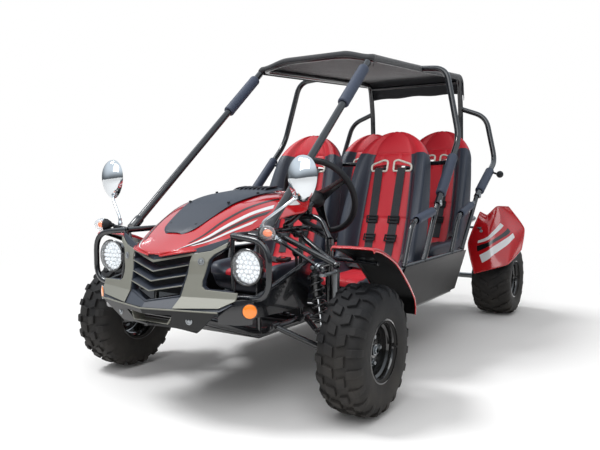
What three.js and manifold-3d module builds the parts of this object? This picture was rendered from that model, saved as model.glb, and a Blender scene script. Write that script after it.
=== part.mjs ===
// An off-road go-kart with four bucket seats, a tube roll cage and a canopy, as a three.js scene graph.
// Millimetres. +X is the driver's left, +Y runs from the nose to the tail, +Z is up from the ground.
// Sizes and places are measured from the front axle line; the last step moves the whole kart so that
// the origin lies on the ground, under the middle of its length.

import * as THREE from 'three';
import { mergeVertices } from 'three/addons/utils/BufferGeometryUtils.js';
import Module from 'manifold-3d';

const wasm = await Module();
wasm.setup();

// Driving dimensions of the whole kart
const wheelbase = 2100;
const front_end = -512;
const rear_end = 2400;
const gap = 0.3;
const overrun = 5;
const weld = 0.001;

// Wheels: an 8 inch rim, tyres 483 mm across in front and 457 mm behind
const front_wheel = { radius: 241.5, half_width: 89, centre: 616 };
const rear_wheel = { radius: 228.5, half_width: 120.5, centre: 551 };
const tread = { lugs: 10, steps_a_lug: 3, depth: 9 };
const rim = { seat: 101.5, flange: 115.5, lip: 5, wall: 4, hub: 34, disc: 7, sides: 11 };
const width_share = { bead: 0.84, side: 1, shoulder: 0.84, middle: 0.1 };
const height_share = { side: 0.45, shoulder: 0.9, crown: 1 };

// Round stock
const rail = { r: 16, bend: 70, sides: 6, bend_steps: 1 };
const brace = { r: 11, bend: 50, sides: 5, bend_steps: 1 };
// Square tube under the pedals and across the box, and the bent stubs that take the cage
const square = { r: 14, bend: 50, sides: 4, bend_steps: 1 };
const stub = { r: 13, bend: 50, sides: 5, bend_steps: 1 };
const rod = { r: 8, bend: 40, sides: 4, bend_steps: 1 };

// Chassis, from the nose to the tail
const nose = { x: 165, y: -410, z: 380 };
const box = { x: 262, front: -170, rear: 190, stile: 125, low: 285, high: 662, tip: -325 };
const sill = { x: 490, z: 262, front: 420, rear: 1330, high_x: 570, high_z: 485, high_front: 455,
  high_rear: 1290 };
const post = { x: 400, y: 120, low: 275, high: 625 };
const dash = { y: 170, z: 708, half: 330 };
const tail = { x: 300, kick_y: 1620, low: 300, rise_y: 1780, rise_z: 420, leg_x: 314, leg_y: 2050,
  leg_z: 560 };
const guard = { z: 600 };
const cradle = { x: 190, z: 335, front: 1640, rear: 1990, mount_front: 1780 };
const cross = { pedal: 75, pedal_z: 305, front_seat: 520, mid: 745, mid_z: 265.8, rear_seat: 1285,
  rear_z: 336, tail: 1560 };
const lamp_hoop = { x: 426, y: -338, top: 648, middle: 548, low: 452, inner: 275, bend: 80 };
const sheet = { thick: 3, front_y: -350, front_x: 368, front_top: 452, front_low: 365, rear_y: 108,
  rear_x: 335, rear_top: 552, low_x: 300, rear_low: 345 };
const pillar_seat = { x: 333, y: -241, z: 655 };
const signal = { foot_x: 366, foot_y: -300, foot_z: 672, x: 408, y: -321, z: 678, rx: 38, ry: 30, rz: 26 };
const fender_stay = { x: 640, y: 62, z: 548 };
const rear_stay = { x: 484, y: 1912, z: 560 };
const fascia_stay = { x: 190, y: -395, z: 585 };

// Roll cage: roof loop, rear hoop and side tubes
const roof = { x: 314, front_y: 672, front_z: 1432, crown: 30, rear_y: 1958, rear_z: 1521, bend: 60 };
const hoop = { mid_y: 2000, mid_z: 1325 };
const side_tube = { y: 1276, out_x: 465, out_drop: 12, bend_x: 554, bend_y: 1238, bend_z: 1085,
  bolt_x: 570, bolt_y: 873, bolt_z: 740, base_y: 569, base_z: 275, lap_share: 0.012 };
const rear_loop = { out_x: 476, out_y: 2012, out_z: 1266, bend_x: 548, bend_y: 1975, bend_z: 985,
  joint_x: 562, joint_y: 1544, joint_z: 765, base_x: 568, base_y: 1262, base_z: 475 };
const armrest = { rear_y: 855, rear_z: 718, bend_y: 560, bend_z: 672, foot_y: 470, foot_z: 490,
  back_rear_y: 1500, back_rear_z: 735, back_bend_y: 1200, back_bend_z: 672, back_foot_y: 1090 };
const foam = { r: 26, sides: 7, upper_start_share: 0.30, upper_end_share: 0.86 };
const pillar = { top_x: 308, top_y: 652, top_z: 1420, pad_start_share: 0.70, pad_end_share: 0.94 };
const shoulder = { x: 480, y: 1141, z: 949, joint_share: 0.38 };

// Canopy
const cover = { half: 340, thick: 2.5, front_y: 645, rear_y: 1984, side_drop: 22, crown: 18, sag: 10,
  flap_y: 2012, flap_z: 1408, front_drop: 34, rise: 2.6 };

// Front bodywork
const fascia = { thick: 6, blade: 34, blade_set: 4, blade_high: 11, blades: 3, sweep_share: 0.27,
  line: [{ y: -470, z: 335 }, { y: front_end, z: 410 }, { y: -497, z: 427 }, { y: -472, z: 454 },
    { y: -457, z: 493 },
    { y: -447, z: 531 }, { y: -443, z: 575 }, { y: -430, z: 600 }, { y: -412, z: 650 }],
  top_z: 588, wing_x: 150, wing_z: 616, horn_x: 262, horn_z: 652, horn_low_x: 250, horn_low_z: 628,
    brow_x: 212,
  brow_z: 594, waist_x: 190, waist_z: 505, waist_low_x: 212, waist_low_z: 474, arm_x: 328, arm_z: 472,
    arm_low_z: 446,
  chin_x: 275, chin_z: 405, corner_x: 178, corner_z: 326, foot_x: 100, foot_z: 338, grille_x: 140,
    grille_top: 566,
  rise: 30, grille_low_x: 122, grille_low: 432, low_rise: 22, mouth_x: 108, mouth_low: 350,
    mouth_high: 392 };
const bonnet = { thick: 3.5, swell: 6,
  stations: [
    { y: -442, crown_z: 597, ridge_x: 20, ridge_z: 596, edge_x: 30, edge_z: 590 },
    { y: -421, crown_z: 612, ridge_x: 80, ridge_z: 612, edge_x: 120, edge_z: 606 },
    { y: -333, crown_z: 664, ridge_x: 120, ridge_z: 656, edge_x: 178, edge_z: 618 },
    { y: -230, crown_z: 723, ridge_x: 135, ridge_z: 712, edge_x: 225, edge_z: 655 },
    { y: -119, crown_z: 775, ridge_x: 150, ridge_z: 758, edge_x: 258, edge_z: 694 },
    { y: 6, crown_z: 796, ridge_x: 158, ridge_z: 786, edge_x: 290, edge_z: 722 },
    { y: 100, crown_z: 806, ridge_x: 165, ridge_z: 796, edge_x: 300, edge_z: 735 },
    { y: 242, crown_z: 812, ridge_x: 160, ridge_z: 802, edge_x: 232, edge_z: 776 }],
  insert: [
    { y: -340, half: 40, z: 664 },
    { y: -300, half: 78, z: 690 },
    { y: -139, half: 112, z: 770 },
    { y: 6, half: 122, z: 803 },
    { y: 230, half: 112, z: 826 }],
  insert_drop: 4, insert_crown: 1, insert_room: 40, louvres: 8, louvre_front: 130, louvre_rear: 215,
    louvre_wide: 9, louvre_half: 90,
  louvre_low: 790, louvre_high: 850 };

// Fenders, floor and side panels
const front_fender = { thick: 5, inner_x: 528, outer_x: 700,
  profile: [{ y: -104, z: 618 }, { y: -88, z: 624 }, { y: -20, z: 608 }, { y: 95, z: 560 }, { y: 206,
    z: 476 },
    { y: 282, z: 402 }, { y: 302, z: 354 }, { y: 300, z: 322 }] };
const rear_fender = { wall_x: -2.5, wall_y: 4.5, wall_z: -2.5,
  rows: [[{ x: 475, y: 1826, z: 284 }, { x: 582, y: 1824, z: 320 },
      { x: 668, y: 1868, z: 352 }, { x: 706, y: 2040, z: 425 }],
    [{ x: 412, y: 1896, z: 462 }, { x: 548, y: 1868, z: 480 },
      { x: 655, y: 1950, z: 524 }, { x: 706, y: 2100, z: 556 }],
    [{ x: 468, y: 1955, z: 660 }, { x: 510, y: 1968, z: 640 },
      { x: 562, y: 1992, z: 694 }, { x: 628, y: 2014, z: 694 }]] };
const floor = { thick: 3, lift: 0.8, nose_y: -366, nose_z: 342, tail_z: 268 };
const panel = { thick: 4, front_low: 432, front_high: 455, rear_low: 1340, rear_high: 1290 };

// Bucket seats; a station's lean is the angle between its surface and the upright, in radians
const seat = { front_x: 260, rear_x: 241, rear_dy: 761, rear_dz: 56, crown: 8, slot_inner: 22,
  slot_outer: 108,
  slot_y: 1090, slot_reach: 160, slot_low: 905, slot_high: 938,
  stations: [
    { y: 416, z: 380, lean: 0.7, half: 195, thick: 70, wing: 20 },
    { y: 450, z: 412, lean: 1.4, half: 207, thick: 120, wing: 34 },
    { y: 740, z: 400, lean: 1.52, half: 218, thick: 124, wing: 60 },
    { y: 848, z: 428, lean: 0.95, half: 221, thick: 108, wing: 72 },
    { y: 940, z: 650, lean: 0.31, half: 222, thick: 90, wing: 72 },
    { y: 1030, z: 925, lean: 0.30, half: 200, thick: 80, wing: 40 },
    { y: 1070, z: 1040, lean: 0.30, half: 160, thick: 72, wing: 14 },
    { y: 1104, z: 1118, lean: 0.24, half: 90, thick: 46, wing: 2 }] };

// Front suspension: equal arms that slope down to the wheels
const arm = { inner_x: 290, low_z: 305, rise: 340, reach: 208, fall: 105, low_base: 110, high_base: 60,
  r: 11,
  ball: 14, sleeve: 15, sleeve_half: 18, pin: 6, ear: 5, ring: 21, ring_half: 8 };
const upright_size = { half: 13, axle_r: 14, arm_depth: 12, nut: 21, nut_wide: 14 };
const front_shock = { top_x: 400, top_z: 525, low_x: 445, low_z: 247 };

// Steering
const rack = { y: -100, drop: 6, r: 9, tube: 19, tube_half: 190, ball: 13 };
const column = { x: 255, y: 60, z: 687, wheel_y: 292, wheel_z: 789, r: 11, rim_r: 165, grip: 14, boss: 17,
  boss_long: 40, bearing: 24, bearing_half: 9, hub: 36, hub_long: 42, spoke_drop: 22 };

// Rear suspension and drive
const swing = { y: 1690, z: 330, x: 235, r: 16, sleeve: 24, sleeve_half: 24, cross_y: 1985, hub: 34,
  hub_half: 26 };
const rear_shock = { top_y: 2094, top_z: 560, low_y: 2020, low_z: 262 };
const damper = { eye: 13, eye_half: 12, pin: 5.5, play: 1.5, can: 20, neck_share: 0.07, can_share: 0.42,
  stem_share: 0.3, stem: 6.5, perch: 32,
  perch_thick: 4, coil: 27, wire: 4, turns: 4.5, top_share: 0.1, low_share: 0.86 };
const axle = { r: 17, flange_wide: 30, sprocket: 84, sprocket_x: 120, teeth: 12, tooth: 9, disc: 92,
  disc_x: -150,
  plate: 5, boss: 24 };
const engine = { front: 1745, rear: 1985, high: 190, half: 120, cover: 55, cover_r: 88, head: 95,
  head_r: 52, fins: 2,
  fin: 5, pipe: 14, pipe_x: 170, muffler_x: 236, muffler_r: 40, muffler_z: 520, muffler_long: 230,
    muffler_front: 1800 };

// Lamps, mirrors, pedals and the gear lever
const headlight = { x: 334, y: -342, z: 558, r: 65, back: 34, depth: 78, bezel: 7, stay_x: 268,
  stay_share: 0.14 };
const mirror_size = { foot_x: 353, foot_y: -277, foot_z: 674, x: 474, y: -220, z: 862, rx: 58, ry: 26,
  rz: 84, stalk: 6, base: 30, base_r: 9 };
const pedal = { barrel: 14, half: 22, lean: -42, high: 118, lever: 8, pad_low: 26, pad_up: 34,
  pad_thick: 8, pad_half: 27,
  throttle_x: 130, brake_x: 218 };
const shift = { half: 14, barrel: 15, lean: 20, high: 250, knob: 20 };
const rim_size = { dish: 14, rear_dish: 30, hub_half: 26 };

// Short helpers for points, solids and repeated shapes
const at = (x, y, z) => new THREE.Vector3(x, y, z);
const flip = (p) => at(-p.x, p.y, p.z);
const half_turn = Math.PI;
const square_half = square.r * Math.SQRT1_2;
const slide_room = gap / Math.cos(half_turn / 6);
const clear_of = (r, sides = 6) => (r + 2 * gap) / Math.cos(half_turn / sides);

function solid(geometry) {
  const bare = geometry.clone();
  bare.deleteAttribute('normal');
  bare.deleteAttribute('uv');
  const merged = mergeVertices(bare, weld);
  const mesh = new wasm.Mesh({
    numProp: 3,
    vertProperties: new Float32Array(merged.attributes.position.array),
    triVerts: new Uint32Array(merged.index.array),
  });
  mesh.merge();
  return new wasm.Manifold(mesh);
}

function geometry_of(body) {
  const mesh = body.getMesh();
  const geometry = new THREE.BufferGeometry();
  geometry.setAttribute('position', new THREE.BufferAttribute(new Float32Array(mesh.vertProperties), 3));
  geometry.setIndex(new THREE.BufferAttribute(new Uint32Array(mesh.triVerts), 1));
  geometry.computeVertexNormals();
  return geometry;
}

const join = (bodies) => bodies.reduce((all, body) => all.add(body));
const cut = (body, tools) => tools.reduce((all, tool) => all.subtract(tool), body);
const mirror = (body) => solid(flipped(geometry_of(body).scale(-1, 1, 1)));
const both = (body) => body.add(mirror(body));

// A bent tube's centre line: straight runs with rounded corners, sampled only where it bends
class Route extends THREE.Curve {
  constructor(points, bend, steps) {
    super();
    this.stations = [points[0]];
    for (let i = 1; i < points.length - 1; i += 1) {
      const corner = points[i];
      const back = points[i - 1].clone().sub(corner);
      const ahead = points[i + 1].clone().sub(corner);
      const reach = Math.min(bend, back.length() * 0.45, ahead.length() * 0.45);
      const start = corner.clone().add(back.setLength(reach));
      const end = corner.clone().add(ahead.setLength(reach));
      const arc = new THREE.QuadraticBezierCurve3(start, corner, end);
      this.stations.push(...arc.getPoints(steps));
    }
    this.stations.push(points[points.length - 1]);
  }

  getUtoTmapping(u) {
    return u;
  }

  getPoint(t) {
    const last = this.stations.length - 1;
    const k = Math.min(Math.floor(t * last), last - 1);
    return this.stations[k].clone().lerp(this.stations[k + 1], t * last - k);
  }

  getTangent(t) {
    const last = this.stations.length - 1;
    const k = Math.round(t * last);
    const here = this.stations[k];
    const before = this.stations[Math.max(k - 1, 0)];
    const after = this.stations[Math.min(k + 1, last)];
    const way = here.clone().sub(before).normalize();
    return way.add(after.clone().sub(here).normalize()).normalize();
  }
}

function disc_shape(radius, sides) {
  const shape = new THREE.Shape();
  for (let i = 0; i < sides; i += 1) {
    const angle = (i + 0.5) / sides * 2 * half_turn;
    const x = radius * Math.cos(angle);
    const y = radius * Math.sin(angle);
    if (i === 0) shape.moveTo(x, y);
    else shape.lineTo(x, y);
  }
  shape.closePath();
  return shape;
}

function tube(points, stock, grow = 0) {
  const line = points.map((p) => p.clone());
  const last = line.length - 1;
  line[0].addScaledVector(points[0].clone().sub(points[1]).normalize(), grow);
  line[last].addScaledVector(points[last].clone().sub(points[last - 1]).normalize(), grow);
  const route = new Route(line, stock.bend ?? stock.r, stock.bend_steps ?? 3);
  const geometry = new THREE.ExtrudeGeometry(disc_shape(stock.r + grow, stock.sides ?? rail.sides), {
    steps: route.stations.length - 1,
    extrudePath: route,
    bevelEnabled: false,
  });
  return solid(geometry);
}

const bar = (a, b, r, sides = 6) => tube([a, b], { r, sides });

// Triangles over one ring, worked out on the plane that it lies in
function cap(ring) {
  const normal = at(0, 0, 0);
  ring.forEach((p, k) => normal.add(p.clone().cross(ring[(k + 1) % ring.length])));
  const right = ring[1].clone().sub(ring[0]).projectOnPlane(normal.normalize()).normalize();
  const up = normal.clone().cross(right);
  const flat = ring.map((p) => new THREE.Vector2(p.dot(right), p.dot(up)));
  return THREE.ShapeUtils.triangulateShape(flat, []);
}

// A body skinned over rings of equal count; a ring's halves turn their diagonals opposite ways, so a thin
// shell keeps its wall where it twists
function loft(rings, closed = false) {
  const count = rings[0].length;
  const faces = [];
  const spans = closed ? rings.length : rings.length - 1;
  for (let i = 0; i < spans; i += 1) {
    const here = i * count;
    const next = ((i + 1) % rings.length) * count;
    for (let j = 0; j < count; j += 1) {
      const k = (j + 1) % count;
      if (j < count / 2) faces.push(here + j, here + k, next + k, here + j, next + k, next + j);
      else faces.push(here + j, here + k, next + j, here + k, next + k, next + j);
    }
  }
  if (!closed) {
    const last = rings.length - 1;
    for (const [a, b, c] of cap(rings[0])) faces.push(a, c, b);
    for (const corner of cap(rings[last]).flat()) faces.push(last * count + corner);
  }
  const geometry = new THREE.BufferGeometry();
  const position = new Float32Array(rings.flat().flatMap((p) => [p.x, p.y, p.z]));
  geometry.setAttribute('position', new THREE.BufferAttribute(position, 3));
  geometry.setIndex(faces);
  const body = solid(geometry);
  return body.volume() < 0 ? solid(flipped(geometry)) : body;
}

function flipped(geometry) {
  const turned = geometry.clone();
  const index = Array.from(turned.index.array);
  for (let i = 0; i < index.length; i += 3) [index[i], index[i + 1]] = [index[i + 1], index[i]];
  turned.setIndex(index);
  return turned;
}

// A folded sheet drawn as rows of points, given its wall by one shift that all its panels face
function shell(rows, shift) {
  return loft(rows.map((row) => [...row, ...row.map((p) => p.clone().add(shift)).reverse()]));
}

// A flat outline, pushed along an axis: 'x' takes [y, z] points, 'y' takes [x, z], 'z' takes [x, y]
function plate(drawn, axis, from, to) {
  const flat = drawn.map(([a, b]) => new THREE.Vector2(a, b));
  if (THREE.ShapeUtils.isClockWise(flat)) flat.reverse();
  const ring = (level) => flat.map(({ x: a, y: b }) => {
    if (axis === 'x') return at(level, a, b);
    if (axis === 'y') return at(a, level, b);
    return at(a, b, level);
  });
  const count = flat.length;
  const index = [];
  for (const [a, b, c] of THREE.ShapeUtils.triangulateShape(flat, [])) {
    index.push(a, c, b, count + a, count + b, count + c);
  }
  for (let j = 0; j < count; j += 1) {
    const k = (j + 1) % count;
    index.push(j, k, count + k, j, count + k, count + j);
  }
  const geometry = new THREE.BufferGeometry();
  const position = new Float32Array([...ring(from), ...ring(to)].flatMap((p) => [p.x, p.y, p.z]));
  geometry.setAttribute('position', new THREE.BufferAttribute(position, 3));
  geometry.setIndex(index);
  const body = solid(geometry);
  return body.volume() < 0 ? solid(flipped(geometry)) : body;
}

const block = (low, high) => plate([[low.x, low.y], [high.x, low.y], [high.x, high.y], [low.x, high.y]],
  'z', low.z, high.z);

// A solid of revolution about an axis through a point; the profile gives [along, radius] pairs
function turned(profile, sides, origin, direction) {
  const points = [...profile, profile[0]].map(([along, radius]) => new THREE.Vector2(radius, along));
  const geometry = new THREE.LatheGeometry(points, sides);
  const spin = new THREE.Quaternion().setFromUnitVectors(at(0, 1, 0), direction.clone().normalize());
  geometry.applyQuaternion(spin);
  geometry.translate(origin.x, origin.y, origin.z);
  const body = solid(geometry);
  return body.volume() < 0 ? solid(flipped(indexed(geometry))) : body;
}

function indexed(geometry) {
  const bare = geometry.clone();
  bare.deleteAttribute('normal');
  bare.deleteAttribute('uv');
  return mergeVertices(bare, weld);
}

// Places worked out from the sizes above
const tread_steps = tread.lugs * tread.steps_a_lug;
const flat_share = Math.cos(half_turn / tread_steps);
const front_axle_z = front_wheel.radius * flat_share;
const rear_axle_z = rear_wheel.radius * flat_share;
const arm_high_z = arm.low_z + arm.rise;
const ball_x = arm.inner_x + arm.reach;
const ball_low_z = arm.low_z - arm.fall;
const ball_high_z = arm_high_z - arm.fall;
const rack_z = arm_high_z - rack.drop;
const roof_z = (y) => roof.front_z + (roof.rear_z - roof.front_z) * (y - roof.front_y) / (roof.rear_y - roof.front_y);
const column_way = at(0, column.wheel_y - column.y, column.wheel_z - column.z).normalize();

// The welded chassis, with its brackets; grown by a clearance it also trims what bolts on to it
function chassis(grow = 0) {
  const t = (points, stock) => tube(points, stock, grow);
  const across = (half, y, z, stock) => t([at(-half, y, z), at(half, y, z)], stock);
  const side = [];
  side.push(t([at(-overrun, nose.y, nose.z), at(nose.x, nose.y, nose.z), at(box.x, box.front, box.low),
    at(box.x, box.rear, box.low), at(sill.x, sill.front, sill.z), at(sill.x, sill.rear, sill.z),
    at(tail.x, tail.kick_y, tail.low), at(tail.x, tail.rise_y, tail.rise_z),
    at(tail.leg_x, tail.leg_y, tail.leg_z), at(tail.leg_x, rear_end - rail.r, guard.z),
    at(-overrun, rear_end - rail.r, guard.z)], rail));
  side.push(t([at(sill.x, sill.front, sill.z), at(sill.high_x, sill.high_front, sill.high_z),
    at(sill.high_x, sill.high_rear, sill.high_z), at(sill.x, sill.rear, sill.z)], brace));
  side.push(t([at(box.x, box.tip, box.high), at(box.x, box.rear, box.high), at(post.x, post.y + overrun,
    post.high)], brace));
  side.push(t([at(box.x, box.front, box.low), at(box.x, box.front, box.high)], square));
  side.push(t([at(box.x, box.stile, box.low), at(box.x, box.stile, box.high)], square));

  // Post behind the front wheel, and the dash hoop that joins the two posts
  const post_foot_share = (post.x - box.x) / (sill.x - box.x);
  const post_foot = at(box.x, box.rear, box.low).lerp(at(sill.x, sill.front, sill.z), post_foot_share);
  side.push(t([post_foot, at(post.x, post.y, post.low), at(post.x, post.y, post.high)], { ...brace,
    r: rail.r }));
  side.push(t([at(-overrun, dash.y, dash.z), at(dash.half, dash.y, dash.z), at(post.x, post.y,
    post.high)], brace));

  // Lamp hoop, its inner stay and the side sheet behind it
  side.push(t([at(box.x, box.tip, box.high), at(lamp_hoop.x, lamp_hoop.y, lamp_hoop.top),
    at(lamp_hoop.x, lamp_hoop.y, lamp_hoop.low), at(lamp_hoop.inner, lamp_hoop.y, lamp_hoop.low),
    at(nose.x, nose.y, nose.z)], { ...brace, bend: lamp_hoop.bend, bend_steps: 1 }));
  side.push(t([at(box.x, box.tip, box.high), at(lamp_hoop.inner, lamp_hoop.y, lamp_hoop.low)], rod));
  side.push(t([at(sheet.front_x, lamp_hoop.y, sheet.front_top), at(sheet.rear_x, sheet.rear_y,
    sheet.rear_top),
    at(post.x, post.y, sheet.rear_top)], rod));
  const panel = (y, top_x, top_z, low_x, low_z) => [at(top_x, y, top_z), at(low_x, y, low_z),
    at(low_x - sheet.thick - grow, y, low_z), at(top_x - sheet.thick - grow, y, top_z)];
  side.push(loft([panel(sheet.front_y, sheet.front_x, sheet.front_top, sheet.low_x, sheet.front_low),
    panel(sheet.rear_y, sheet.rear_x, sheet.rear_top, sheet.low_x, sheet.rear_low)]));

  // Seat for the front pillar, with the mirror and signal bracket in front of it
  side.push(t([at(box.x, pillar_seat.y, box.high), at(pillar_seat.x, pillar_seat.y, pillar_seat.z),
    at(signal.foot_x, signal.foot_y, signal.foot_z)], rod));

  // Stubs that take the side tubes, and the armrests
  const stub_share = (side_tube.bolt_z - sill.high_z) / (side_tube.bolt_z - side_tube.base_z);
  const stub_y = side_tube.bolt_y + (side_tube.base_y - side_tube.bolt_y) * stub_share;
  side.push(t([at(sill.x, side_tube.base_y, sill.z), at(sill.high_x, stub_y, sill.high_z),
    at(side_tube.bolt_x, side_tube.bolt_y, side_tube.bolt_z)], stub));
  side.push(t([at(rear_loop.base_x, rear_loop.base_y, sill.high_z),
    at(rear_loop.joint_x, rear_loop.joint_y, rear_loop.joint_z)], stub));
  side.push(t([at(sill.high_x, armrest.rear_y, armrest.rear_z), at(sill.high_x, armrest.bend_y,
    armrest.bend_z),
    at(sill.high_x, armrest.foot_y, sill.high_z)], brace));
  side.push(t([at(rear_loop.joint_x, armrest.back_rear_y, armrest.back_rear_z),
    at(sill.high_x, armrest.back_bend_y, armrest.back_bend_z), at(sill.high_x, armrest.back_foot_y,
      sill.high_z)], brace));

  // Cross tubes under the seats and pedals
  const tail_share = (cross.tail - sill.rear) / (tail.kick_y - sill.rear);
  const tail_foot = at(sill.x, sill.rear, sill.z).lerp(at(tail.x, tail.kick_y, tail.low), tail_share);
  const middle = [
    across(box.x, box.front, box.high, square),
    across(box.x, rack.y - rack.tube, box.high, square),
    across(box.x, box.stile, box.low, square),
    across(box.x, cross.pedal, cross.pedal_z, rod),
    across(sill.x, cross.front_seat, sill.z, brace),
    across(sill.x, cross.mid, cross.mid_z, square),
    t([at(-sill.x, cross.rear_seat, sill.z), at(rail.bend - sill.x, cross.rear_seat, cross.rear_z),
      at(sill.x - rail.bend, cross.rear_seat, cross.rear_z), at(sill.x, cross.rear_seat, sill.z)], square),
    across(tail_foot.x, cross.tail, tail_foot.z, square),
    across(tail.leg_x, tail.leg_y, tail.leg_z, rail),
    across(cradle.x, cradle.mount_front, cradle.z, square),
  ];

  // Engine cradle, hoop feet, shock cross tube and fender stays
  side.push(t([at(cradle.x, cross.tail, tail_foot.z), at(cradle.x, cradle.front, cradle.z),
    at(cradle.x, cradle.rear, cradle.z), at(cradle.x, tail.leg_y, tail.leg_z)], square));
  side.push(t([at(post.x, post.y, fender_stay.z), at(fender_stay.x, fender_stay.y, fender_stay.z)], rod));
  side.push(t([at(tail.leg_x, tail.leg_y - overrun, tail.leg_z), at(rear_stay.x, rear_stay.y,
    rear_stay.z)], rod));
  side.push(t([at(box.x, box.tip + brace.r, box.high - brace.r), at(fascia_stay.x, fascia_stay.y,
    fascia_stay.z)], rod));

  // Ears and pins of both arms, the shock's top pin and the swing arm's bolt
  for (const [base, z, rail_z] of [[arm.low_base, arm.low_z, box.low], [arm.high_base, arm_high_z,
    box.high]]) {
    for (const y of [-base, base]) {
      side.push(bar(at(arm.inner_x, y - arm.sleeve_half - arm.ear, z), at(arm.inner_x,
        y + arm.sleeve_half + arm.ear, z),
        arm.pin + grow));
      for (const near of [y - arm.sleeve_half - gap - arm.ear, y + arm.sleeve_half + gap]) {
        side.push(plate([[box.x, rail_z + arm.ear], [box.x, rail_z - arm.ear],
          [arm.inner_x + arm.pin + arm.ear, z - arm.ear],
          [arm.inner_x, z + arm.sleeve]], 'y', near - grow, near + arm.ear + grow));
      }
    }
  }
  side.push(bar(at(post.x, post.y, front_shock.top_z), at(front_shock.top_x, damper.eye_half + gap,
    front_shock.top_z),
    brace.r + grow));
  side.push(bar(at(front_shock.top_x, damper.eye_half + overrun, front_shock.top_z),
    at(front_shock.top_x, -damper.eye_half - overrun, front_shock.top_z), damper.pin + grow));
  side.push(bar(at(cradle.x, swing.y, swing.z), at(tail.x, swing.y, swing.z), brace.r + grow));
  side.push(block(at(swing.x + swing.sleeve_half + gap, swing.y - swing.r, swing.z - brace.r),
    at(tail.x, swing.y + swing.r, swing.z + swing.r)));
  side.push(plate([[tail.leg_y, tail.leg_z - rail.r], [rear_shock.top_y, rear_shock.top_z - damper.eye],
    [rear_shock.top_y + damper.eye, rear_shock.top_z], [rear_shock.top_y, rear_shock.top_z + damper.eye],
    [tail.leg_y, tail.leg_z + rail.r]], 'x', damper.eye_half + gap, damper.eye_half + gap + arm.ear));
  side.push(bar(at(-overrun, rear_shock.top_y, rear_shock.top_z),
    at(damper.eye_half + arm.ear, rear_shock.top_y, rear_shock.top_z), damper.pin + grow));

  let frame = join([both(join(side)), ...middle]);

  // Rack housing, steering box and the bearing on the dash hoop
  frame = frame.add(turned([[-rack.tube_half, 0], [rack.tube_half, 0], [rack.tube_half, rack.tube + grow],
    [-rack.tube_half, rack.tube + grow]], 8, at(0, rack.y, rack_z), at(1, 0, 0)));
  frame = frame.subtract(turned([[-box.x, 0], [box.x, 0], [box.x, clear_of(rack.r)], [-box.x,
    clear_of(rack.r)]],
    6, at(0, rack.y, rack_z), at(1, 0, 0)));
  const foot = at(column.x, column.y, column.z);
  frame = frame.add(bar(foot.clone().addScaledVector(column_way, -column.boss_long),
    foot.clone().addScaledVector(column_way, -gap), column.boss + grow));
  const dash_share = (dash.y - column.y) / (column.wheel_y - column.y);
  const bearing = at(column.x, column.y, column.z).lerp(at(column.x, column.wheel_y, column.wheel_z),
    dash_share);
  frame = frame.add(turned([[-column.bearing_half, 0], [column.bearing_half, 0],
    [column.bearing_half, column.bearing + grow], [-column.bearing_half, column.bearing + grow]],
    8, bearing, column_way));
  frame = frame.subtract(turned([[-column.bearing * 2, 0], [column.bearing * 2, 0], [column.bearing * 2,
    clear_of(column.r)],
    [-column.bearing * 2, clear_of(column.r)]], 6, bearing, column_way));
  return frame;
}

// Roll cage: roof loop, rear hoop, and side tubes in foam sleeves that bolt to the chassis stubs
function cage(grow = 0) {
  const t = (points, stock) => tube(points, stock, grow);
  const sleeve = (a, b) => bar(a.clone().lerp(b, foam.upper_start_share), a.clone().lerp(b,
    foam.upper_end_share),
    foam.r + grow, foam.sides);
  const side = [];
  side.push(t([at(-overrun, roof.front_y, roof.front_z + roof.crown), at(roof.x / 2, roof.front_y,
    roof.front_z + roof.crown),
    at(roof.x, roof.front_y, roof.front_z), at(roof.x, roof.rear_y, roof.rear_z), at(roof.x, hoop.mid_y,
      hoop.mid_z),
    at(tail.leg_x, tail.leg_y, tail.leg_z + rail.r)], { ...rail, bend: roof.bend }));
  const b_root = at(roof.x, side_tube.y, roof_z(side_tube.y));
  const b_bend = at(side_tube.bend_x, side_tube.bend_y, side_tube.bend_z);
  const b_end = at(side_tube.bolt_x, side_tube.bolt_y, side_tube.bolt_z).lerp(b_bend, side_tube.lap_share);
  side.push(t([b_root, at(side_tube.out_x, side_tube.y, b_root.z - side_tube.out_drop), b_bend, b_end],
    rail));
  side.push(sleeve(b_bend, b_end));
  const c_bend = at(rear_loop.bend_x, rear_loop.bend_y, rear_loop.bend_z);
  const c_end = at(rear_loop.joint_x, rear_loop.joint_y, rear_loop.joint_z).lerp(c_bend,
    side_tube.lap_share);
  side.push(t([at(roof.x, hoop.mid_y, hoop.mid_z), at(rear_loop.out_x, rear_loop.out_y, rear_loop.out_z),
    c_bend, c_end], rail));
  side.push(sleeve(c_bend, c_end));
  const joint = b_bend.clone().lerp(b_end, shoulder.joint_share);
  const bar_line = [at(shoulder.x, shoulder.y, shoulder.z), joint];
  const harness_bar = t([...bar_line.map(flip).reverse(), ...bar_line], brace);
  const cross_roof = t([at(-roof.x, roof.rear_y, roof.rear_z - roof.crown), at(roof.x, roof.rear_y,
    roof.rear_z - roof.crown)],
    brace);
  return join([both(join(side)), harness_bar, cross_roof]);
}

// Front pillar with its foam sleeve near the roof
function pillar_body(grow = 0) {
  const foot = at(pillar_seat.x, pillar_seat.y, pillar_seat.z);
  const top = at(pillar.top_x, pillar.top_y, pillar.top_z);
  const sleeve = bar(foot.clone().lerp(top, pillar.pad_start_share), foot.clone().lerp(top,
    pillar.pad_end_share),
    foam.r + grow, foam.sides);
  return bar(foot, top, rail.r + grow, rail.sides).add(sleeve);
}

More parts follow.
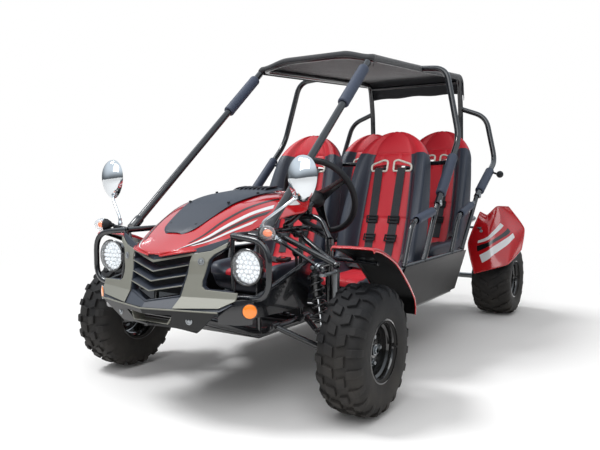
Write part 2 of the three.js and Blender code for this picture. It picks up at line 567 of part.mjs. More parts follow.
// Floor tray under the rails, and the sloping side panels
function floor_tray() {
  const level = sill.z - rail.r - gap - floor.thick + floor.lift;
  const front = box.low - rail.r - gap - floor.thick + floor.lift;
  const ring = (y, z, x) => [at(-x, y, z), at(x, y, z), at(x, y, z + floor.thick), at(-x, y,
    z + floor.thick)];
  return loft([ring(floor.nose_y, floor.nose_z, nose.x), ring(box.front, front, box.x),
    ring(box.rear, front, box.x), ring(sill.front, level, sill.x), ring(sill.rear, level, sill.x),
    ring(cross.tail, floor.tail_z, tail.x)]);
}

function side_panel_body() {
  const low = sill.x + rail.r + 2 * gap;
  const high = sill.high_x + stub.r + 2 * gap;
  const ring = (low_y, high_y) => [at(low, low_y, sill.z), at(high, high_y, sill.high_z),
    at(high + panel.thick, high_y, sill.high_z), at(low + panel.thick, low_y, sill.z)];
  return loft([ring(panel.front_low, panel.front_high), ring(panel.rear_low, panel.rear_high)]);
}

// Canopy: one sagging sheet over the roof loop, with a short front edge and a flap at the rear
function canopy_body() {
  const lift = rail.r + cover.rise;
  const arch = (y, z, drop, crown, way_y, way_z) => {
    const over = [[-1, -drop], [-0.97, 0], [-0.46, crown], [0.46, crown], [0.97, 0], [1, -drop]];
    const inner = over.map(([share, rise]) => at(share * (cover.half - cover.thick), y,
      z + rise)).reverse();
    const outer = over.map(([share, rise]) => at(share * cover.half, y + way_y * cover.thick,
      z + rise + way_z * cover.thick));
    return [...outer, ...inner];
  };
  const middle_y = (roof.front_y + roof.rear_y) / 2;
  const low_crown = cover.crown - cover.sag;
  return loft([
    arch(cover.front_y, roof.front_z + lift - cover.front_drop, 0, roof.crown, -1, 0),
    arch(cover.front_y, roof.front_z + lift, cover.side_drop, roof.crown, -0.7, 1),
    arch(middle_y, roof_z(middle_y) + lift, cover.side_drop, low_crown, 0, 1),
    arch(cover.rear_y, roof.rear_z + lift, cover.side_drop, cover.crown / 2, 0.7, 1),
    arch(cover.flap_y, cover.flap_z, 0, 0, 1, 0.1),
  ]);
}

// Nose moulding: a swept mask with its wings, chevron blades and lower lip
function fascia_face(z) {
  const line = fascia.line;
  let k = 0;
  while (k < line.length - 2 && z < line[k + 1].z) k += 1;
  const low = line[k];
  const high = line[k + 1];
  const share = Math.min(Math.max((z - low.z) / (high.z - low.z), 0), 1);
  return low.y + (high.y - low.y) * share;
}

function swept(outline, front, depth) {
  const geometry = geometry_of(plate(outline, 'y', front, front + depth));
  const place = geometry.attributes.position;
  for (let i = 0; i < place.count; i += 1) {
    const back = fascia_face(place.getZ(i)) + fascia.sweep_share * Math.abs(place.getX(i));
    place.setY(i, place.getY(i) + back);
  }
  return solid(geometry);
}

function fascia_body() {
  const f = fascia;
  const skin = [[0, f.top_z], [f.wing_x, f.wing_z], [f.horn_x, f.horn_z], [f.horn_low_x, f.horn_low_z],
    [f.brow_x, f.brow_z], [f.waist_x, f.waist_z], [f.waist_low_x, f.waist_low_z], [f.arm_x, f.arm_z],
    [f.arm_x, f.arm_low_z], [f.chin_x, f.chin_z], [f.corner_x, f.corner_z], [f.foot_x, f.foot_z], [0,
      f.foot_z + f.thick]];
  let half = swept(skin, 0, f.thick);
  const grille = [[-overrun, f.grille_top], [f.grille_x, f.grille_top + f.rise], [f.grille_low_x,
    f.grille_low + f.low_rise],
    [-overrun, f.grille_low]];
  half = half.subtract(swept(grille, -overrun, f.thick + overrun * 2));
  const mouth = [[-overrun, f.mouth_low], [f.mouth_x * 0.8, f.mouth_low], [f.mouth_x, f.mouth_high],
    [-overrun, f.mouth_high]];
  half = half.subtract(swept(mouth, -overrun, f.thick + overrun * 2));
  for (let k = 0; k < f.blades; k += 1) {
    const share = (k + 1) / (f.blades + 1);
    const middle = f.grille_top + (f.grille_low - f.grille_top) * share;
    const rise = f.rise + (f.low_rise - f.rise) * share;
    const out = f.grille_x + (f.grille_low_x - f.grille_x) * share + f.thick;
    const blade = [[0, middle - f.blade_high / 2], [out, middle + rise - f.blade_high / 2],
      [out, middle + rise + f.blade_high / 2], [0, middle + f.blade_high / 2]];
    half = half.add(swept(blade, f.blade_set, f.blade));
  }
  return both(half);
}

// Bonnet: a thin arched shell, and the dark insert with louvres that lies on it
function shell_ring(y, points, thick) {
  const outer = points.map(([x, z]) => at(x, y, z));
  const inner = points.map(([x, z], k) => {
    const side = k === 0 || k === points.length - 1 ? thick : thick * 0.8;
    return at(x - Math.sign(x) * side, y, z - thick);
  });
  return [...outer, ...inner.reverse()];
}

function bonnet_body() {
  const rings = bonnet.stations.map(({ y, crown_z, ridge_x, ridge_z, edge_x, edge_z }) => {
    const half = [[edge_x, edge_z], [(edge_x + ridge_x) / 2, (edge_z + ridge_z) / 2 + bonnet.swell],
      [ridge_x, ridge_z]];
    const left = half.map(([x, z]) => [-x, z]);
    return shell_ring(y, [...left, [0, crown_z], ...half.reverse()], bonnet.thick);
  });
  return loft(rings);
}

function insert_body() {
  const rings = bonnet.insert.map(({ y, half, z }) => {
    const points = [[-half, z - bonnet.insert_drop], [-half * 0.8, z], [0, z + bonnet.insert_crown],
      [half * 0.8, z], [half, z - bonnet.insert_drop]];
    return shell_ring(y, points, bonnet.thick);
  });
  let body = loft(rings);
  for (let k = 0; k < bonnet.louvres; k += 1) {
    const x = bonnet.louvre_half * ((k + 0.5) / bonnet.louvres * 2 - 1);
    body = body.subtract(block(at(x - bonnet.louvre_wide / 2, bonnet.louvre_front, bonnet.louvre_low),
      at(x + bonnet.louvre_wide / 2, bonnet.louvre_rear, bonnet.louvre_high)));
  }
  return body;
}

function insert_room() {
  const rings = bonnet.insert.map(({ y, half, z }, k) => {
    const x = half + gap;
    const end = k === 0 ? -gap : gap;
    const place = k === 0 || k === bonnet.insert.length - 1 ? y + end : y;
    return [at(-x, place, z - bonnet.insert_room), at(x, place, z - bonnet.insert_room),
      at(x, place, z + bonnet.insert_room), at(-x, place, z + bonnet.insert_room)];
  });
  return loft(rings);
}

// Front fender: a bent strip over the tyre with a rolled rear end
function front_fender_body() {
  const f = front_fender;
  const outer = f.profile;
  const inner = outer.map(({ y, z }, k) => {
    const before = outer[Math.max(k - 1, 0)];
    const after = outer[Math.min(k + 1, outer.length - 1)];
    const run = new THREE.Vector2(after.y - before.y, after.z - before.z).normalize();
    return [y + run.y * f.thick, z - run.x * f.thick];
  });
  return plate([...outer.map(({ y, z }) => [y, z]), ...inner.reverse()], 'x', f.inner_x, f.outer_x);
}

// Rear fender: a folded shield in front of the tyre that wraps round its outer shoulder
function rear_fender_body() {
  const f = rear_fender;
  return shell(f.rows.map((row) => row.map(({ x, y, z }) => at(x, y, z))), at(f.wall_x, f.wall_y,
    f.wall_z));
}

// Bucket seat: side bolsters round a crowned middle, lofted from the cushion's front edge to the head
function seat_body(x0, dy, dz) {
  const rings = seat.stations.map(({ y, z, lean, half, thick, wing }) => {
    const normal = at(0, -Math.cos(lean), Math.sin(lean));
    const point = (share, height) => at(x0 + share * half, dy + y + normal.y * height,
      dz + z + normal.z * height);
    return [point(-1, -thick * 0.35), point(-0.97, wing), point(-0.78, wing), point(-0.6, 0), point(-0.3,
      seat.crown),
      point(0.3, seat.crown), point(0.6, 0), point(0.78, wing), point(0.97, wing), point(1, -thick * 0.35),
      point(0.8, -thick), point(-0.8, -thick)];
  });
  let body = loft(rings);
  for (const side of [-1, 1]) {
    const inner = x0 + side * seat.slot_inner;
    const outer = x0 + side * seat.slot_outer;
    body = body.subtract(block(at(Math.min(inner, outer), dy + seat.slot_y - seat.slot_reach,
      dz + seat.slot_low),
      at(Math.max(inner, outer), dy + seat.slot_y + seat.slot_reach, dz + seat.slot_high)));
  }
  return body;
}

// Tyre: rings of one section round the hub; lugs rise on two steps of three, staggered left and right
function tyre_body(wheel, x0, y0, z0, vee) {
  const low = wheel.radius - tread.depth;
  const height = low - rim.seat;
  const rings = [];
  for (let i = 0; i < tread_steps; i += 1) {
    const angle = (i + 0.5) / tread_steps * 2 * half_turn;
    const lug = (row) => {
      const phase = vee ? Math.abs(row) : row + 2;
      return (i + phase) % tread.steps_a_lug < 2 ? tread.depth : 0;
    };
    const section = [[-width_share.bead, 0, 0], [-width_share.side, height_share.side, 0],
      [-width_share.shoulder, height_share.shoulder, lug(-2)], [-width_share.middle, height_share.crown,
        lug(-1)],
      [width_share.middle, height_share.crown, lug(1)], [width_share.shoulder, height_share.shoulder,
        lug(2)],
      [width_share.side, height_share.side, 0], [width_share.bead, 0, 0]];
    rings.push(section.map(([across, up, lift]) => {
      const r = rim.seat + height * up + lift;
      return at(x0 + across * wheel.half_width, y0 + r * Math.sin(angle), z0 - r * Math.cos(angle));
    }));
  }
  return loft(rings, true);
}

function rim_body(wheel, x0, y0, z0, dish, bore, hub_half) {
  const bead = wheel.half_width * width_share.bead;
  const slope = wheel.half_width * (width_share.side - width_share.bead)
    / ((wheel.radius - tread.depth - rim.seat) * height_share.side);
  const flare = (rim.flange - rim.seat) * slope + gap * 2;
  const seat_r = rim.seat * Math.cos(half_turn / tread_steps) - gap;
  const inner_r = seat_r - rim.wall;
  const half = [[bead + gap, seat_r], [bead + flare, rim.flange], [bead + flare + rim.lip, rim.flange],
    [bead, inner_r]];
  const profile = [...half, [dish + rim.disc, inner_r], [dish + rim.disc * 2, rim.hub], [dish + hub_half,
    rim.hub],
    [dish + hub_half, bore], [dish - hub_half, bore], [dish - hub_half, rim.hub], [dish - rim.disc,
      inner_r],
    ...half.map(([a, r]) => [-a, r]).reverse()];
  return turned(profile, rim.sides, at(x0, y0, z0), at(1, 0, 0));
}

// Front suspension, all drawn for the left side
function arm_body(base, z) {
  const hub = at(ball_x, 0, z - arm.fall);
  const pivots = [-base, base].map((y) => at(arm.inner_x, y, z));
  const sleeve = (p) => bar(p.clone().setY(p.y - arm.sleeve_half), p.clone().setY(p.y + arm.sleeve_half),
    arm.sleeve);
  const legs = pivots.map((p) => bar(p, hub, arm.r));
  const bores = pivots.map((p) => bar(p.clone().setY(p.y - arm.sleeve_half - gap),
    p.clone().setY(p.y + arm.sleeve_half + gap),
    clear_of(arm.pin)));
  return { body: join([...legs, ...pivots.map(sleeve)]), bores, hub };
}

function lower_arm_body() {
  const { body, bores, hub } = arm_body(arm.low_base, arm.low_z);
  const up = at(0, 0, 1);
  const ring = turned([[-arm.ring_half, 0], [arm.ring_half, 0], [arm.ring_half, arm.ring],
    [-arm.ring_half, arm.ring]], 7, hub, up);
  const socket = turned([[-3 * arm.ring_half, 0], [3 * arm.ring_half, 0], [3 * arm.ring_half,
    arm.ball + 2 * gap],
    [-3 * arm.ring_half, arm.ball + 2 * gap]], 8, hub, up);
  const room = block(at(hub.x - upright_size.half - arm.r, -3 * arm.r, hub.z + arm.ring_half),
    at(hub.x + 3 * arm.r, 3 * arm.r, hub.z + 5 * arm.r));
  const share = (front_shock.low_x - arm.inner_x) / arm.reach;
  const leg_z = arm.low_z - arm.fall * share;
  const ear = (side) => block(
    at(front_shock.low_x - damper.eye, side * (damper.eye_half + damper.play) + Math.min(side,
      0) * arm.ear * 3, leg_z - arm.r / 2),
    at(front_shock.low_x + damper.eye, side * (damper.eye_half + damper.play) + Math.max(side,
      0) * arm.ear * 3,
      front_shock.low_z + damper.eye * 0.8));
  const pin_half = damper.eye_half + damper.play + arm.ear;
  const pin = bar(at(front_shock.low_x, -pin_half, front_shock.low_z), at(front_shock.low_x, pin_half,
    front_shock.low_z),
    damper.pin);
  return cut(join([body, ring, ear(1), ear(-1), pin]), [socket, room, ...bores]);
}

function upper_arm_body() {
  const { body, bores, hub } = arm_body(arm.high_base, arm_high_z);
  const ball = solid(new THREE.SphereGeometry(arm.ball, 6, 4).translate(hub.x, hub.y, hub.z));
  return cut(body.add(ball), bores);
}

function stud_body() {
  const hub = at(ball_x, 0, ball_low_z);
  const ball = solid(new THREE.SphereGeometry(arm.ball, 6, 4).translate(hub.x, hub.y, hub.z));
  return ball.add(bar(hub, at(hub.x, 0, ball_low_z + arm.ball), arm.pin));
}

function upright_body() {
  const half = upright_size.half;
  const low = ball_low_z + arm.ball + gap;
  const high = ball_high_z - arm.ball - gap * 2;
  const top = rack_z - arm.fall - rack.ball - gap * 2;
  const post_body = plate([[ball_x - half, low], [ball_x + half, low], [ball_x + half,
    front_axle_z + 2 * half],
    [ball_x + half * 0.6, high], [ball_x - half * 0.6, high]], 'y', -half, half);
  const steer = plate([[-half * 0.8, half], [-half * 0.8, rack.y - half], [half * 0.8, rack.y - half],
    [half * 0.8, half]]
    .map(([x, y]) => [x + ball_x, y]), 'z', top - upright_size.arm_depth, top);
  const face = front_wheel.centre + rim_size.dish + rim_size.hub_half;
  const stub = bar(at(ball_x, 0, front_axle_z), at(face + upright_size.nut_wide, 0, front_axle_z),
    upright_size.axle_r);
  const nut = bar(at(face + gap, 0, front_axle_z), at(face + gap + upright_size.nut_wide, 0,
    front_axle_z), upright_size.nut, 6);
  const shoulder_ring = bar(at(ball_x + half - overrun, 0, front_axle_z),
    at(front_wheel.centre + rim_size.dish - rim_size.hub_half - gap, 0, front_axle_z), rim.hub - rim.wall);
  return join([post_body, steer, stub, nut, shoulder_ring]);
}

function tie_rod_body() {
  const inner = at(arm.inner_x, rack.y, rack_z);
  const outer = at(ball_x, rack.y, rack_z - arm.fall);
  const ball = solid(new THREE.SphereGeometry(rack.ball, 6, 4).translate(outer.x, outer.y, outer.z));
  const start = inner.clone().addScaledVector(outer.clone().sub(inner).normalize(), rack.ball + 2 * gap);
  return bar(start, outer, rod.r, 8).add(ball);
}

function rack_rod_body() {
  const end = at(arm.inner_x, rack.y, rack_z);
  const slope = Math.atan2(arm.fall, arm.reach);
  const ball = solid(new THREE.SphereGeometry(rack.ball, 6, 4).rotateY(slope).translate(end.x, end.y, end.z));
  return join([bar(flip(end), end, rack.r, 10), both(ball)]);
}

// Coil-over damper between two eyes whose bolts lie along an axis
function damper_parts(top, low, across) {
  const run = low.clone().sub(top);
  const way = run.clone().normalize();
  const eye = (p, r, bore) => turned([[-damper.eye_half, bore], [damper.eye_half, bore],
    [damper.eye_half, r], [-damper.eye_half, r]],
    7, p, across);
  const on = (share) => top.clone().addScaledVector(run, share);
  const disc_at = (share) => bar(on(share), on(share).addScaledVector(way, damper.perch_thick),
    damper.perch, 7);
  const can = join([eye(top, damper.eye, 0), bar(top, on(damper.can_share), damper.stem * 1.5),
    bar(on(damper.neck_share), on(damper.can_share), damper.can, 7), disc_at(damper.top_share)]);
  const bolt = (p, r) => bar(p.clone().addScaledVector(across, -damper.perch),
    p.clone().addScaledVector(across, damper.perch), r);
  const well = bar(on(damper.top_share), on(1), damper.stem + slide_room);
  const body = cut(can, [bolt(top, clear_of(damper.pin)), well]);
  const stem = bar(on(damper.top_share + damper.stem_share), low, damper.stem, 6);
  const lower = cut(join([stem, eye(low, damper.eye, 0), disc_at(damper.low_share)]), [bolt(low,
    damper.pin + damper.play)]);
  const start = on(damper.top_share).addScaledVector(way, damper.perch_thick + gap);
  const end = on(damper.low_share).addScaledVector(way, -gap);
  return { body, lower, spring: coil(start, end) };
}

// Coil spring: one unbroken wire, eight steps a turn, with straight ends that meet the perches
function coil(start, end) {
  const steps = 8;
  const way = end.clone().sub(start);
  const length = way.length();
  way.normalize();
  const side = at(0, 1, 0).cross(way).normalize();
  const other = way.clone().cross(side);
  const wire = damper.wire;
  const inset = wire * 1.4;
  const rise = length - 2 * inset;
  const count = damper.turns * steps;
  const spot = (k) => {
    const angle = k / steps * 2 * half_turn;
    return start.clone().addScaledVector(way, inset + rise * k / count)
      .addScaledVector(side, damper.coil * Math.cos(angle)).addScaledVector(other,
        damper.coil * Math.sin(angle));
  };
  const points = [];
  for (let k = 0; k <= count; k += 1) points.push(spot(k));
  const along = (k) => {
    const before = points[Math.max(k - 1, 0)];
    const after = points[Math.min(k + 1, count)];
    return after.clone().sub(before).normalize();
  };
  const ring = (centre, tangent) => {
    const out = centre.clone().sub(start).projectOnPlane(way).normalize();
    const up = tangent.clone().cross(out).normalize();
    return Array.from({ length: 5 }, (_, j) => {
      const angle = j / 5 * 2 * half_turn;
      return centre.clone().addScaledVector(out, wire * Math.cos(angle)).addScaledVector(up,
        wire * Math.sin(angle));
    });
  };
  const rings = points.map((p, k) => ring(p, along(k)));
  const tail_run = 2 * wire;
  rings.unshift(ring(points[0], along(0)).map((p) => p.addScaledVector(along(0), -tail_run)));
  rings.push(ring(points[count], along(count)).map((p) => p.addScaledVector(along(count), tail_run)));
  let least = Infinity;
  for (let a = 0; a < points.length; a += 1) {
    for (let b = a + steps / 2 + 1; b < points.length; b += 1) {
      least = Math.min(least, points[a].distanceTo(points[b]) - 2 * wire);
    }
  }
  console.log(`spring: least gap between turns ${least.toFixed(2)} mm`);
  return loft(rings);
}

// Steering wheel on its column, drawn along the column's axis
function steering_wheel_body() {
  const foot = at(column.x, column.y, column.z);
  const hub = at(column.x, column.wheel_y, column.wheel_z);
  const across = at(1, 0, 0);
  const up = column_way.clone().cross(across).negate();
  const centre = hub.clone();
  const steps = 15;
  const rings = Array.from({ length: steps }, (_, i) => {
    const angle = i / steps * 2 * half_turn;
    const out = across.clone().multiplyScalar(Math.cos(angle)).addScaledVector(up, Math.sin(angle));
    return Array.from({ length: 5 }, (_unused, j) => {
      const turn = j / 5 * 2 * half_turn;
      return centre.clone().addScaledVector(out, column.rim_r + column.grip * Math.cos(turn))
        .addScaledVector(column_way, column.grip * Math.sin(turn));
    });
  });
  const rim_ring = loft(rings, true);
  const low = hub.clone().addScaledVector(column_way, -column.hub_long);
  const boss = turned([[0, 0], [column.hub_long, 0], [column.hub_long, column.hub], [column.hub_long / 3,
    column.hub],
    [0, column.r * 1.6]], 6, low.clone().addScaledVector(column_way, -column.spoke_drop / 2), column_way);
  const spokes = [90, 210, 330].map((degrees) => {
    const angle = THREE.MathUtils.degToRad(degrees + 180);
    const out = across.clone().multiplyScalar(Math.cos(angle)).addScaledVector(up, Math.sin(angle));
    const from = hub.clone().addScaledVector(column_way, -column.spoke_drop).addScaledVector(out,
      column.hub / 2);
    const to = centre.clone().addScaledVector(out, column.rim_r);
    const wide = out.clone().cross(column_way).normalize();
    const ring = (p, half) => [[-half, -3], [half, -3], [half, 3], [-half, 3]].map(([a, b]) => p.clone()
      .addScaledVector(wide, a).addScaledVector(column_way, b));
    return loft([ring(from, column.hub * 0.7), ring(to, column.hub * 0.36)]);
  });
  return join([rim_ring, boss, ...spokes, bar(foot, hub.clone().addScaledVector(column_way,
    -column.spoke_drop), column.r, 8)]);
}

function pedal_body(x) {
  const barrel = bar(at(x - pedal.half, cross.pedal, cross.pedal_z), at(x + pedal.half, cross.pedal,
    cross.pedal_z), pedal.barrel, 8);
  const lever = bar(at(x, cross.pedal, cross.pedal_z), at(x, cross.pedal + pedal.lean,
    cross.pedal_z + pedal.high), pedal.lever);
  const pad = plate([[cross.pedal + pedal.lean, cross.pedal_z + pedal.high - pedal.pad_low],
    [cross.pedal + pedal.lean + pedal.pad_thick, cross.pedal_z + pedal.high - pedal.pad_low],
    [cross.pedal + pedal.lean * 1.6 + pedal.pad_thick, cross.pedal_z + pedal.high + pedal.pad_up],
    [cross.pedal + pedal.lean * 1.6, cross.pedal_z + pedal.high + pedal.pad_up]], 'x',
      x - pedal.pad_half, x + pedal.pad_half);
  const bore = bar(at(x - pedal.half - overrun, cross.pedal, cross.pedal_z), at(x + pedal.half + overrun,
    cross.pedal, cross.pedal_z),
    clear_of(rod.r));
  return join([barrel, lever, pad]).subtract(bore);
}

function shift_body() {
  const foot = at(0, cross.front_seat, sill.z);
  const barrel = bar(at(-shift.half, foot.y, foot.z), at(shift.half, foot.y, foot.z), shift.barrel, 8);
  const knob = at(0, foot.y - shift.lean, foot.z + shift.high);
  const ball = solid(new THREE.SphereGeometry(shift.knob, 6, 5).translate(knob.x, knob.y, knob.z));
  const bore = bar(at(-shift.half - overrun, foot.y, foot.z), at(shift.half + overrun, foot.y, foot.z),
    clear_of(brace.r));
  return join([barrel, bar(foot, knob, rod.r), ball]).subtract(bore);
}

// Rear swing arm, axle and drive
function swing_arm_body() {
  const side = [];
  const pivot = at(swing.x, swing.y, swing.z);
  const end = at(swing.x, wheelbase, rear_axle_z);
  const along = at(1, 0, 0);
  side.push(bar(pivot, end, swing.r));
  side.push(bar(at(swing.x - swing.sleeve_half, swing.y, swing.z), at(swing.x + swing.sleeve_half,
    swing.y, swing.z), swing.sleeve));
  side.push(turned([[-swing.hub_half, 0], [swing.hub_half, 0], [swing.hub_half, swing.hub],
    [-swing.hub_half, swing.hub]], 6, end, along));
  const share = (swing.cross_y - swing.y) / (wheelbase - swing.y);
  const mid = pivot.clone().lerp(end, share);
  side.push(bar(at(-overrun, mid.y, mid.z), mid, swing.r * 0.8));
  const ear = plate([[mid.y, mid.z - swing.r / 2], [rear_shock.low_y + damper.eye,
    rear_shock.low_z - damper.eye / 2],
    [rear_shock.low_y + damper.eye, rear_shock.low_z + damper.eye / 2], [mid.y, mid.z + swing.r / 2]],
  'x', damper.eye_half + damper.play, damper.eye_half + damper.play + arm.ear);
  side.push(ear);
  side.push(bar(at(-overrun, rear_shock.low_y, rear_shock.low_z),
    at(damper.eye_half + damper.play + arm.ear / 2, rear_shock.low_y,
    rear_shock.low_z), damper.pin));
  const bolt = bar(at(swing.x - 2 * swing.sleeve_half, swing.y, swing.z),
    at(swing.x + 2 * swing.sleeve_half, swing.y, swing.z), clear_of(brace.r));
  const bore = bar(at(swing.x - 2 * swing.hub_half, wheelbase, rear_axle_z),
    at(swing.x + 2 * swing.hub_half, wheelbase, rear_axle_z),
    clear_of(axle.r));
  return both(cut(join(side), [bolt, bore]));
}

function rear_axle_body() {
  const along = at(1, 0, 0);
  const centre = at(0, wheelbase, rear_axle_z);
  const reach = rear_wheel.centre + rim_size.rear_dish + rim_size.hub_half + upright_size.nut_wide + gap;
  const shaft = bar(at(-reach, wheelbase, rear_axle_z), at(reach, wheelbase, rear_axle_z), axle.r, 6);
  const nut = (side) => bar(at(side * (reach - upright_size.nut_wide), wheelbase, rear_axle_z),
    at(side * reach, wheelbase, rear_axle_z),
    upright_size.nut, 6);
  const flange = (side) => {
    const face = rear_wheel.centre + rim_size.rear_dish - rim_size.hub_half - gap;
    return bar(at(side * (face - axle.flange_wide), wheelbase, rear_axle_z), at(side * face, wheelbase,
      rear_axle_z), rim.hub - rim.wall);
  };
  const gear = Array.from({ length: axle.teeth * 2 }, (_, k) => {
    const angle = k / (axle.teeth * 2) * 2 * half_turn;
    const r = axle.sprocket - (k % 2) * axle.tooth;
    return [wheelbase + r * Math.cos(angle), rear_axle_z + r * Math.sin(angle)];
  });
  const sprocket = plate(gear, 'x', axle.sprocket_x, axle.sprocket_x + axle.plate);
  const brake = turned([[0, 0], [axle.plate, 0], [axle.plate, axle.disc], [0, axle.disc]], 12,
    at(axle.disc_x, wheelbase, rear_axle_z), along);
  const spacer = (from, side) => bar(centre.clone().setX(from - side * axle.boss / 2),
    centre.clone().setX(side * (swing.x - swing.hub_half - gap)), axle.boss);
  return join([shaft, nut(1), nut(-1), flange(1), flange(-1), sprocket, brake, spacer(axle.sprocket_x, 1),
    spacer(axle.disc_x, -1)]);
}

function engine_body() {
  const e = engine;
  const base = cradle.z + square_half + gap;
  const crankcase = plate([[e.front, base], [e.rear, base], [e.rear, base + e.high * 0.6],
    [e.rear - e.high * 0.3, base + e.high],
    [e.front + e.high * 0.3, base + e.high], [e.front, base + e.high * 0.5]], 'x', -e.half, e.half);
  const cover_body = turned([[0, 0], [e.cover, 0], [e.cover, e.cover_r * 0.8], [e.cover * 0.4,
    e.cover_r], [0, e.cover_r]], 9,
    at(e.half, (e.front + e.rear) / 2, base + e.cover_r + gap), at(1, 0, 0));
  const head_way = at(0, -0.5, 1).normalize();
  const head_foot = at(0, e.front + e.high * 0.5, base + e.high * 0.9);
  const head = bar(head_foot, head_foot.clone().addScaledVector(head_way, e.head), e.head_r);
  const fins = Array.from({ length: e.fins }, (_, k) => {
    const p = head_foot.clone().addScaledVector(head_way, e.head * (k + 1) / (e.fins + 1));
    return bar(p, p.clone().addScaledVector(head_way, e.fin), e.head_r + e.fin * 4);
  });
  const pipe = tube([head_foot.clone().addScaledVector(head_way, e.head * 0.8), at(-e.pipe_x / 2,
    e.front + e.high * 0.3, e.muffler_z + e.muffler_r),
    at(-e.muffler_x, e.front + e.high * 0.6, e.muffler_z), at(-e.muffler_x, e.muffler_front + overrun,
      e.muffler_z)], { r: e.pipe, bend: e.muffler_r * 2, sides: 6, bend_steps: 2 });
  const muffler = turned([[0, 0], [e.muffler_long, 0], [e.muffler_long, e.muffler_r * 0.6],
    [e.muffler_long * 0.9, e.muffler_r],
    [e.muffler_long * 0.1, e.muffler_r], [0, e.muffler_r * 0.6]], 8, at(-e.muffler_x, e.muffler_front,
      e.muffler_z), at(0, 1, 0));
  return join([crankcase, cover_body, head, ...fins, pipe, muffler]);
}

// Lamps and mirrors, drawn for the left side
function headlight_body() {
  const h = headlight;
  const centre = at(h.x, h.y, h.z);
  return turned([[0, 0], [h.depth, 0], [h.depth, h.back], [h.depth * 0.45, h.r * 0.9], [h.depth * 0.12,
    h.r], [0, h.r],
    [0, h.r - h.bezel], [h.depth * 0.1, h.r - h.bezel - h.bezel / 2], [h.depth * 0.1, 0]], 10, centre,
      at(0, 1, 0))
    .add(bar(at(h.x - h.r * 0.7, h.y + h.depth * h.stay_share, h.z), at(h.stay_x,
      h.y + h.depth * h.stay_share, h.z), rod.r));
}

function ellipsoid(centre, rx, ry, rz, across = 8, up = 6) {
  return solid(new THREE.SphereGeometry(1, across, up).scale(rx, ry, rz).translate(centre.x, centre.y,
    centre.z));
}

function signal_body() {
  const lens = ellipsoid(at(signal.x, signal.y, signal.z), signal.rx, signal.ry, signal.rz, 7, 5);
  return lens.add(bar(at(signal.foot_x, signal.foot_y, signal.z), at(signal.x, signal.y + signal.ry / 2,
    signal.z), rod.r));
}

function mirror_body() {
  const foot = at(mirror_size.foot_x, mirror_size.foot_y, mirror_size.foot_z);
  const centre = at(mirror_size.x, mirror_size.y, mirror_size.z);
  const neck = centre.clone().add(at(-mirror_size.rx * 0.3, 0, -mirror_size.rz * 0.6));
  return join([bar(foot, foot.clone().setZ(foot.z + mirror_size.base), mirror_size.base_r),
    bar(foot.clone().setZ(foot.z + mirror_size.base / 2), neck, mirror_size.stalk), ellipsoid(centre,
      mirror_size.rx, mirror_size.ry, mirror_size.rz, 7, 5)]);
}

// Paints and finishes
const paint = (color, roughness, metalness) => () => new THREE.MeshStandardMaterial({ color, roughness,
  metalness });
const tube_black = paint(0x16181c, 0.35, 0.4);
const red = paint(0xd8121a, 0.25, 0);
const slate = paint(0x2b3038, 0.5, 0);
const silver = paint(0x9a9a90, 0.45, 0.2);
const vinyl = paint(0xc8303a, 0.6, 0);
const rubber = paint(0x1c1d20, 0.85, 0);
const steel = paint(0x0e0f12, 0.2, 0.5);
const chrome = paint(0xdfe3e6, 0.08, 1);
const cloth = paint(0x121315, 0.9, 0);
const lens = paint(0xf2f2ee, 0.1, 0);

const kart = new THREE.Group();
function add(name, body, finish) {
  const mesh = new THREE.Mesh(geometry_of(body), finish());
  mesh.name = name;
  kart.add(mesh);
}
function add_pair(name, body, finish) {
  add(`${name}_left`, body, finish);
  add(`${name}_right`, mirror(body), finish);
}

const frame = chassis();
const frame_room = chassis(gap);
const cage_solid = cut(cage(), [frame_room]);
const cage_room = cage(gap);
const held_off = [frame_room, cage_room];

add('chassis_frame', frame, tube_black);
add('roll_cage', cage_solid, tube_black);
add_pair('front_pillar', cut(pillar_body(), held_off), tube_black);
add('canopy', cut(canopy_body(), [cage_room, pillar_body(gap), mirror(pillar_body(gap))]), cloth);
add('floor_pan', cut(floor_tray(), [frame_room]), steel);
add_pair('side_panel', cut(side_panel_body(), [frame_room]), steel);
add('bumper_cover', cut(fascia_body(), [frame_room]), silver);
const column_room = bar(at(column.x, column.y, column.z), at(column.x, column.wheel_y, column.wheel_z),
  column.r * 2, 4);
const bonnet_solid = cut(bonnet_body(), [frame_room, insert_room(), column_room]);
add('hood', bonnet_solid, red);
add('hood_insert', insert_body(), slate);
add_pair('front_fender', cut(front_fender_body(), [frame_room]), red);
add_pair('rear_fender', cut(rear_fender_body(), [frame_room]), red);
for (const side of [1, -1]) {
  const end = side > 0 ? 'left' : 'right';
  add(`front_seat_${end}`, cut(seat_body(side * seat.front_x, 0, 0), held_off), vinyl);
  add(`rear_seat_${end}`, cut(seat_body(side * seat.rear_x, seat.rear_dy, seat.rear_dz), held_off), vinyl);
}
add_pair('headlight', cut(headlight_body(), [frame_room]), lens);
add_pair('front_signal', cut(signal_body(), [frame_room]), lens);
add_pair('mirror', cut(mirror_body(), [frame_room]), chrome);
add('engine', cut(engine_body(), [frame_room]), silver);
add('steering_wheel', steering_wheel_body(), rubber);
add('steering_rack', rack_rod_body(), chrome);
add_pair('tie_rod', tie_rod_body(), tube_black);
add('throttle_pedal', pedal_body(pedal.throttle_x), steel);
add('brake_pedal', pedal_body(pedal.brake_x), steel);
add('shift_lever', shift_body(), steel);
add_pair('lower_arm', lower_arm_body(), tube_black);
add_pair('upper_arm', upper_arm_body(), tube_black);
add_pair('ball_stud', stud_body(), chrome);
add_pair('upright', upright_body(), tube_black);
add_pair('front_tyre', tyre_body(front_wheel, front_wheel.centre, 0, front_axle_z, false), rubber);
add_pair('front_rim', rim_body(front_wheel, front_wheel.centre, 0, front_axle_z, rim_size.dish,
  clear_of(upright_size.axle_r, rim.sides),
  rim_size.hub_half), steel);
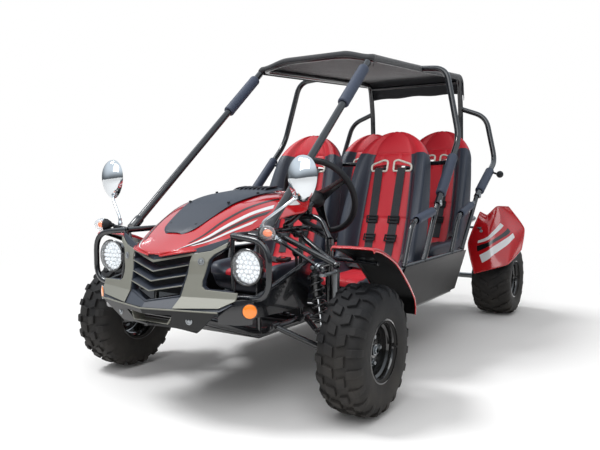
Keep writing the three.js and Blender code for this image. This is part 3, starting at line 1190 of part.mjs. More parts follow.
add_pair('rear_tyre', tyre_body(rear_wheel, rear_wheel.centre, wheelbase, rear_axle_z, true), rubber);
add_pair('rear_rim', rim_body(rear_wheel, rear_wheel.centre, wheelbase, rear_axle_z, rim_size.rear_dish,
  clear_of(axle.r, rim.sides),
  rim_size.hub_half), steel);
const front_damper = damper_parts(at(front_shock.top_x, 0, front_shock.top_z), at(front_shock.low_x, 0,
  front_shock.low_z), at(0, 1, 0));
add_pair('front_shock_body', front_damper.body, tube_black);
add_pair('front_shock_rod', front_damper.lower, chrome);
add_pair('front_spring', front_damper.spring, tube_black);
const rear_damper = damper_parts(at(0, rear_shock.top_y, rear_shock.top_z), at(0, rear_shock.low_y,
  rear_shock.low_z), at(1, 0, 0));
add('rear_shock_body', rear_damper.body, tube_black);
add('rear_shock_rod', rear_damper.lower, chrome);
add('rear_spring', rear_damper.spring, tube_black);
add('swing_arm', swing_arm_body(), tube_black);
add('rear_axle', rear_axle_body(), steel);

kart.position.y = -(front_end + rear_end) / 2;
kart.updateMatrixWorld(true);
export default kart;
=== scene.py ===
# %% [markdown]
# An off-road go-kart with two rows of seats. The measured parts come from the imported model, which is the
# fixed frame of this scene: each new piece is drawn in metres, in the same place as the part it dresses,
# and rides on the same body, so the kart still steers, rolls and rides over bumps.

# %% Load the frame
import math

import bpy
import bmesh
import numpy as np
from mathutils import Matrix, Vector, bvhtree, kdtree, noise


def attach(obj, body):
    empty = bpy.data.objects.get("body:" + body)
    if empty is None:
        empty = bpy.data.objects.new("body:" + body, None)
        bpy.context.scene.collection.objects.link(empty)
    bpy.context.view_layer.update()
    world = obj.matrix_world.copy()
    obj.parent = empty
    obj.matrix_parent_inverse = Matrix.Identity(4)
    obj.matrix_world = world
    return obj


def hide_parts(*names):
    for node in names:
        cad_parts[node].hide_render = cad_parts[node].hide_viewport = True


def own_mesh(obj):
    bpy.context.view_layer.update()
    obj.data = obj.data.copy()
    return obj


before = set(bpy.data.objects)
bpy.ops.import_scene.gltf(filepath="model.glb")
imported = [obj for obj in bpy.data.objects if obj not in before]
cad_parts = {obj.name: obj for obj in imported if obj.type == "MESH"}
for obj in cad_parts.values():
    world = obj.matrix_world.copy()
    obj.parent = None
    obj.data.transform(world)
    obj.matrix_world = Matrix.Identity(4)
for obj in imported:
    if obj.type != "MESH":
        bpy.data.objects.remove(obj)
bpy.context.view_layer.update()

# %% [markdown]
# A photograph is matched by its camera first. The place, heading and lens below were worked out from the
# wheels, lamps and roof corners, so that a piece in its measured place lands where the picture has it.

# %% The camera
CAMERA_PLACE = Vector((1.6224, -2.9938, 0.8482))
CAMERA_HEADING, CAMERA_DIP = math.radians(32.1), math.radians(3.87)
LENS_MM, SENSOR_MM = 37.71, 36.0


def link(obj):
    bpy.context.scene.collection.objects.link(obj)
    return obj


def aim(obj, place, way):
    """Stands a camera or a lamp at a place and points it along a direction."""
    obj.location = place
    obj.rotation_mode = "QUATERNION"
    obj.rotation_quaternion = Vector(way).to_track_quat("-Z", "Y")


camera_data = bpy.data.cameras.new("photo_camera")
camera_data.lens, camera_data.sensor_width = LENS_MM, SENSOR_MM
camera = link(bpy.data.objects.new("photo_camera", camera_data))
level_share = math.cos(CAMERA_DIP)
look = (-math.sin(CAMERA_HEADING) * level_share, math.cos(CAMERA_HEADING) * level_share, -math.sin(CAMERA_DIP))
aim(camera, CAMERA_PLACE, look)
bpy.context.scene.camera = camera
print("camera looks along", tuple(round(v, 3) for v in look))

# %% [markdown]
# Every finish and every Geometry Nodes tree is a handful of nodes with links between them. Three small
# helpers keep that short: one feeds a socket, one adds a node with its settings and inputs, and one starts
# a group with named sockets.

# %% Node helpers
VECTOR, FLOAT, COLOUR, GEOMETRY = ("NodeSocket" + kind for kind in ("Vector", "Float", "Color", "Geometry"))


def feed(tree, socket, value):
    """Gives a socket a plain value, or a link from another node's output."""
    if isinstance(value, bpy.types.NodeSocket):
        tree.links.new(value, socket)
    else:
        socket.default_value = value


def add_node(tree, kind, inputs=None, **settings):
    """A node with its settings made first, then its inputs by name or number."""
    node = tree.nodes.new(kind)
    for label, value in settings.items():
        setattr(node, label, value)
    for key, value in (inputs or {}).items():
        feed(tree, node.inputs[key], value)
    return node


def node_group(name, kind, inputs, outputs):
    """A group with named sockets, and the sockets that its inside reads from and writes to."""
    group = bpy.data.node_groups.new(name, kind)
    for label, socket_type, *value in inputs:
        socket = group.interface.new_socket(name=label, in_out="INPUT", socket_type=socket_type)
        if value:
            socket.default_value = value[0]
    for label, socket_type in outputs:
        group.interface.new_socket(name=label, in_out="OUTPUT", socket_type=socket_type)
    return group, add_node(group, "NodeGroupInput").outputs, add_node(group, "NodeGroupOutput").inputs


def maths(tree, kind, first, second):
    return add_node(tree, "ShaderNodeMath", {0: first, 1: second}, operation=kind).outputs[0]


def mix_colour(tree, factor, first, second):
    return add_node(tree, "ShaderNodeMix", {0: factor, 6: first, 7: second}, data_type="RGBA").outputs[2]


def map_range(tree, value, low, high, eased=None):
    """Maps a value to a range; eased gives the ends of an input range with soft corners."""
    ends = dict(zip(("From Min", "From Max"), eased or (0.0, 1.0)))
    kind = "SMOOTHSTEP" if eased else "LINEAR"
    inputs = {"Value": value, "To Min": low, "To Max": high, **ends}
    return add_node(tree, "ShaderNodeMapRange", inputs, interpolation_type=kind).outputs["Result"]


def empty_tree(owner):
    owner.use_nodes = True
    owner.node_tree.nodes.clear()
    return owner.node_tree


print("node helpers ready")

# %% [markdown]
# The studio is a white floor, a white surround and two broad lamps. The camera sees the surround as plain
# white, and far out the floor fades to the same white. Glossy rays see it dark low down and bright above, so
# black tubes and chrome get a clear highlight, and the light that it throws is weaker than it looks.

# %% Floor, surround and lamps
FLOOR_HALF, FLOOR_DROP, FLOOR_GREY = 30.0, 0.002, (0.95, 0.95, 0.95, 1)
FADE_ENDS = (2.4, 5.5)
AMBIENT = 0.52
MIRRORED_LOW, MIRRORED_HIGH, MIRRORED_TINT = 0.12, 1.05, (0.84, 0.92, 1.0, 1)
HORIZON_ENDS = (-0.05, 0.6)
KEY_STRENGTH, KEY_SPREAD, KEY_WAY = 1.8, math.radians(18), (0.62, 0.3, -1.15)
TOP_POWER, TOP_SIZE, TOP_PLACE, TOP_AIM = 60, 3.0, Vector((0.9, -2.6, 3.4)), Vector((0, 0, 0.6))

floor_mesh = bpy.data.meshes.new("floor")
corners = [(x * FLOOR_HALF, y * FLOOR_HALF, 0) for x, y in ((-1, -1), (1, -1), (1, 1), (-1, 1))]
floor_mesh.from_pydata(corners, [], [(0, 1, 2, 3)])
floor = link(bpy.data.objects.new("floor", floor_mesh))
floor.location.z = -FLOOR_DROP
floor_white = bpy.data.materials.new("floor_white")
tree = empty_tree(floor_white)
place = add_node(tree, "ShaderNodeNewGeometry").outputs["Position"]
reach = add_node(tree, "ShaderNodeVectorMath", {0: place}, operation="LENGTH").outputs["Value"]
fade = map_range(tree, reach, 0.0, 1.0, eased=FADE_ENDS)
share = maths(tree, "MULTIPLY", fade, add_node(tree, "ShaderNodeLightPath").outputs["Is Camera Ray"])
matt = add_node(tree, "ShaderNodeBsdfDiffuse", {"Color": FLOOR_GREY}).outputs[0]
glow = add_node(tree, "ShaderNodeEmission").outputs[0]
add_node(tree, "ShaderNodeOutputMaterial", {
    0: add_node(tree, "ShaderNodeMixShader", {0: share, 1: matt, 2: glow}).outputs[0]})
floor_mesh.materials.append(floor_white)

world = bpy.data.worlds.new("studio")
bpy.context.scene.world = world
tree = empty_tree(world)
rays = add_node(tree, "ShaderNodeLightPath").outputs
direct = maths(tree, "MAXIMUM", rays["Is Camera Ray"], rays["Is Transmission Ray"])
upward = add_node(tree, "ShaderNodeSeparateXYZ",
                  {0: add_node(tree, "ShaderNodeTexCoord").outputs["Generated"]}).outputs["Z"]
mirrored_level = map_range(tree, upward, MIRRORED_LOW, MIRRORED_HIGH, eased=HORIZON_ENDS)
thrown = map_range(tree, rays["Is Glossy Ray"], AMBIENT, mirrored_level)
level = map_range(tree, direct, thrown, 1.0)
tint = add_node(tree, "ShaderNodeMix", {"A": (1, 1, 1, 1), "B": MIRRORED_TINT, "Factor": rays["Is Glossy Ray"]},
                data_type="RGBA")
surround = add_node(tree, "ShaderNodeBackground", {"Color": tint.outputs["Result"], "Strength": level})
add_node(tree, "ShaderNodeOutputWorld", {0: surround.outputs[0]})

key_data = bpy.data.lights.new("key", "SUN")
key_data.energy, key_data.angle = KEY_STRENGTH, KEY_SPREAD
aim(link(bpy.data.objects.new("key", key_data)), (0, 0, 0), KEY_WAY)
top_data = bpy.data.lights.new("top", "AREA")
top_data.energy, top_data.size = TOP_POWER, TOP_SIZE
aim(link(bpy.data.objects.new("top", top_data)), TOP_PLACE, TOP_AIM - TOP_PLACE)
bpy.context.scene.view_settings.view_transform = "Standard"
print("lamps:", key_data.name, top_data.name)

# %% [markdown]
# Effects that many finishes share are node groups: a fine grain with slow patches of colour, a woven
# pattern, and the dust that gathers low down on a vehicle. Each is built once and placed in a material
# with its own values, as a painter reuses one sponge.

# %% Shared shader groups
GRAIN, given, result = node_group("grain_and_patches", "ShaderNodeTree", [
    ("Vector", VECTOR), ("Grain Scale", FLOAT, 900.0), ("Patch Scale", FLOAT, 5.0), ("Colour", COLOUR),
    ("Patch Colour", COLOUR), ("Roughness Low", FLOAT, 0.3), ("Roughness High", FLOAT, 0.4)],
                                  [("Colour", COLOUR), ("Roughness", FLOAT), ("Height", FLOAT)])
grain, patch = (add_node(GRAIN, "ShaderNodeTexNoise",
                         {"Detail": detail, "Vector": given["Vector"], "Scale": given[scale]}).outputs["Fac"]
                for detail, scale in ((3, "Grain Scale"), (4, "Patch Scale")))
feed(GRAIN, result["Colour"], mix_colour(GRAIN, patch, given["Colour"], given["Patch Colour"]))
feed(GRAIN, result["Roughness"], map_range(GRAIN, patch, given["Roughness Low"], given["Roughness High"]))
feed(GRAIN, result["Height"], grain)

WEAVE, given, result = node_group("woven_threads", "ShaderNodeTree",
                                  [("Vector", VECTOR), ("Thread Scale", FLOAT, 300.0)],
                                  [("Height", FLOAT), ("Shade", FLOAT)])
wave = {"Distortion": 0.4, "Vector": given["Vector"], "Scale": given["Thread Scale"]}
threads = [add_node(WEAVE, "ShaderNodeTexWave", wave, bands_direction=direction).outputs["Fac"]
           for direction in ("X", "Y")]
feed(WEAVE, result["Height"], maths(WEAVE, "MAXIMUM", *threads))
feed(WEAVE, result["Shade"], maths(WEAVE, "MULTIPLY", *threads))

DUST, given, result = node_group("road_dust", "ShaderNodeTree",
                                 [("Vector", VECTOR), ("Top Height", FLOAT, 0.5), ("Amount", FLOAT, 0.25)],
                                 [("Mask", FLOAT)])
height = add_node(DUST, "ShaderNodeSeparateXYZ", {0: given["Vector"]}).outputs["Z"]
fade = add_node(DUST, "ShaderNodeMapRange", {"Value": height, "From Min": 0.0, "From Max": given["Top Height"],
                                             "To Min": 1.0, "To Max": 0.0})
cloud = add_node(DUST, "ShaderNodeTexNoise", {"Scale": 14, "Detail": 5, "Vector": given["Vector"]})
soft = maths(DUST, "MULTIPLY", fade.outputs["Result"], cloud.outputs["Fac"])
feed(DUST, result["Mask"], maths(DUST, "MULTIPLY", soft, given["Amount"]))
print("shader groups:", GRAIN.name, WEAVE.name, DUST.name)

# %% [markdown]
# One function lays out every finish: a Principled shader fed by the grain group, with dust mixed over the
# colour low on the kart. A colour is a given screen code, which rgb turns into linear light.

# %% The finishes
DUST_COLOUR = (0.3, 0.26, 0.21, 1)
COAT_ROUGHNESS, GRAIN_DEPTH = 0.06, 0.001


def rgb(code):
    parts = [int(code[k:k + 2], 16) / 255 for k in (0, 2, 4)]
    return tuple([v / 12.92 if v <= 0.04045 else ((v + 0.055) / 1.055) ** 2.4 for v in parts] + [1.0])


def add_bump(tree, shader, height, strength, depth):
    relief = add_node(tree, "ShaderNodeBump", {"Strength": strength, "Distance": depth, "Height": height})
    feed(tree, shader.inputs["Normal"], relief.outputs[0])


def finish(name, colour, patch_colour, rough=(0.3, 0.4), metal=0.0, coat=0.0, grain=900.0, bump=0.1, dust=0.15,
           emission=None, shine=0.5):
    material = bpy.data.materials.new(name)
    tree = empty_tree(material)
    where = add_node(tree, "ShaderNodeTexCoord").outputs["Object"]
    surface = add_node(tree, "ShaderNodeGroup", {
        "Vector": where, "Grain Scale": grain, "Patch Scale": 5.0, "Colour": rgb(colour),
        "Patch Colour": rgb(patch_colour), "Roughness Low": rough[0], "Roughness High": rough[1]},
                       node_tree=GRAIN).outputs
    dirt = add_node(tree, "ShaderNodeGroup", {"Vector": where, "Top Height": 0.5, "Amount": dust},
                    node_tree=DUST).outputs["Mask"]
    shader = add_node(tree, "ShaderNodeBsdfPrincipled", {
        "Base Color": mix_colour(tree, dirt, surface["Colour"], DUST_COLOUR), "Roughness": surface["Roughness"],
        "Metallic": metal, "Specular IOR Level": shine, "Coat Weight": coat, "Coat Roughness": COAT_ROUGHNESS})
    if bump:
        add_bump(tree, shader, surface["Height"], bump, GRAIN_DEPTH)
    if emission:
        shader.inputs["Emission Color"].default_value = rgb(emission[0])
        shader.inputs["Emission Strength"].default_value = emission[1]
    add_node(tree, "ShaderNodeOutputMaterial", {0: shader.outputs[0]})
    return material


frame_black = finish("frame_gloss_black", "0a0c10", "13161c", (0.16, 0.26), coat=0.6, bump=0.03, grain=500,
                     dust=0.1)
foam_slate = finish("foam_sleeve", "2a3242", "394256", (0.45, 0.62), bump=0.25, grain=1600)
panel_black = finish("pressed_sheet_black", "050608", "0b0c0f", (0.24, 0.36), bump=0.05, dust=0.08, shine=0.25)
gloss_red = finish("gloss_red_shell", "b4060f", "c00c16", (0.12, 0.2), coat=0.9, bump=0.02, grain=300)
silver_plastic = finish("warm_silver_plastic", "74746b", "7f7f76", (0.38, 0.5), metal=0.15, bump=0.06, dust=0.1)
slate_plastic = finish("slate_plastic", "232934", "2c333f", (0.42, 0.55), bump=0.14, grain=1500, dust=0.1)
rubber_black = finish("tyre_rubber", "0d0e11", "17191d", (0.6, 0.78), bump=0.3, grain=700, dust=0.22, shine=0.25)
rim_black = finish("rim_gloss_black", "060709", "0c0d10", (0.1, 0.18), coat=0.8, bump=0.02, dust=0.1)
chrome = finish("chrome", "dfe3e6", "d3d7da", (0.05, 0.09), metal=1.0, bump=0.0, dust=0.0)
zinc = finish("zinc_bolts", "a9adb0", "8f9396", (0.25, 0.4), metal=1.0, bump=0.1, grain=1200, dust=0.1)
cast_alloy = finish("cast_alloy", "84878a", "999c9e", (0.4, 0.58), metal=0.85, bump=0.4, grain=420, dust=0.25)
spring_black = finish("spring_paint", "0b0c0f", "15171b", (0.2, 0.3), coat=0.5, bump=0.03)
grip_black = finish("grip_rubber", "101114", "1a1c20", (0.5, 0.65), bump=0.35, grain=1400, shine=0.3)
# The amber glows a little by emission. On the rear lamp lenses that is a lamp's glow; on the reflector domes, which
# are no lamps, it is a painted glow.
amber = finish("amber_reflector", "f07a10", "ff9322", (0.12, 0.2), coat=1.0, bump=0.0, emission=("ff7a10", 0.12))
white_plastic = finish("slot_frame_cream", "dcdad0", "e8e6dc", (0.35, 0.45), bump=0.05)
bolster_black = finish("seat_bolster_vinyl", "262c38", "323a48", (0.36, 0.5), bump=0.35, grain=650)
seat_red = finish("seat_centre_vinyl", "c81c2c", "d42a38", (0.4, 0.52), bump=0.32, grain=650)
decal_white = finish("printed_white", "d9dadc", "e6e7e9", (0.16, 0.24), coat=0.8, bump=0.02, dust=0.06)
decal_black = finish("printed_black", "0a0b0d", "111316", (0.16, 0.24), coat=0.8, bump=0.02, dust=0.06)
chin_black = finish("chin_plastic", "08090b", "0e0f12", (0.34, 0.46), bump=0.1, grain=1500, dust=0.06, shine=0.3)
print("finishes:", len(bpy.data.materials))

# %% [markdown]
# Most of a kart is bent tube, so the first helper sweeps a circle along a route whose corners are rounded
# as a tube bender rounds them. The others turn a profile about an axis, push an outline through a
# thickness and skin a row of sections. Each returns points and faces, so that many parts can be one mesh.

# %% Mesh helpers
TUBE_SIDES, BEND_STEPS, LEG_SHARE = 20, 7, 0.45
BEVEL_FROM, SAME_POINT = math.radians(28), 0.00002


class Shape:
    """Points and faces that grow part by part; each part is a pair of points and faces."""

    def __init__(self, *parts):
        self.points, self.faces, self.kinds = [], [], []
        for part in parts:
            self.add(part)

    def add(self, part):
        points, faces = part
        first = len(self.points)
        self.points += [tuple(p) for p in points]
        self.faces += [tuple(first + k for k in face) for face in faces]
        self.kinds += [0] * len(faces)
        return self

    def both_sides(self, part):
        points, faces = part
        return self.add(part).add((mirrored(points), [tuple(reversed(face)) for face in faces]))


def mirrored(points):
    return [(-x, y, z) for x, y, z in (tuple(p) for p in points)]


def piece(name, shape, *materials, angle=35, bevel=0.0, bevel_steps=2):
    """A shape as an object with its finishes, smooth up to an angle, with its edges rounded by a bevel."""
    mesh = bpy.data.meshes.new(name)
    mesh.from_pydata(shape.points, [], shape.faces)
    for material in materials:
        mesh.materials.append(material)
    mesh.polygons.foreach_set("material_index", shape.kinds)
    work = bmesh.new()
    work.from_mesh(mesh)
    bmesh.ops.remove_doubles(work, verts=work.verts, dist=SAME_POINT)
    bmesh.ops.recalc_face_normals(work, faces=work.faces)
    work.to_mesh(mesh)
    work.free()
    mesh.shade_smooth()
    obj = link(bpy.data.objects.new(name, mesh))
    if bevel:
        round_edges(obj, bevel, bevel_steps, BEVEL_FROM)
        settle(obj)
    obj.data.set_sharp_from_angle(angle=math.radians(angle))
    return obj


def round_edges(obj, width, steps, sharper_than):
    """A bevel on the edges that are sharper than an angle."""
    edge = obj.modifiers.new("rounded_edges", "BEVEL")
    edge.width, edge.segments, edge.limit_method, edge.angle_limit = width, steps, "ANGLE", sharper_than
    return edge


def settle(obj):
    """Turns an object's modifiers into its mesh."""
    graph = bpy.context.evaluated_depsgraph_get()
    mesh = bpy.data.meshes.new_from_object(obj.evaluated_get(graph))
    obj.modifiers.clear()
    obj.data = mesh
    mesh.name = obj.name
    mesh.shade_smooth()
    return obj


def cut_with(obj, cutter, operation):
    cut = obj.modifiers.new("cut", "BOOLEAN")
    cut.operation, cut.solver, cut.object = operation, "EXACT", cutter
    settle(obj)
    bpy.data.objects.remove(cutter)


def rides(obj, body, slot, *nodes):
    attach(obj, body)
    if nodes:
        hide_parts(*nodes)
    return obj


def rounded(points, bend, steps=BEND_STEPS):
    """The route's points with each corner turned into a short curve."""
    line = [Vector(p) for p in points]
    route = [line[0]]
    for before, corner, after in zip(line, line[1:], line[2:]):
        back, ahead = before - corner, after - corner
        reach = min(bend, back.length * LEG_SHARE, ahead.length * LEG_SHARE)
        start, end = corner + back.normalized() * reach, corner + ahead.normalized() * reach
        for k in range(steps + 1):
            t = k / steps
            route.append(start.lerp(corner, t).lerp(corner.lerp(end, t), t))
    route.append(line[-1])
    return route


def sweep(points, radius, bend=0.0, sides=TUBE_SIDES, closed=False, flat=1.0, up=None):
    """A round or, with flat below 1, an oval section along a route."""
    route = rounded(points, bend) if bend else [Vector(p) for p in points]
    count = len(route)
    tangents = []
    for k in range(count):
        before = route[k - 1] if (k or closed) else route[0]
        after = route[(k + 1) % count] if (k < count - 1 or closed) else route[-1]
        tangents.append((after - before).normalized())
    side = Vector(up).cross(tangents[0]) if up else tangents[0].orthogonal()
    side.normalize()
    verts, faces = [], []
    for k, (place, way) in enumerate(zip(route, tangents)):
        side = (side - way * side.dot(way)).normalized()
        other = way.cross(side)
        for j in range(sides):
            turn = 2 * math.pi * j / sides
            verts.append(place + side * (radius * math.cos(turn)) + other * (radius * flat * math.sin(turn)))
    spans = count if closed else count - 1
    for i in range(spans):
        for j in range(sides):
            k = (j + 1) % sides
            here, there = i * sides, ((i + 1) % count) * sides
            faces.append((here + j, here + k, there + k, there + j))
    if not closed:
        faces.append(tuple(reversed(range(sides))))
        faces.append(tuple(range((count - 1) * sides, count * sides)))
    return verts, faces


def frame_of(way):
    way = Vector(way).normalized()
    side = way.orthogonal().normalized()
    if abs(way.x) > 0.99:
        side = Vector((0, 1, 0))
    return side, way.cross(side), way


def lathe(profile, origin, way, sides=48, closed=None):
    """Turns (along, radius) pairs about an axis into a ring, or a capped solid where the line meets the axis."""
    if closed is None:
        closed = profile[0][1] > 0 and profile[-1][1] > 0
    side, other, way = frame_of(way)
    origin = Vector(origin)
    verts, faces = [], []
    count = len(profile)
    for j in range(sides):
        turn = 2 * math.pi * j / sides
        out = side * math.cos(turn) + other * math.sin(turn)
        verts += [origin + way * along + out * radius for along, radius in profile]
    spans = count if closed else count - 1
    for j in range(sides):
        here, there = j * count, ((j + 1) % sides) * count
        for i in range(spans):
            k = (i + 1) % count
            faces.append((here + i, here + k, there + k, there + i))
    if not closed:
        faces.append(tuple(j * count for j in reversed(range(sides))))
        faces.append(tuple(j * count + count - 1 for j in range(sides)))
    return verts, faces


def drum(origin, way, radius, length, edge=0.0015, sides=32):
    """A solid round part with softened ends, centred on its origin."""
    half = length / 2
    profile = [(-half, radius - edge), (-half + edge, radius), (half - edge, radius), (half, radius - edge)]
    return lathe(profile, origin, way, sides, closed=False)


def skin(rings, closed=False, caps=True):
    """Faces over rows of points that have equal counts."""
    count = len(rings[0])
    verts = [Vector(p) for ring in rings for p in ring]
    faces = []
    spans = len(rings) if closed else len(rings) - 1
    for i in range(spans):
        here, there = i * count, ((i + 1) % len(rings)) * count
        for j in range(count):
            k = (j + 1) % count
            faces.append((here + j, here + k, there + k, there + j))
    if caps and not closed:
        faces.append(tuple(reversed(range(count))))
        faces.append(tuple(range((len(rings) - 1) * count, len(rings) * count)))
    return verts, faces


def grid(rows, skip=None):
    """Faces between rows of points; skip leaves cells open."""
    wide = len(rows[0])
    cells = [(j * wide + i, j * wide + i + 1, (j + 1) * wide + i + 1, (j + 1) * wide + i)
             for j in range(len(rows) - 1) for i in range(wide - 1) if not (skip and skip(i, j))]
    return [p for row in rows for p in row], cells


def slab(outline, axis, low, high):
    """A flat outline pushed along x, y or z."""
    order = {"x": lambda a, b, c: (c, a, b), "y": lambda a, b, c: (a, c, b), "z": lambda a, b, c: (a, b, c)}[axis]
    return skin([[order(a, b, low) for a, b in outline], [order(a, b, high) for a, b in outline]])


def bolt(place, way, radius=0.008, head=0.006, sides=24):
    """A hexagon bolt head on its washer, seated at a point and facing along a direction."""
    verts, faces = lathe([(0, radius * 1.35), (head * 0.3, radius * 1.35), (head * 0.3, radius * 1.3)], place, way,
                         sides, closed=False)
    side, other, way = frame_of(way)
    first = len(verts)
    for along, size in ((head * 0.3, 1.0), (head * 0.85, 1.0), (head, 0.86)):
        for k in range(6):
            turn = math.pi / 3 * k
            verts.append(Vector(place) + way * along + (
                side * math.cos(turn) + other * math.sin(turn)) * radius * size)
    for ring in (0, 1):
        for k in range(6):
            j = (k + 1) % 6
            faces.append((first + ring * 6 + k, first + ring * 6 + j, first + ring * 6 + 6 + j,
                          first + ring * 6 + 6 + k))
    faces.append(tuple(first + 12 + k for k in range(6)))
    faces.append(tuple(first + k for k in reversed(range(6))))
    return verts, faces


def between(rows, v, pull=0.42):
    """Reads a table between its rows, by a smooth curve through them."""
    last = len(rows) - 1
    k = min(int(v), last - 1)
    t = v - k
    four = [rows[min(max(k + d, 0), last)] for d in (-1, 0, 1, 2)]
    values = []
    for a, b, c, d in zip(*four):
        start, end = (c - a) * pull, (d - b) * pull
        values.append((2 * t ** 3 - 3 * t ** 2 + 1) * b + (t ** 3 - 2 * t ** 2 + t) * start
                      + (3 * t ** 2 - 2 * t ** 3) * c + (t ** 3 - t ** 2) * end)
    return values


print("helpers ready")

# %% [markdown]
# What repeats round an axis or in a row, such as tyre lugs, wheel nuts, cooling fins or louvres, is one
# drawn unit and a Geometry Nodes tree that copies it. The unit's own mesh goes in, and the tree turns or
# steps the copies, makes them real and gives them their material, because an export keeps no instances.

# %% Geometry Nodes that repeat a unit
AXES = {"x": (1.0, 0.0, 0.0), "y": (0.0, 1.0, 0.0), "z": (0.0, 0.0, 1.0)}


def repeat_sockets(first, *rest):
    return [(first, GEOMETRY), *rest, ("Material", "NodeSocketMaterial")], [("Result", GEOMETRY)]


def made_real(tree, copies, given, result):
    """Makes a tree's copies real and paints them, because an export keeps no instances."""
    real = add_node(tree, "GeometryNodeRealizeInstances", {0: copies.outputs[0]})
    paint = add_node(tree, "GeometryNodeSetMaterial", {"Geometry": real.outputs[0], "Material": given["Material"]})
    feed(tree, result[0], paint.outputs[0])


def run_tree(obj, tree, values):
    """Runs a Geometry Nodes tree on an object, its inputs set by name, and keeps the result as its mesh."""
    modifier = obj.modifiers.new(tree.name, "NODES")
    modifier.node_group = tree
    ids = {item.name: item.identifier for item in tree.interface.items_tree if item.in_out == "INPUT"}
    for label, value in values.items():
        modifier[ids[label]] = value
    return settle(obj)


REPEAT, given, result = node_group("repeat_a_unit", "GeometryNodeTree", *repeat_sockets(
    "Unit", ("Count", "NodeSocketInt"), ("Centre", VECTOR), ("Axis", VECTOR), ("Turn", FLOAT), ("Step", VECTOR)))
back = add_node(REPEAT, "ShaderNodeVectorMath", {0: given["Centre"], "Scale": -1.0}, operation="SCALE").outputs[0]
unit = add_node(REPEAT, "GeometryNodeTransform", {"Geometry": given["Unit"], "Translation": back}).outputs[0]
index = add_node(REPEAT, "GeometryNodeInputIndex").outputs[0]
shift = add_node(REPEAT, "ShaderNodeVectorMath", {0: given["Step"], "Scale": index}, operation="SCALE").outputs[0]
spot = add_node(REPEAT, "ShaderNodeVectorMath", {0: given["Centre"], 1: shift}, operation="ADD").outputs[0]
points = add_node(REPEAT, "GeometryNodePoints", {"Count": given["Count"], "Position": spot}).outputs[0]
angle = maths(REPEAT, "MULTIPLY", index, given["Turn"])
spin = add_node(REPEAT, "FunctionNodeAxisAngleToRotation", {"Axis": given["Axis"], "Angle": angle}).outputs[0]
copies = add_node(REPEAT, "GeometryNodeInstanceOnPoints", {"Points": points, "Instance": unit, "Rotation": spin})
made_real(REPEAT, copies, given, result)


def repeated(name, shape, material, count, centre=(0, 0, 0), axis="x", step=(0, 0, 0), angle=35):
    """Copies a unit evenly round an axis through a centre, or else by a step, as one plain mesh object."""
    turn = 0.0 if any(step) else 2 * math.pi / count
    obj = run_tree(piece(name, shape, material, angle=angle), REPEAT, {
        "Count": count, "Centre": tuple(centre), "Axis": AXES[axis], "Turn": turn, "Step": tuple(step),
        "Material": material})
    obj.data.set_sharp_from_angle(angle=math.radians(angle))
    return obj


def merged(name, objects):
    """Several finished pieces as one object that keeps each one's material."""
    keep = objects[0]
    with bpy.context.temp_override(active_object=keep, object=keep, selected_objects=objects,
                                   selected_editable_objects=objects):
        bpy.ops.object.join()
    keep.name = keep.data.name = name
    return keep


print("repeat tree:", REPEAT.name, "with", len(REPEAT.nodes), "nodes")

# %% [markdown]
# The real frame is round tube, bent cold and welded. The measured model draws each tube with few sides,
# so here the same routes are swept again as full round tube with the bends of a tube bender.

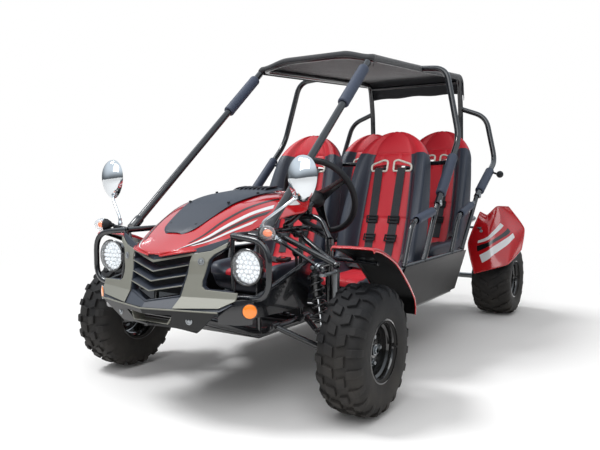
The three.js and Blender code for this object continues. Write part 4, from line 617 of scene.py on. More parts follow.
# %% Frame tubes
RAIL, BRACE, CROSS, ROD, STUB = 0.016, 0.011, 0.0098, 0.008, 0.013
RAIL_BEND, BRACE_BEND, ROD_BEND, HOOP_BEND = 0.07, 0.05, 0.04, 0.08
main_rail = [(0.165, -1.354, 0.38), (0.262, -1.114, 0.285), (0.262, -0.754, 0.285), (0.49, -0.524, 0.262),
             (0.49, 0.386, 0.262), (0.3, 0.676, 0.3), (0.3, 0.836, 0.42), (0.314, 1.106, 0.56), (0.314, 1.44, 0.6)]
paired_tubes = [
    (BRACE, BRACE_BEND, [(0.49, -0.524, 0.262), (0.57, -0.489, 0.485), (0.57, 0.346, 0.485), (0.49, 0.386, 0.262)]),
    (BRACE, BRACE_BEND, [(0.262, -1.269, 0.662), (0.262, -0.754, 0.662), (0.4, -0.819, 0.625)]),
    (CROSS, BRACE_BEND, [(0.262, -1.114, 0.285), (0.262, -1.114, 0.662)]),
    (CROSS, BRACE_BEND, [(0.262, -0.819, 0.285), (0.262, -0.819, 0.662)]),
    (RAIL, BRACE_BEND, [(0.4, -0.6148, 0.2711), (0.4, -0.824, 0.275), (0.4, -0.824, 0.625)]),
    (BRACE, HOOP_BEND, [(0.262, -1.269, 0.662), (0.426, -1.282, 0.648), (0.426, -1.282, 0.452),
                        (0.275, -1.282, 0.452), (0.165, -1.354, 0.38)]),
    (ROD, ROD_BEND, [(0.262, -1.269, 0.662), (0.275, -1.282, 0.452)]),
    (ROD, ROD_BEND, [(0.368, -1.282, 0.452), (0.335, -0.836, 0.552), (0.4, -0.824, 0.552)]),
    (ROD, ROD_BEND, [(0.262, -1.185, 0.662), (0.333, -1.185, 0.655), (0.366, -1.244, 0.672)]),
    (STUB, BRACE_BEND, [(0.49, -0.375, 0.262), (0.57, -0.2377, 0.485), (0.57, -0.071, 0.74)]),
    (STUB, BRACE_BEND, [(0.568, 0.318, 0.485), (0.562, 0.6, 0.765)]),
    (BRACE, BRACE_BEND, [(0.57, -0.089, 0.718), (0.57, -0.384, 0.672), (0.57, -0.474, 0.485)]),
    (BRACE, BRACE_BEND, [(0.562, 0.556, 0.735), (0.57, 0.256, 0.672), (0.57, 0.146, 0.485)]),
    (CROSS, BRACE_BEND, [(0.19, 0.616, 0.2921), (0.19, 0.696, 0.335), (0.19, 1.046, 0.335), (0.19, 1.106, 0.56)]),
    (ROD, ROD_BEND, [(0.4, -0.824, 0.548), (0.64, -0.882, 0.548)]),
    (ROD, ROD_BEND, [(0.314, 1.101, 0.56), (0.484, 0.968, 0.56)]),
    (ROD, ROD_BEND, [(0.262, -1.258, 0.651), (0.225, -1.28, 0.605), (0.19, -1.318, 0.58)]),
    (BRACE, 0.0, [(0.4, -0.824, 0.525), (0.4, -0.9317, 0.525)]),
    (BRACE, 0.0, [(0.19, 0.746, 0.33), (0.3, 0.746, 0.33)]),
]
crossing_tubes = [
    (BRACE, BRACE_BEND, [(-0.4, -0.824, 0.625), (-0.33, -0.774, 0.708), (0.33, -0.774, 0.708),
                         (0.4, -0.824, 0.625)]),
    (CROSS, 0.0, [(-0.262, -1.114, 0.662), (0.262, -1.114, 0.662)]),
    (CROSS, 0.0, [(-0.262, -1.063, 0.662), (0.262, -1.063, 0.662)]),
    (CROSS, 0.0, [(-0.262, -0.819, 0.285), (0.262, -0.819, 0.285)]),
    (ROD, 0.0, [(-0.262, -0.869, 0.305), (0.262, -0.869, 0.305)]),
    (BRACE, 0.0, [(-0.49, -0.424, 0.262), (0.49, -0.424, 0.262)]),
    (CROSS, 0.0, [(-0.49, -0.199, 0.2658), (0.49, -0.199, 0.2658)]),
    (CROSS, BRACE_BEND, [(-0.49, 0.341, 0.262), (-0.42, 0.341, 0.336), (0.42, 0.341, 0.336), (0.49, 0.341, 0.262)]),
    (CROSS, 0.0, [(-0.3393, 0.616, 0.2921), (0.3393, 0.616, 0.2921)]),
    (RAIL, 0.0, [(-0.314, 1.106, 0.56), (0.314, 1.106, 0.56)]),
    (CROSS, 0.0, [(-0.19, 0.836, 0.335), (0.19, 0.836, 0.335)]),
]
tubes = Shape()
whole_rail = [(0, main_rail[0][1], main_rail[0][2]), *main_rail, (0, 1.44, 0.6), *reversed(mirrored(main_rail)),
              (-0.0001, main_rail[0][1], main_rail[0][2])]
tubes.add(sweep(whole_rail, RAIL, RAIL_BEND))
for radius, bend, route in paired_tubes:
    tubes.both_sides(sweep(route, radius, bend))
for radius, bend, route in crossing_tubes:
    tubes.add(sweep(route, radius, bend))
frame_tubes = piece("frame_tubes", tubes, frame_black)
print("frame tubes:", len(frame_tubes.data.polygons), "faces")

# %% [markdown]
# Sheet ears, gussets and the two bent side sheets are cut from plate. They are drawn as outlines with a
# thickness and a small bevel, because a cut edge that has been painted is never sharp.

# %% Brackets, side sheets and the rack housing
EAR, CLEAR = 0.005, 0.0003
ARM_INNER, SLEEVE_HALF = 0.29, 0.018
FRONT_AXLE_Y, WHEEL_Z_FRONT, WHEEL_Z_REAR, REAR_AXLE_Y = -0.944, 0.24018, 0.22725, 1.156
plates = Shape()
for base, z, rail_z in ((0.11, 0.305, 0.285), (0.06, 0.645, 0.662)):
    for y in (FRONT_AXLE_Y - base, FRONT_AXLE_Y + base):
        for near in (y - SLEEVE_HALF - CLEAR - EAR, y + SLEEVE_HALF + CLEAR):
            ear = [(0.262, rail_z + 0.012), (0.262, rail_z - 0.012), (ARM_INNER + 0.006, z - 0.013),
                   (ARM_INNER + 0.015, z - 0.004), (ARM_INNER + 0.015, z + 0.006), (ARM_INNER + 0.005, z + 0.014)]
            plates.both_sides(slab(ear, "y", near, near + EAR))
        plates.both_sides(bolt((ARM_INNER, y - SLEEVE_HALF - EAR, z), (0, -1, 0)))
        plates.both_sides(bolt((ARM_INNER, y + SLEEVE_HALF + EAR, z), (0, 1, 0)))
sheet_outer = [[(0.368, -1.294, 0.452), (0.3, -1.294, 0.365)], [(0.335, -0.836, 0.552), (0.3, -0.836, 0.345)]]
rings = []
for (top_x, y, top_z), (low_x, _, low_z) in sheet_outer:
    rings.append([(top_x, y, top_z), (low_x, y, low_z), (low_x - 0.003, y, low_z), (top_x - 0.003, y, top_z)])
plates.both_sides(skin(rings))
wrap = [((0.3705, -1.292), 0.452, 0.366), ((0.352, -1.307), 0.45, 0.363), ((0.318, -1.326), 0.446, 0.362),
        ((0.262, -1.346), 0.43, 0.366)]
rings = []
for (x, y), top_z, low_z in wrap:
    rings.append([(x, y, top_z), (x - 0.006, y, low_z), (x - 0.006, y + 0.003, low_z), (x, y + 0.003, top_z)])
plates.both_sides(skin(rings))
plates.both_sides(slab([(0.73, 0.319), (0.762, 0.319), (0.762, 0.346), (0.73, 0.346)], "x", 0.2593, 0.3))
for near in (0.0123, -0.0173):
    plates.add(slab([(1.106, 0.544), (1.15, 0.547), (1.163, 0.56), (1.15, 0.573), (1.106, 0.576)], "x", near,
                    near + EAR))
plates.add(drum((0, 1.15, 0.56), (1, 0, 0), 0.0055, 0.034, 0.0008))
plates.add(bolt((0.0173, 1.15, 0.56), (1, 0, 0)))
plates.add(bolt((-0.0173, 1.15, 0.56), (-1, 0, 0)))
frame_plates = piece("frame_plates", plates, frame_black, bevel=0.0008)

RACK_Y, RACK_Z = -1.044, 0.639
housing = Shape()
housing.add(lathe([(-0.19, 0.0125), (-0.19, 0.0172), (-0.184, 0.019), (-0.07, 0.019), (-0.062, 0.0225),
                   (0.062, 0.0225), (0.07, 0.019), (0.184, 0.019), (0.19, 0.0172), (0.19, 0.0125)],
                  (0, RACK_Y, RACK_Z), (1, 0, 0)))
COLUMN_FOOT, COLUMN_TOP = Vector((0.255, -0.884, 0.687)), Vector((0.255, -0.652, 0.789))
column_way = (COLUMN_TOP - COLUMN_FOOT).normalized()
housing.add(lathe([(-0.04, 0.0), (-0.04, 0.014), (-0.034, 0.017), (-0.006, 0.017), (-0.0003, 0.014),
                   (-0.0003, 0.0)], COLUMN_FOOT, column_way))
bearing = COLUMN_FOOT.lerp(COLUMN_TOP, 0.4741)
housing.add(lathe([(-0.009, 0.0125), (-0.009, 0.022), (-0.007, 0.024), (0.007, 0.024), (0.009, 0.022),
                   (0.009, 0.0125)], bearing, column_way))
for x in (-0.13, 0.13):
    housing.add(slab([(RACK_Y - 0.022, RACK_Z - 0.021), (RACK_Y + 0.022, RACK_Z - 0.021),
                      (RACK_Y + 0.022, RACK_Z + 0.021), (RACK_Y - 0.022, RACK_Z + 0.021)],
                     "x", x - 0.012, x + 0.012))
frame_housing = piece("frame_housing", housing, frame_black, bevel=0.0008)
frame_welded = merged("frame_welded", [frame_tubes, frame_plates, frame_housing])
rides(frame_welded, "chassis", "tube_black", "chassis_frame")
print("frame:", len(frame_welded.data.polygons), "faces")

# %% [markdown]
# A weld shows as a low rippled ring where one tube lands on another. Small flattened rings do this at the
# joints that can be seen.

# %% Weld rings
welds = Shape()
weld_spots = [((0.57, -0.2377, 0.485), (0.0, 0.548, 0.836), STUB), ((0.565, 0.318, 0.492), (0.0, 0.71, 0.7), STUB),
              ((0.57, -0.384, 0.672), (0, 0.99, 0.1), BRACE), ((0.57, -0.466, 0.497), (0, -0.4, -0.9), BRACE),
              ((0.57, 0.154, 0.497), (0, -0.5, -0.86), BRACE), ((0.4, -0.824, 0.6), (0, 0, 1), RAIL),
              ((0.262, -1.262, 0.661), (1, 0, 0), BRACE), ((0.262, -0.819, 0.648), (0, 0, 1), CROSS),
              ((0.262, -1.114, 0.648), (0, 0, 1), CROSS), ((0.478, -0.424, 0.262), (1, 0, 0), BRACE),
              ((0.3, 1.106, 0.56), (1, 0, 0), RAIL), ((0.412, -0.827, 0.548), (1, -0.24, 0), ROD)]
for place, way, radius in weld_spots:
    side, other, way = frame_of(way)
    ring = []
    for k in range(28):
        turn = 2 * math.pi * k / 28
        ripple = 0.0006 * math.sin(turn * 14)
        ring.append(Vector(place) + (side * math.cos(turn) + other * math.sin(turn)) * (radius + 0.0006 + ripple))
    welds.both_sides(sweep(ring, 0.0022, sides=6, closed=True))
weld_rings = piece("weld_rings", welds, frame_black, angle=60)
rides(weld_rings, "chassis", "tube_black")
print("weld rings:", len(weld_spots) * 2)

# %% [markdown]
# The roll cage bolts to stubs on the frame. Its side tubes wear thick foam sleeves where an arm could hit
# them. The front pillars are the two straight tubes that run from the nose to the roof, and carry a
# sleeve near the top.

# %% Roll cage, pillars and foam sleeves
cage = Shape()
roof_side = [(0.157, -0.272, 1.462), (0.314, -0.272, 1.432), (0.314, 1.014, 1.521), (0.314, 1.056, 1.325),
             (0.314, 1.106, 0.5765)]
cage.add(sweep([*reversed(mirrored(roof_side)), *roof_side], RAIL, 0.06))
side_tube = [(0.314, 0.332, 1.4738), (0.465, 0.332, 1.4618), (0.554, 0.294, 1.085), (0.5698, -0.0666, 0.7441)]
rear_tube = [(0.314, 1.056, 1.325), (0.476, 1.068, 1.266), (0.548, 1.031, 0.985), (0.5618, 0.6052, 0.7676)]
cage.both_sides(sweep(side_tube, RAIL, RAIL_BEND))
cage.both_sides(sweep(rear_tube, RAIL, RAIL_BEND))
cage.add(sweep([(-0.56, 0.157, 0.9555), (-0.48, 0.197, 0.949), (0.48, 0.197, 0.949), (0.56, 0.157, 0.9555)], BRACE,
               BRACE_BEND))
cage.add(sweep([(-0.314, 1.014, 1.491), (0.314, 1.014, 1.491)], BRACE))
cage_tubes = piece("cage_tubes", cage, frame_black)
rides(cage_tubes, "chassis", "tube_black", "roll_cage")

FOAM = 0.0262
PILLAR_FOOT, PILLAR_TOP = (0.333, -1.185, 0.655), (0.308, -0.292, 1.42)


def sleeve_on(shape, start, end, radius=FOAM):
    """A foam sleeve with a soft rolled end at each end."""
    start, end = Vector(start), Vector(end)
    way = (end - start).normalized()
    length = (end - start).length
    profile = [(0, RAIL + 0.0006), (0.0, radius - 0.006), (0.002, radius - 0.002), (0.007, radius)]
    steps = 14
    for k in range(1, steps):
        share = k / steps
        profile.append((0.007 + (length - 0.014) * share, radius - 0.0006 * abs(math.sin(math.pi * share * 5))))
    profile += [(length - 0.007, radius), (length - 0.002, radius - 0.002), (length, radius - 0.006),
                (length, RAIL + 0.0006)]
    shape.both_sides(lathe(profile, start, way, 32))


sleeves = Shape()
sleeve_on(sleeves, (0.5587, 0.1858, 0.9827), (0.5676, -0.0161, 0.7919))
sleeve_on(sleeves, (0.5521, 0.9033, 0.9198), (0.5599, 0.6648, 0.7981))
sleeve_on(sleeves, (0.57, -0.13, 0.7116), (0.57, -0.335, 0.6796), 0.021)
sleeve_on(sleeves, (0.5637, 0.5, 0.723), (0.569, 0.3, 0.6813), 0.021)
cage_sleeves = piece("cage_sleeves", sleeves, foam_slate, angle=50)
rides(cage_sleeves, "chassis", "grip_black")

for side, name in ((1, "left"), (-1, "right")):
    foot, top = (Vector((side * x, y, z)) for x, y, z in (PILLAR_FOOT, PILLAR_TOP))
    way = (top - foot).normalized()
    shape = Shape(sweep([foot + way * 0.012, top - way * 0.0185], RAIL))
    shape.add(lathe([(0.0, RAIL), (0.0, 0.0185), (0.004, 0.02), (0.05, 0.02), (0.056, 0.0185), (0.056, RAIL)],
                    foot + way * 0.012, way, 32))
    tube = piece(f"pillar_{name}", shape, frame_black)
    rides(tube, "chassis", "tube_black", f"front_pillar_{name}")
pillar_sleeves = Shape()
low, high = Vector(PILLAR_FOOT), Vector(PILLAR_TOP)
sleeve_on(pillar_sleeves, low.lerp(high, 0.7), low.lerp(high, 0.94))
rides(piece("pillar_sleeves", pillar_sleeves, foam_slate, angle=50), "chassis", "grip_black")
print("cage, pillars and sleeves made")

# %% Cage bolts
fixings = Shape()
for x, y, z in ((0.5705, -0.0666, 0.7441), (0.566, -0.055, 0.755), (0.5635, 0.6052, 0.7676), (0.5605, 0.62, 0.776)):
    fixings.both_sides(bolt(Vector((x, y, z)) + Vector((RAIL, 0, 0)), (1, 0, 0)))
fixings.both_sides(bolt(Vector((0.333, -1.172, 0.668)) + Vector((0.0195, 0, 0)), (1, 0, 0), 0.007))
cage_bolts = piece("cage_bolts", fixings, zinc)
rides(cage_bolts, "chassis", "chrome")
print("cage bolts made")

# %% [markdown]
# The canopy is one piece of coated cloth pulled over the roof loop. It wraps round the front and side
# tubes, sinks a little between them and hangs down behind as a short flap. A grid of points follows those
# tubes, with shallow folds that start at the corners, where the cloth is pulled hardest.

# %% Canopy cloth
ROOF_X, ROOF_FRONT_Y, ROOF_FRONT_Z, ROOF_REAR_Y, ROOF_REAR_Z = 0.314, -0.272, 1.432, 1.014, 1.521
WRAP, CLOTH, HEM_DROP, FLAP_LOW, FRONT_CROWN = 0.0192, 0.0012, 0.01, 1.41, 0.03
ACROSS, ALONG, SAG = 64, 72, 0.016
SEAM_ROWS = (6, 64)
LIP_SHARE, FLAP_FROM, ROOF_SHARE, ROOF_ACROSS = 0.07, 0.9, 0.83, 0.86
WEAVE_BUMP, WEAVE_DEPTH, CLOTH_SHEEN = 0.5, 0.0006, 0.25


def smooth_step(x):
    x = min(max(x, 0.0), 1.0)
    return x * x * (3 - 2 * x)


def roof_line(y):
    return ROOF_FRONT_Z + (ROOF_REAR_Z - ROOF_FRONT_Z) * (y - ROOF_FRONT_Y) / (ROOF_REAR_Y - ROOF_FRONT_Y)


def over_side(share):
    """Across the cloth: place in x and fall below the tube's top."""
    size = abs(share)
    if size <= ROOF_ACROSS:
        return math.copysign(size / ROOF_ACROSS * ROOF_X, share), 0.0
    turn = math.radians(90 - 115 * min((size - ROOF_ACROSS) / 0.1, 1.0))
    drop = HEM_DROP * max((size - 0.96) / 0.04, 0.0)
    return math.copysign(ROOF_X + WRAP * math.cos(turn), share), WRAP * (1 - math.sin(turn)) + drop


def along_roof(share):
    """Along the cloth: place in y and fall below the roof line."""
    if share < LIP_SHARE:
        turn = math.radians(90 - 110 * (LIP_SHARE - share) / LIP_SHARE)
        return ROOF_FRONT_Y - WRAP * math.cos(turn), WRAP * (1 - math.sin(turn))
    if share < FLAP_FROM:
        return ROOF_FRONT_Y + (ROOF_REAR_Y - ROOF_FRONT_Y) * (share - LIP_SHARE) / ROOF_SHARE, 0.0
    t = (share - FLAP_FROM) / 0.1
    bend = smooth_step(t / 0.25)
    return ROOF_REAR_Y + 0.024 * bend + 0.026 * t, (ROOF_REAR_Z + WRAP - FLAP_LOW) * max(t - 0.08 * bend, 0.0)


rows = []
for j in range(ALONG + 1):
    share_y = j / ALONG
    y, fall_y = along_roof(share_y)
    row = []
    for i in range(ACROSS + 1):
        share_x = 2 * i / ACROSS - 1
        x, fall_x = over_side(share_x)
        crown = FRONT_CROWN * smooth_step((ROOF_X - abs(x)) / 0.157)
        along = min(max((share_y - LIP_SHARE) / ROOF_SHARE, 0), 1)
        crown *= (1 - smooth_step(along * 1.6)) + 0.25 * smooth_step(along * 2 - 1)
        inside = math.sin(math.pi * along) * (1 - (x / 0.34) ** 2)
        corner = abs(x) / ROOF_X
        folds = 0.0024 * math.sin(26 * (y + 0.9 * abs(x))) * corner * inside
        folds += 0.003 * noise.noise(Vector((x * 6, y * 5, 1.7))) * inside
        hem = 0.004 * math.cos(share_x * 9) * max(share_y - 0.95, 0) / 0.05
        z = roof_line(min(y, ROOF_REAR_Y)) + WRAP + crown - SAG * inside - fall_x - fall_y + folds + hem
        row.append((x, y, z))
    rows.append(row)
cloth = Shape(grid(rows))


def woven_finish(name, colour, patch, scale, rough):
    material = finish(name, colour, patch, rough, bump=0.0, dust=0.0)
    tree = material.node_tree
    shader, where = (next(n for n in tree.nodes if n.type == kind) for kind in ("BSDF_PRINCIPLED", "TEX_COORD"))
    threads = {"Vector": where.outputs["Object"], "Thread Scale": scale}
    weave = add_node(tree, "ShaderNodeGroup", threads, node_tree=WEAVE)
    add_bump(tree, shader, weave.outputs["Height"], WEAVE_BUMP, WEAVE_DEPTH)
    shader.inputs["Sheen Weight"].default_value = CLOTH_SHEEN
    return material


canopy_cloth = woven_finish("canopy_cloth", "101217", "191c22", 420, (0.6, 0.8))
webbing_black = woven_finish("belt_webbing", "17191e", "22262d", 520, (0.5, 0.62))
canopy = piece("canopy_cover", cloth, canopy_cloth, angle=70)
wall = canopy.modifiers.new("cloth_thickness", "SOLIDIFY")
wall.thickness = CLOTH
wall.offset = 0
settle(canopy)
rides(canopy, "chassis", "canopy_cloth", "canopy")
hem = Shape()
for edge in (rows[0], [row[-1] for row in rows], rows[-1], [row[0] for row in rows]):
    hem.add(sweep(edge, 0.0021, sides=8, flat=0.6))
for k in SEAM_ROWS:
    hem.add(sweep([(x, y, z + 0.0008) for x, y, z in rows[k]], 0.0012, sides=6, flat=0.5))
canopy_hem = piece("canopy_hem", hem, canopy_cloth, angle=60)
rides(canopy_hem, "chassis", "canopy_cloth")


# %% [markdown]
# A bucket seat is a foam body in a sewn vinyl cover: a red middle, dark bolsters that stand up at both
# sides, and a head part with two slots for the belts. One function gives any point of its surface, so the
# cover, the seams, the stitches and the belts that lie on it all agree.

# %% Seat surface
# Each station: place, height, lean of the surface, half width, thickness and bolster height
SEAT_STATIONS = [(0.416, 0.38, 0.7, 0.195, 0.07, 0.02), (0.45, 0.412, 1.4, 0.207, 0.12, 0.034),
                 (0.74, 0.4, 1.52, 0.218, 0.124, 0.06), (0.848, 0.428, 0.95, 0.221, 0.108, 0.072),
                 (0.94, 0.65, 0.31, 0.222, 0.09, 0.072), (1.03, 0.925, 0.3, 0.2, 0.08, 0.04),
                 (1.07, 1.04, 0.3, 0.16, 0.072, 0.014), (1.104, 1.118, 0.24, 0.09, 0.046, 0.002)]
AXLE_SHIFT = -0.944
SEAT_CROWN, SEAM_DEPTH, SEAM_WIDE, BOLSTER_SHARE, CHANNEL_SHARE = 0.008, 0.0034, 0.007, 0.56, 0.27
MID_SEAM, HEAD_SEAM, MID_SPAN, HEAD_SPAN = 4.05, 5.55, 0.24, 0.13
COVER_EDGE, BOLSTER_FOOT, BOLSTER_TOP, BOLSTER_RISE = 0.965, 0.6, 0.8, 0.2
LUMBAR_LIFT, LUMBAR_V = 0.006, 3.4
HEAD_V, HEAD_Z, HEAD_HALF, HEAD_TOP = 5, 0.925, 0.2, 1.1195
SLOT_LOW, SLOT_HIGH, SLOT_INNER, SLOT_OUTER = 0.905, 0.938, 0.022, 0.108


def station(v):
    """Table values at v; the head part closes on an ellipse."""
    y, z, lean, half, thick, wing = between(SEAT_STATIONS, v)
    if v > HEAD_V:
        half = HEAD_HALF * math.sqrt(max(1 - ((z - HEAD_Z) / (HEAD_TOP - HEAD_Z)) ** 2, 0.0))
    return y, z, lean, half, thick, wing


def dent(distance, wide=SEAM_WIDE):
    return math.exp(-(distance / wide) ** 2)


def seat_height(share, v, half, wing):
    size = abs(share)
    if size < BOLSTER_FOOT:
        height = SEAT_CROWN * (1 - (size / BOLSTER_FOOT) ** 2)
    elif size < BOLSTER_TOP:
        height = wing * smooth_step((size - BOLSTER_FOOT) / BOLSTER_RISE)
    else:
        height = wing * (1 - 0.1 * ((size - BOLSTER_TOP) / BOLSTER_RISE) ** 2)
    height += LUMBAR_LIFT * math.sin(math.pi * min(size / BOLSTER_SHARE, 1)) * math.exp(-((v - LUMBAR_V) ** 2))
    height -= SEAM_DEPTH * dent((size - BOLSTER_SHARE) * half)
    if v < HEAD_SEAM:
        height -= SEAM_DEPTH * 0.7 * dent((size - CHANNEL_SHARE) * half)
    if size < BOLSTER_SHARE:
        height -= SEAM_DEPTH * (dent((v - MID_SEAM) * MID_SPAN) + dent((v - HEAD_SEAM) * HEAD_SPAN))
    return height


def seat_point(share, v, lift=0.0):
    y, z, lean, half, thick, wing = station(v)
    normal = Vector((0, -math.cos(lean), math.sin(lean)))
    place = Vector((share * half, y + AXLE_SHIFT, z))
    return place + normal * (seat_height(share, v, half, wing) + lift)


def seat_ring(v, shares):
    y, z, lean, half, thick, wing = station(v)
    normal = Vector((0, -math.cos(lean), math.sin(lean)))
    middle = Vector((0, y + AXLE_SHIFT, z))
    top = [seat_point(s * COVER_EDGE, v) for s in shares]
    side = []
    for k in range(1, 8):
        turn = math.pi / 2 * k / 8
        out = COVER_EDGE + 0.035 * math.sin(turn * 2)
        depth = wing * 0.9 + (-thick * 0.9 - wing * 0.9) * k / 8
        side.append((out, depth))
    right = [middle + Vector((half * out, 0, 0)) + normal * depth for out, depth in side]
    under = [middle + Vector((half * s, 0, 0)) - normal * (thick * (1 - 0.12 * s * s))
             for s in (0.86, 0.6, 0.3, 0.0, -0.3, -0.6, -0.86)]
    left = [middle + Vector((-half * out, 0, 0)) + normal * depth for out, depth in reversed(side)]
    return top + right + under + left


SHARES = sorted({round(s, 4) for s in [*np.linspace(-1, 1, 41), *(
    sign * (c + d) for sign in (-1, 1) for c in (BOLSTER_SHARE, CHANNEL_SHARE)
    for d in (-0.022, -0.01, 0, 0.01, 0.022))]})
STATIONS = sorted({round(v, 3) for v in [*np.linspace(0, 7, 57), 6.94, 6.97, 6.99, *(
    c + d for c in (MID_SEAM, HEAD_SEAM) for d in (-0.05, -0.025, 0, 0.025, 0.05))]})
seat = Shape()
verts, faces = skin([seat_ring(v, SHARES) for v in STATIONS], caps=False)
per_ring = len(verts) // len(STATIONS)
kinds = []
for i in range(len(STATIONS) - 1):
    for j in range(per_ring):
        top_face = j < len(SHARES) - 1
        share = abs(SHARES[j] + SHARES[j + 1]) / 2 if top_face else 1.0
        kinds.append(0 if (top_face and share < BOLSTER_SHARE) or (STATIONS[i] >= HEAD_SEAM and j < len(SHARES) + 3)
                     or (STATIONS[i] >= HEAD_SEAM and j > per_ring - 5) else 1)
seat.points, seat.faces, seat.kinds = [tuple(v) for v in verts], faces, kinds
for ring, order in ((0, -1), (len(STATIONS) - 1, 1)):
    base = ring * per_ring
    count = per_ring
    centre = sum((Vector(seat.points[base + j]) for j in range(count)), Vector()) / count
    hub = len(seat.points)
    seat.points.append(tuple(centre))
    for j in range(count):
        k = (j + 1) % count
        seat.faces.append((base + j, hub, base + k) if order < 0 else (base + j, base + k, hub))
        seat.kinds.append(0 if ring else 1)
seat_master = piece("seat_master", seat, seat_red, bolster_black, angle=80)
print("seat cover:", len(seat_master.data.polygons), "faces")

# %% Belt slots through the seat back
slot_tool = Shape()
for side in (1, -1):
    outline = [(side * SLOT_INNER, SLOT_LOW - 0.004), (side * SLOT_OUTER, SLOT_LOW),
               (side * SLOT_OUTER, SLOT_HIGH - 0.006), (side * SLOT_INNER, SLOT_HIGH + 0.006)]
    slot_tool.add(slab(outline, "y", -0.1, 0.25))
cutter = piece("slot_tool", slot_tool, white_plastic, bevel=0.008, bevel_steps=3)
cut_with(seat_master, cutter, "DIFFERENCE")
seat_master.data.set_sharp_from_angle(angle=math.radians(80))
print("after the slots:", len(seat_master.data.polygons), "faces")

# %% [markdown]
# Foam under a sewn cover swells between its seams. A short cloth simulation with inner pressure gives that
# swell: the seams, the slots, the sides and the back are held, and how far a point may move is capped. It is
# solved once on the first seat, and the other seats are copies.

# %% Seat foam swell
SWELL_FRAMES, SWELL_CAP, REMESH, HOLD, SWELL_SHARE = 14, 0.007, 0.009, 0.009, 0.8
PRESSURE, QUALITY, SIDES_FROM, FREE_FROM, FREE_TO = 5.0, 4, 0.93, 0.25, 6.7


def tree_of(places):
    tree = kdtree.KDTree(len(places))
    for index, place in enumerate(places):
        tree.insert(place, index)
    tree.balance()
    return tree


SURFACE = [(s, v) for s in np.linspace(-1, 1, 81) for v in np.linspace(0, 7, 141)]
surface_tree = tree_of([seat_point(s * COVER_EDGE, v) for s, v in SURFACE])


def is_held(place):
    _, index, distance = surface_tree.find(place)
    size, v = abs(SURFACE[index][0]), SURFACE[index][1]
    half = station(v)[3]
    middle = size < BOLSTER_SHARE and min(
        abs(v - MID_SEAM) * MID_SPAN, abs(v - HEAD_SEAM) * HEAD_SPAN) < HOLD
    channel = v < HEAD_SEAM and abs(size - CHANNEL_SHARE) * half < HOLD
    slot_edge = (SLOT_INNER - 0.02 < abs(place.x) < SLOT_OUTER + 0.02
                 and SLOT_LOW - 0.03 < place.z < SLOT_HIGH + 0.03)
    outside = distance > HOLD or size > SIDES_FROM or not FREE_FROM < v < FREE_TO
    return outside or abs(size - BOLSTER_SHARE) * half < HOLD or middle or channel or slot_edge


def swell(obj):
    soft = link(bpy.data.objects.new("soft_copy", obj.data.copy()))
    remesh = soft.modifiers.new("remesh", "REMESH")
    remesh.mode = "VOXEL"
    remesh.voxel_size = REMESH
    settle(soft)
    start = np.array([v.co for v in soft.data.vertices])
    held = soft.vertex_groups.new(name="held")
    held.add([v.index for v in soft.data.vertices if is_held(v.co)], 1.0, "REPLACE")
    cloth_sim = soft.modifiers.new("cloth", "CLOTH")
    cloth_sim.settings.vertex_group_mass = "held"
    cloth_sim.settings.use_pressure = True
    cloth_sim.settings.uniform_pressure_force = PRESSURE
    cloth_sim.settings.quality = QUALITY
    cloth_sim.settings.effector_weights.gravity = 0
    cloth_sim.point_cache.frame_end = SWELL_FRAMES
    scene = bpy.context.scene
    for step in range(1, SWELL_FRAMES + 1):
        scene.frame_set(step)
    graph = bpy.context.evaluated_depsgraph_get()
    end = np.array([v.co for v in soft.evaluated_get(graph).data.vertices])
    move = end - start
    size = np.maximum(np.linalg.norm(move, axis=1, keepdims=True), 1e-9)
    move *= np.minimum(size, SWELL_CAP) / size
    scene.frame_set(1)
    bpy.data.objects.remove(soft)
    return start, move


start, move = swell(seat_master)
tree = tree_of(start)
for vertex in seat_master.data.vertices:
    near = tree.find_n(vertex.co, 4)
    weights = [1 / (distance + 0.001) for _, _, distance in near]
    shift = sum((Vector(move[index]) * w for (_, index, _), w in zip(near, weights)), Vector()) / sum(weights)
    vertex.co += shift * SWELL_SHARE
print("largest swell:", round(float(np.abs(move).max()), 4), "m, mean",
      round(float(np.linalg.norm(move, axis=1).mean()), 5))
RAY_START, RAY_LENGTH = 0.03, 0.05
cover = bvhtree.BVHTree.FromPolygons([v.co for v in seat_master.data.vertices],
                                     [tuple(p.vertices) for p in seat_master.data.polygons])


def on_seat(share, v, lift, reach=0.0):
    """A place that rides a little above the swollen cover, also at reach to both sides of it."""
    lean = station(v)[2]
    normal = Vector((0, -math.cos(lean), math.sin(lean)))
    highest = 0.0
    for offset in (-reach, 0.0, reach):
        distance = cover.ray_cast(seat_point(share, v, RAY_START) + Vector((offset, 0, 0)), -normal, RAY_LENGTH)[3]
        if distance is not None:
            highest = max(highest, RAY_START - distance)
    return seat_point(share, v, lift + highest), normal


# %% Four seats, their slot frames and stitches
SEAT_PLACES = {"front_seat_left": (0.26, 0.0, 0.0), "front_seat_right": (-0.26, 0.0, 0.0),
               "rear_seat_left": (0.241, 0.761, 0.056), "rear_seat_right": (-0.241, 0.761, 0.056)}


STITCHES, given, result = node_group("stitches_on_a_path", "GeometryNodeTree",
                                     *repeat_sockets("Path", ("Pitch", FLOAT), ("Stitch Size", VECTOR)))
curve = add_node(STITCHES, "GeometryNodeMeshToCurve", {"Mesh": given["Path"]}).outputs[0]
along = add_node(STITCHES, "GeometryNodeCurveToPoints", {"Curve": curve, "Length": given["Pitch"]},
                 mode="LENGTH").outputs
bead = add_node(STITCHES, "GeometryNodeMeshUVSphere", {"Segments": 6, "Rings": 4, "Radius": 1.0}).outputs["Mesh"]
copies = add_node(STITCHES, "GeometryNodeInstanceOnPoints", {
    "Points": along["Points"], "Rotation": along["Rotation"], "Instance": bead, "Scale": given["Stitch Size"]})
made_real(STITCHES, copies, given, result)


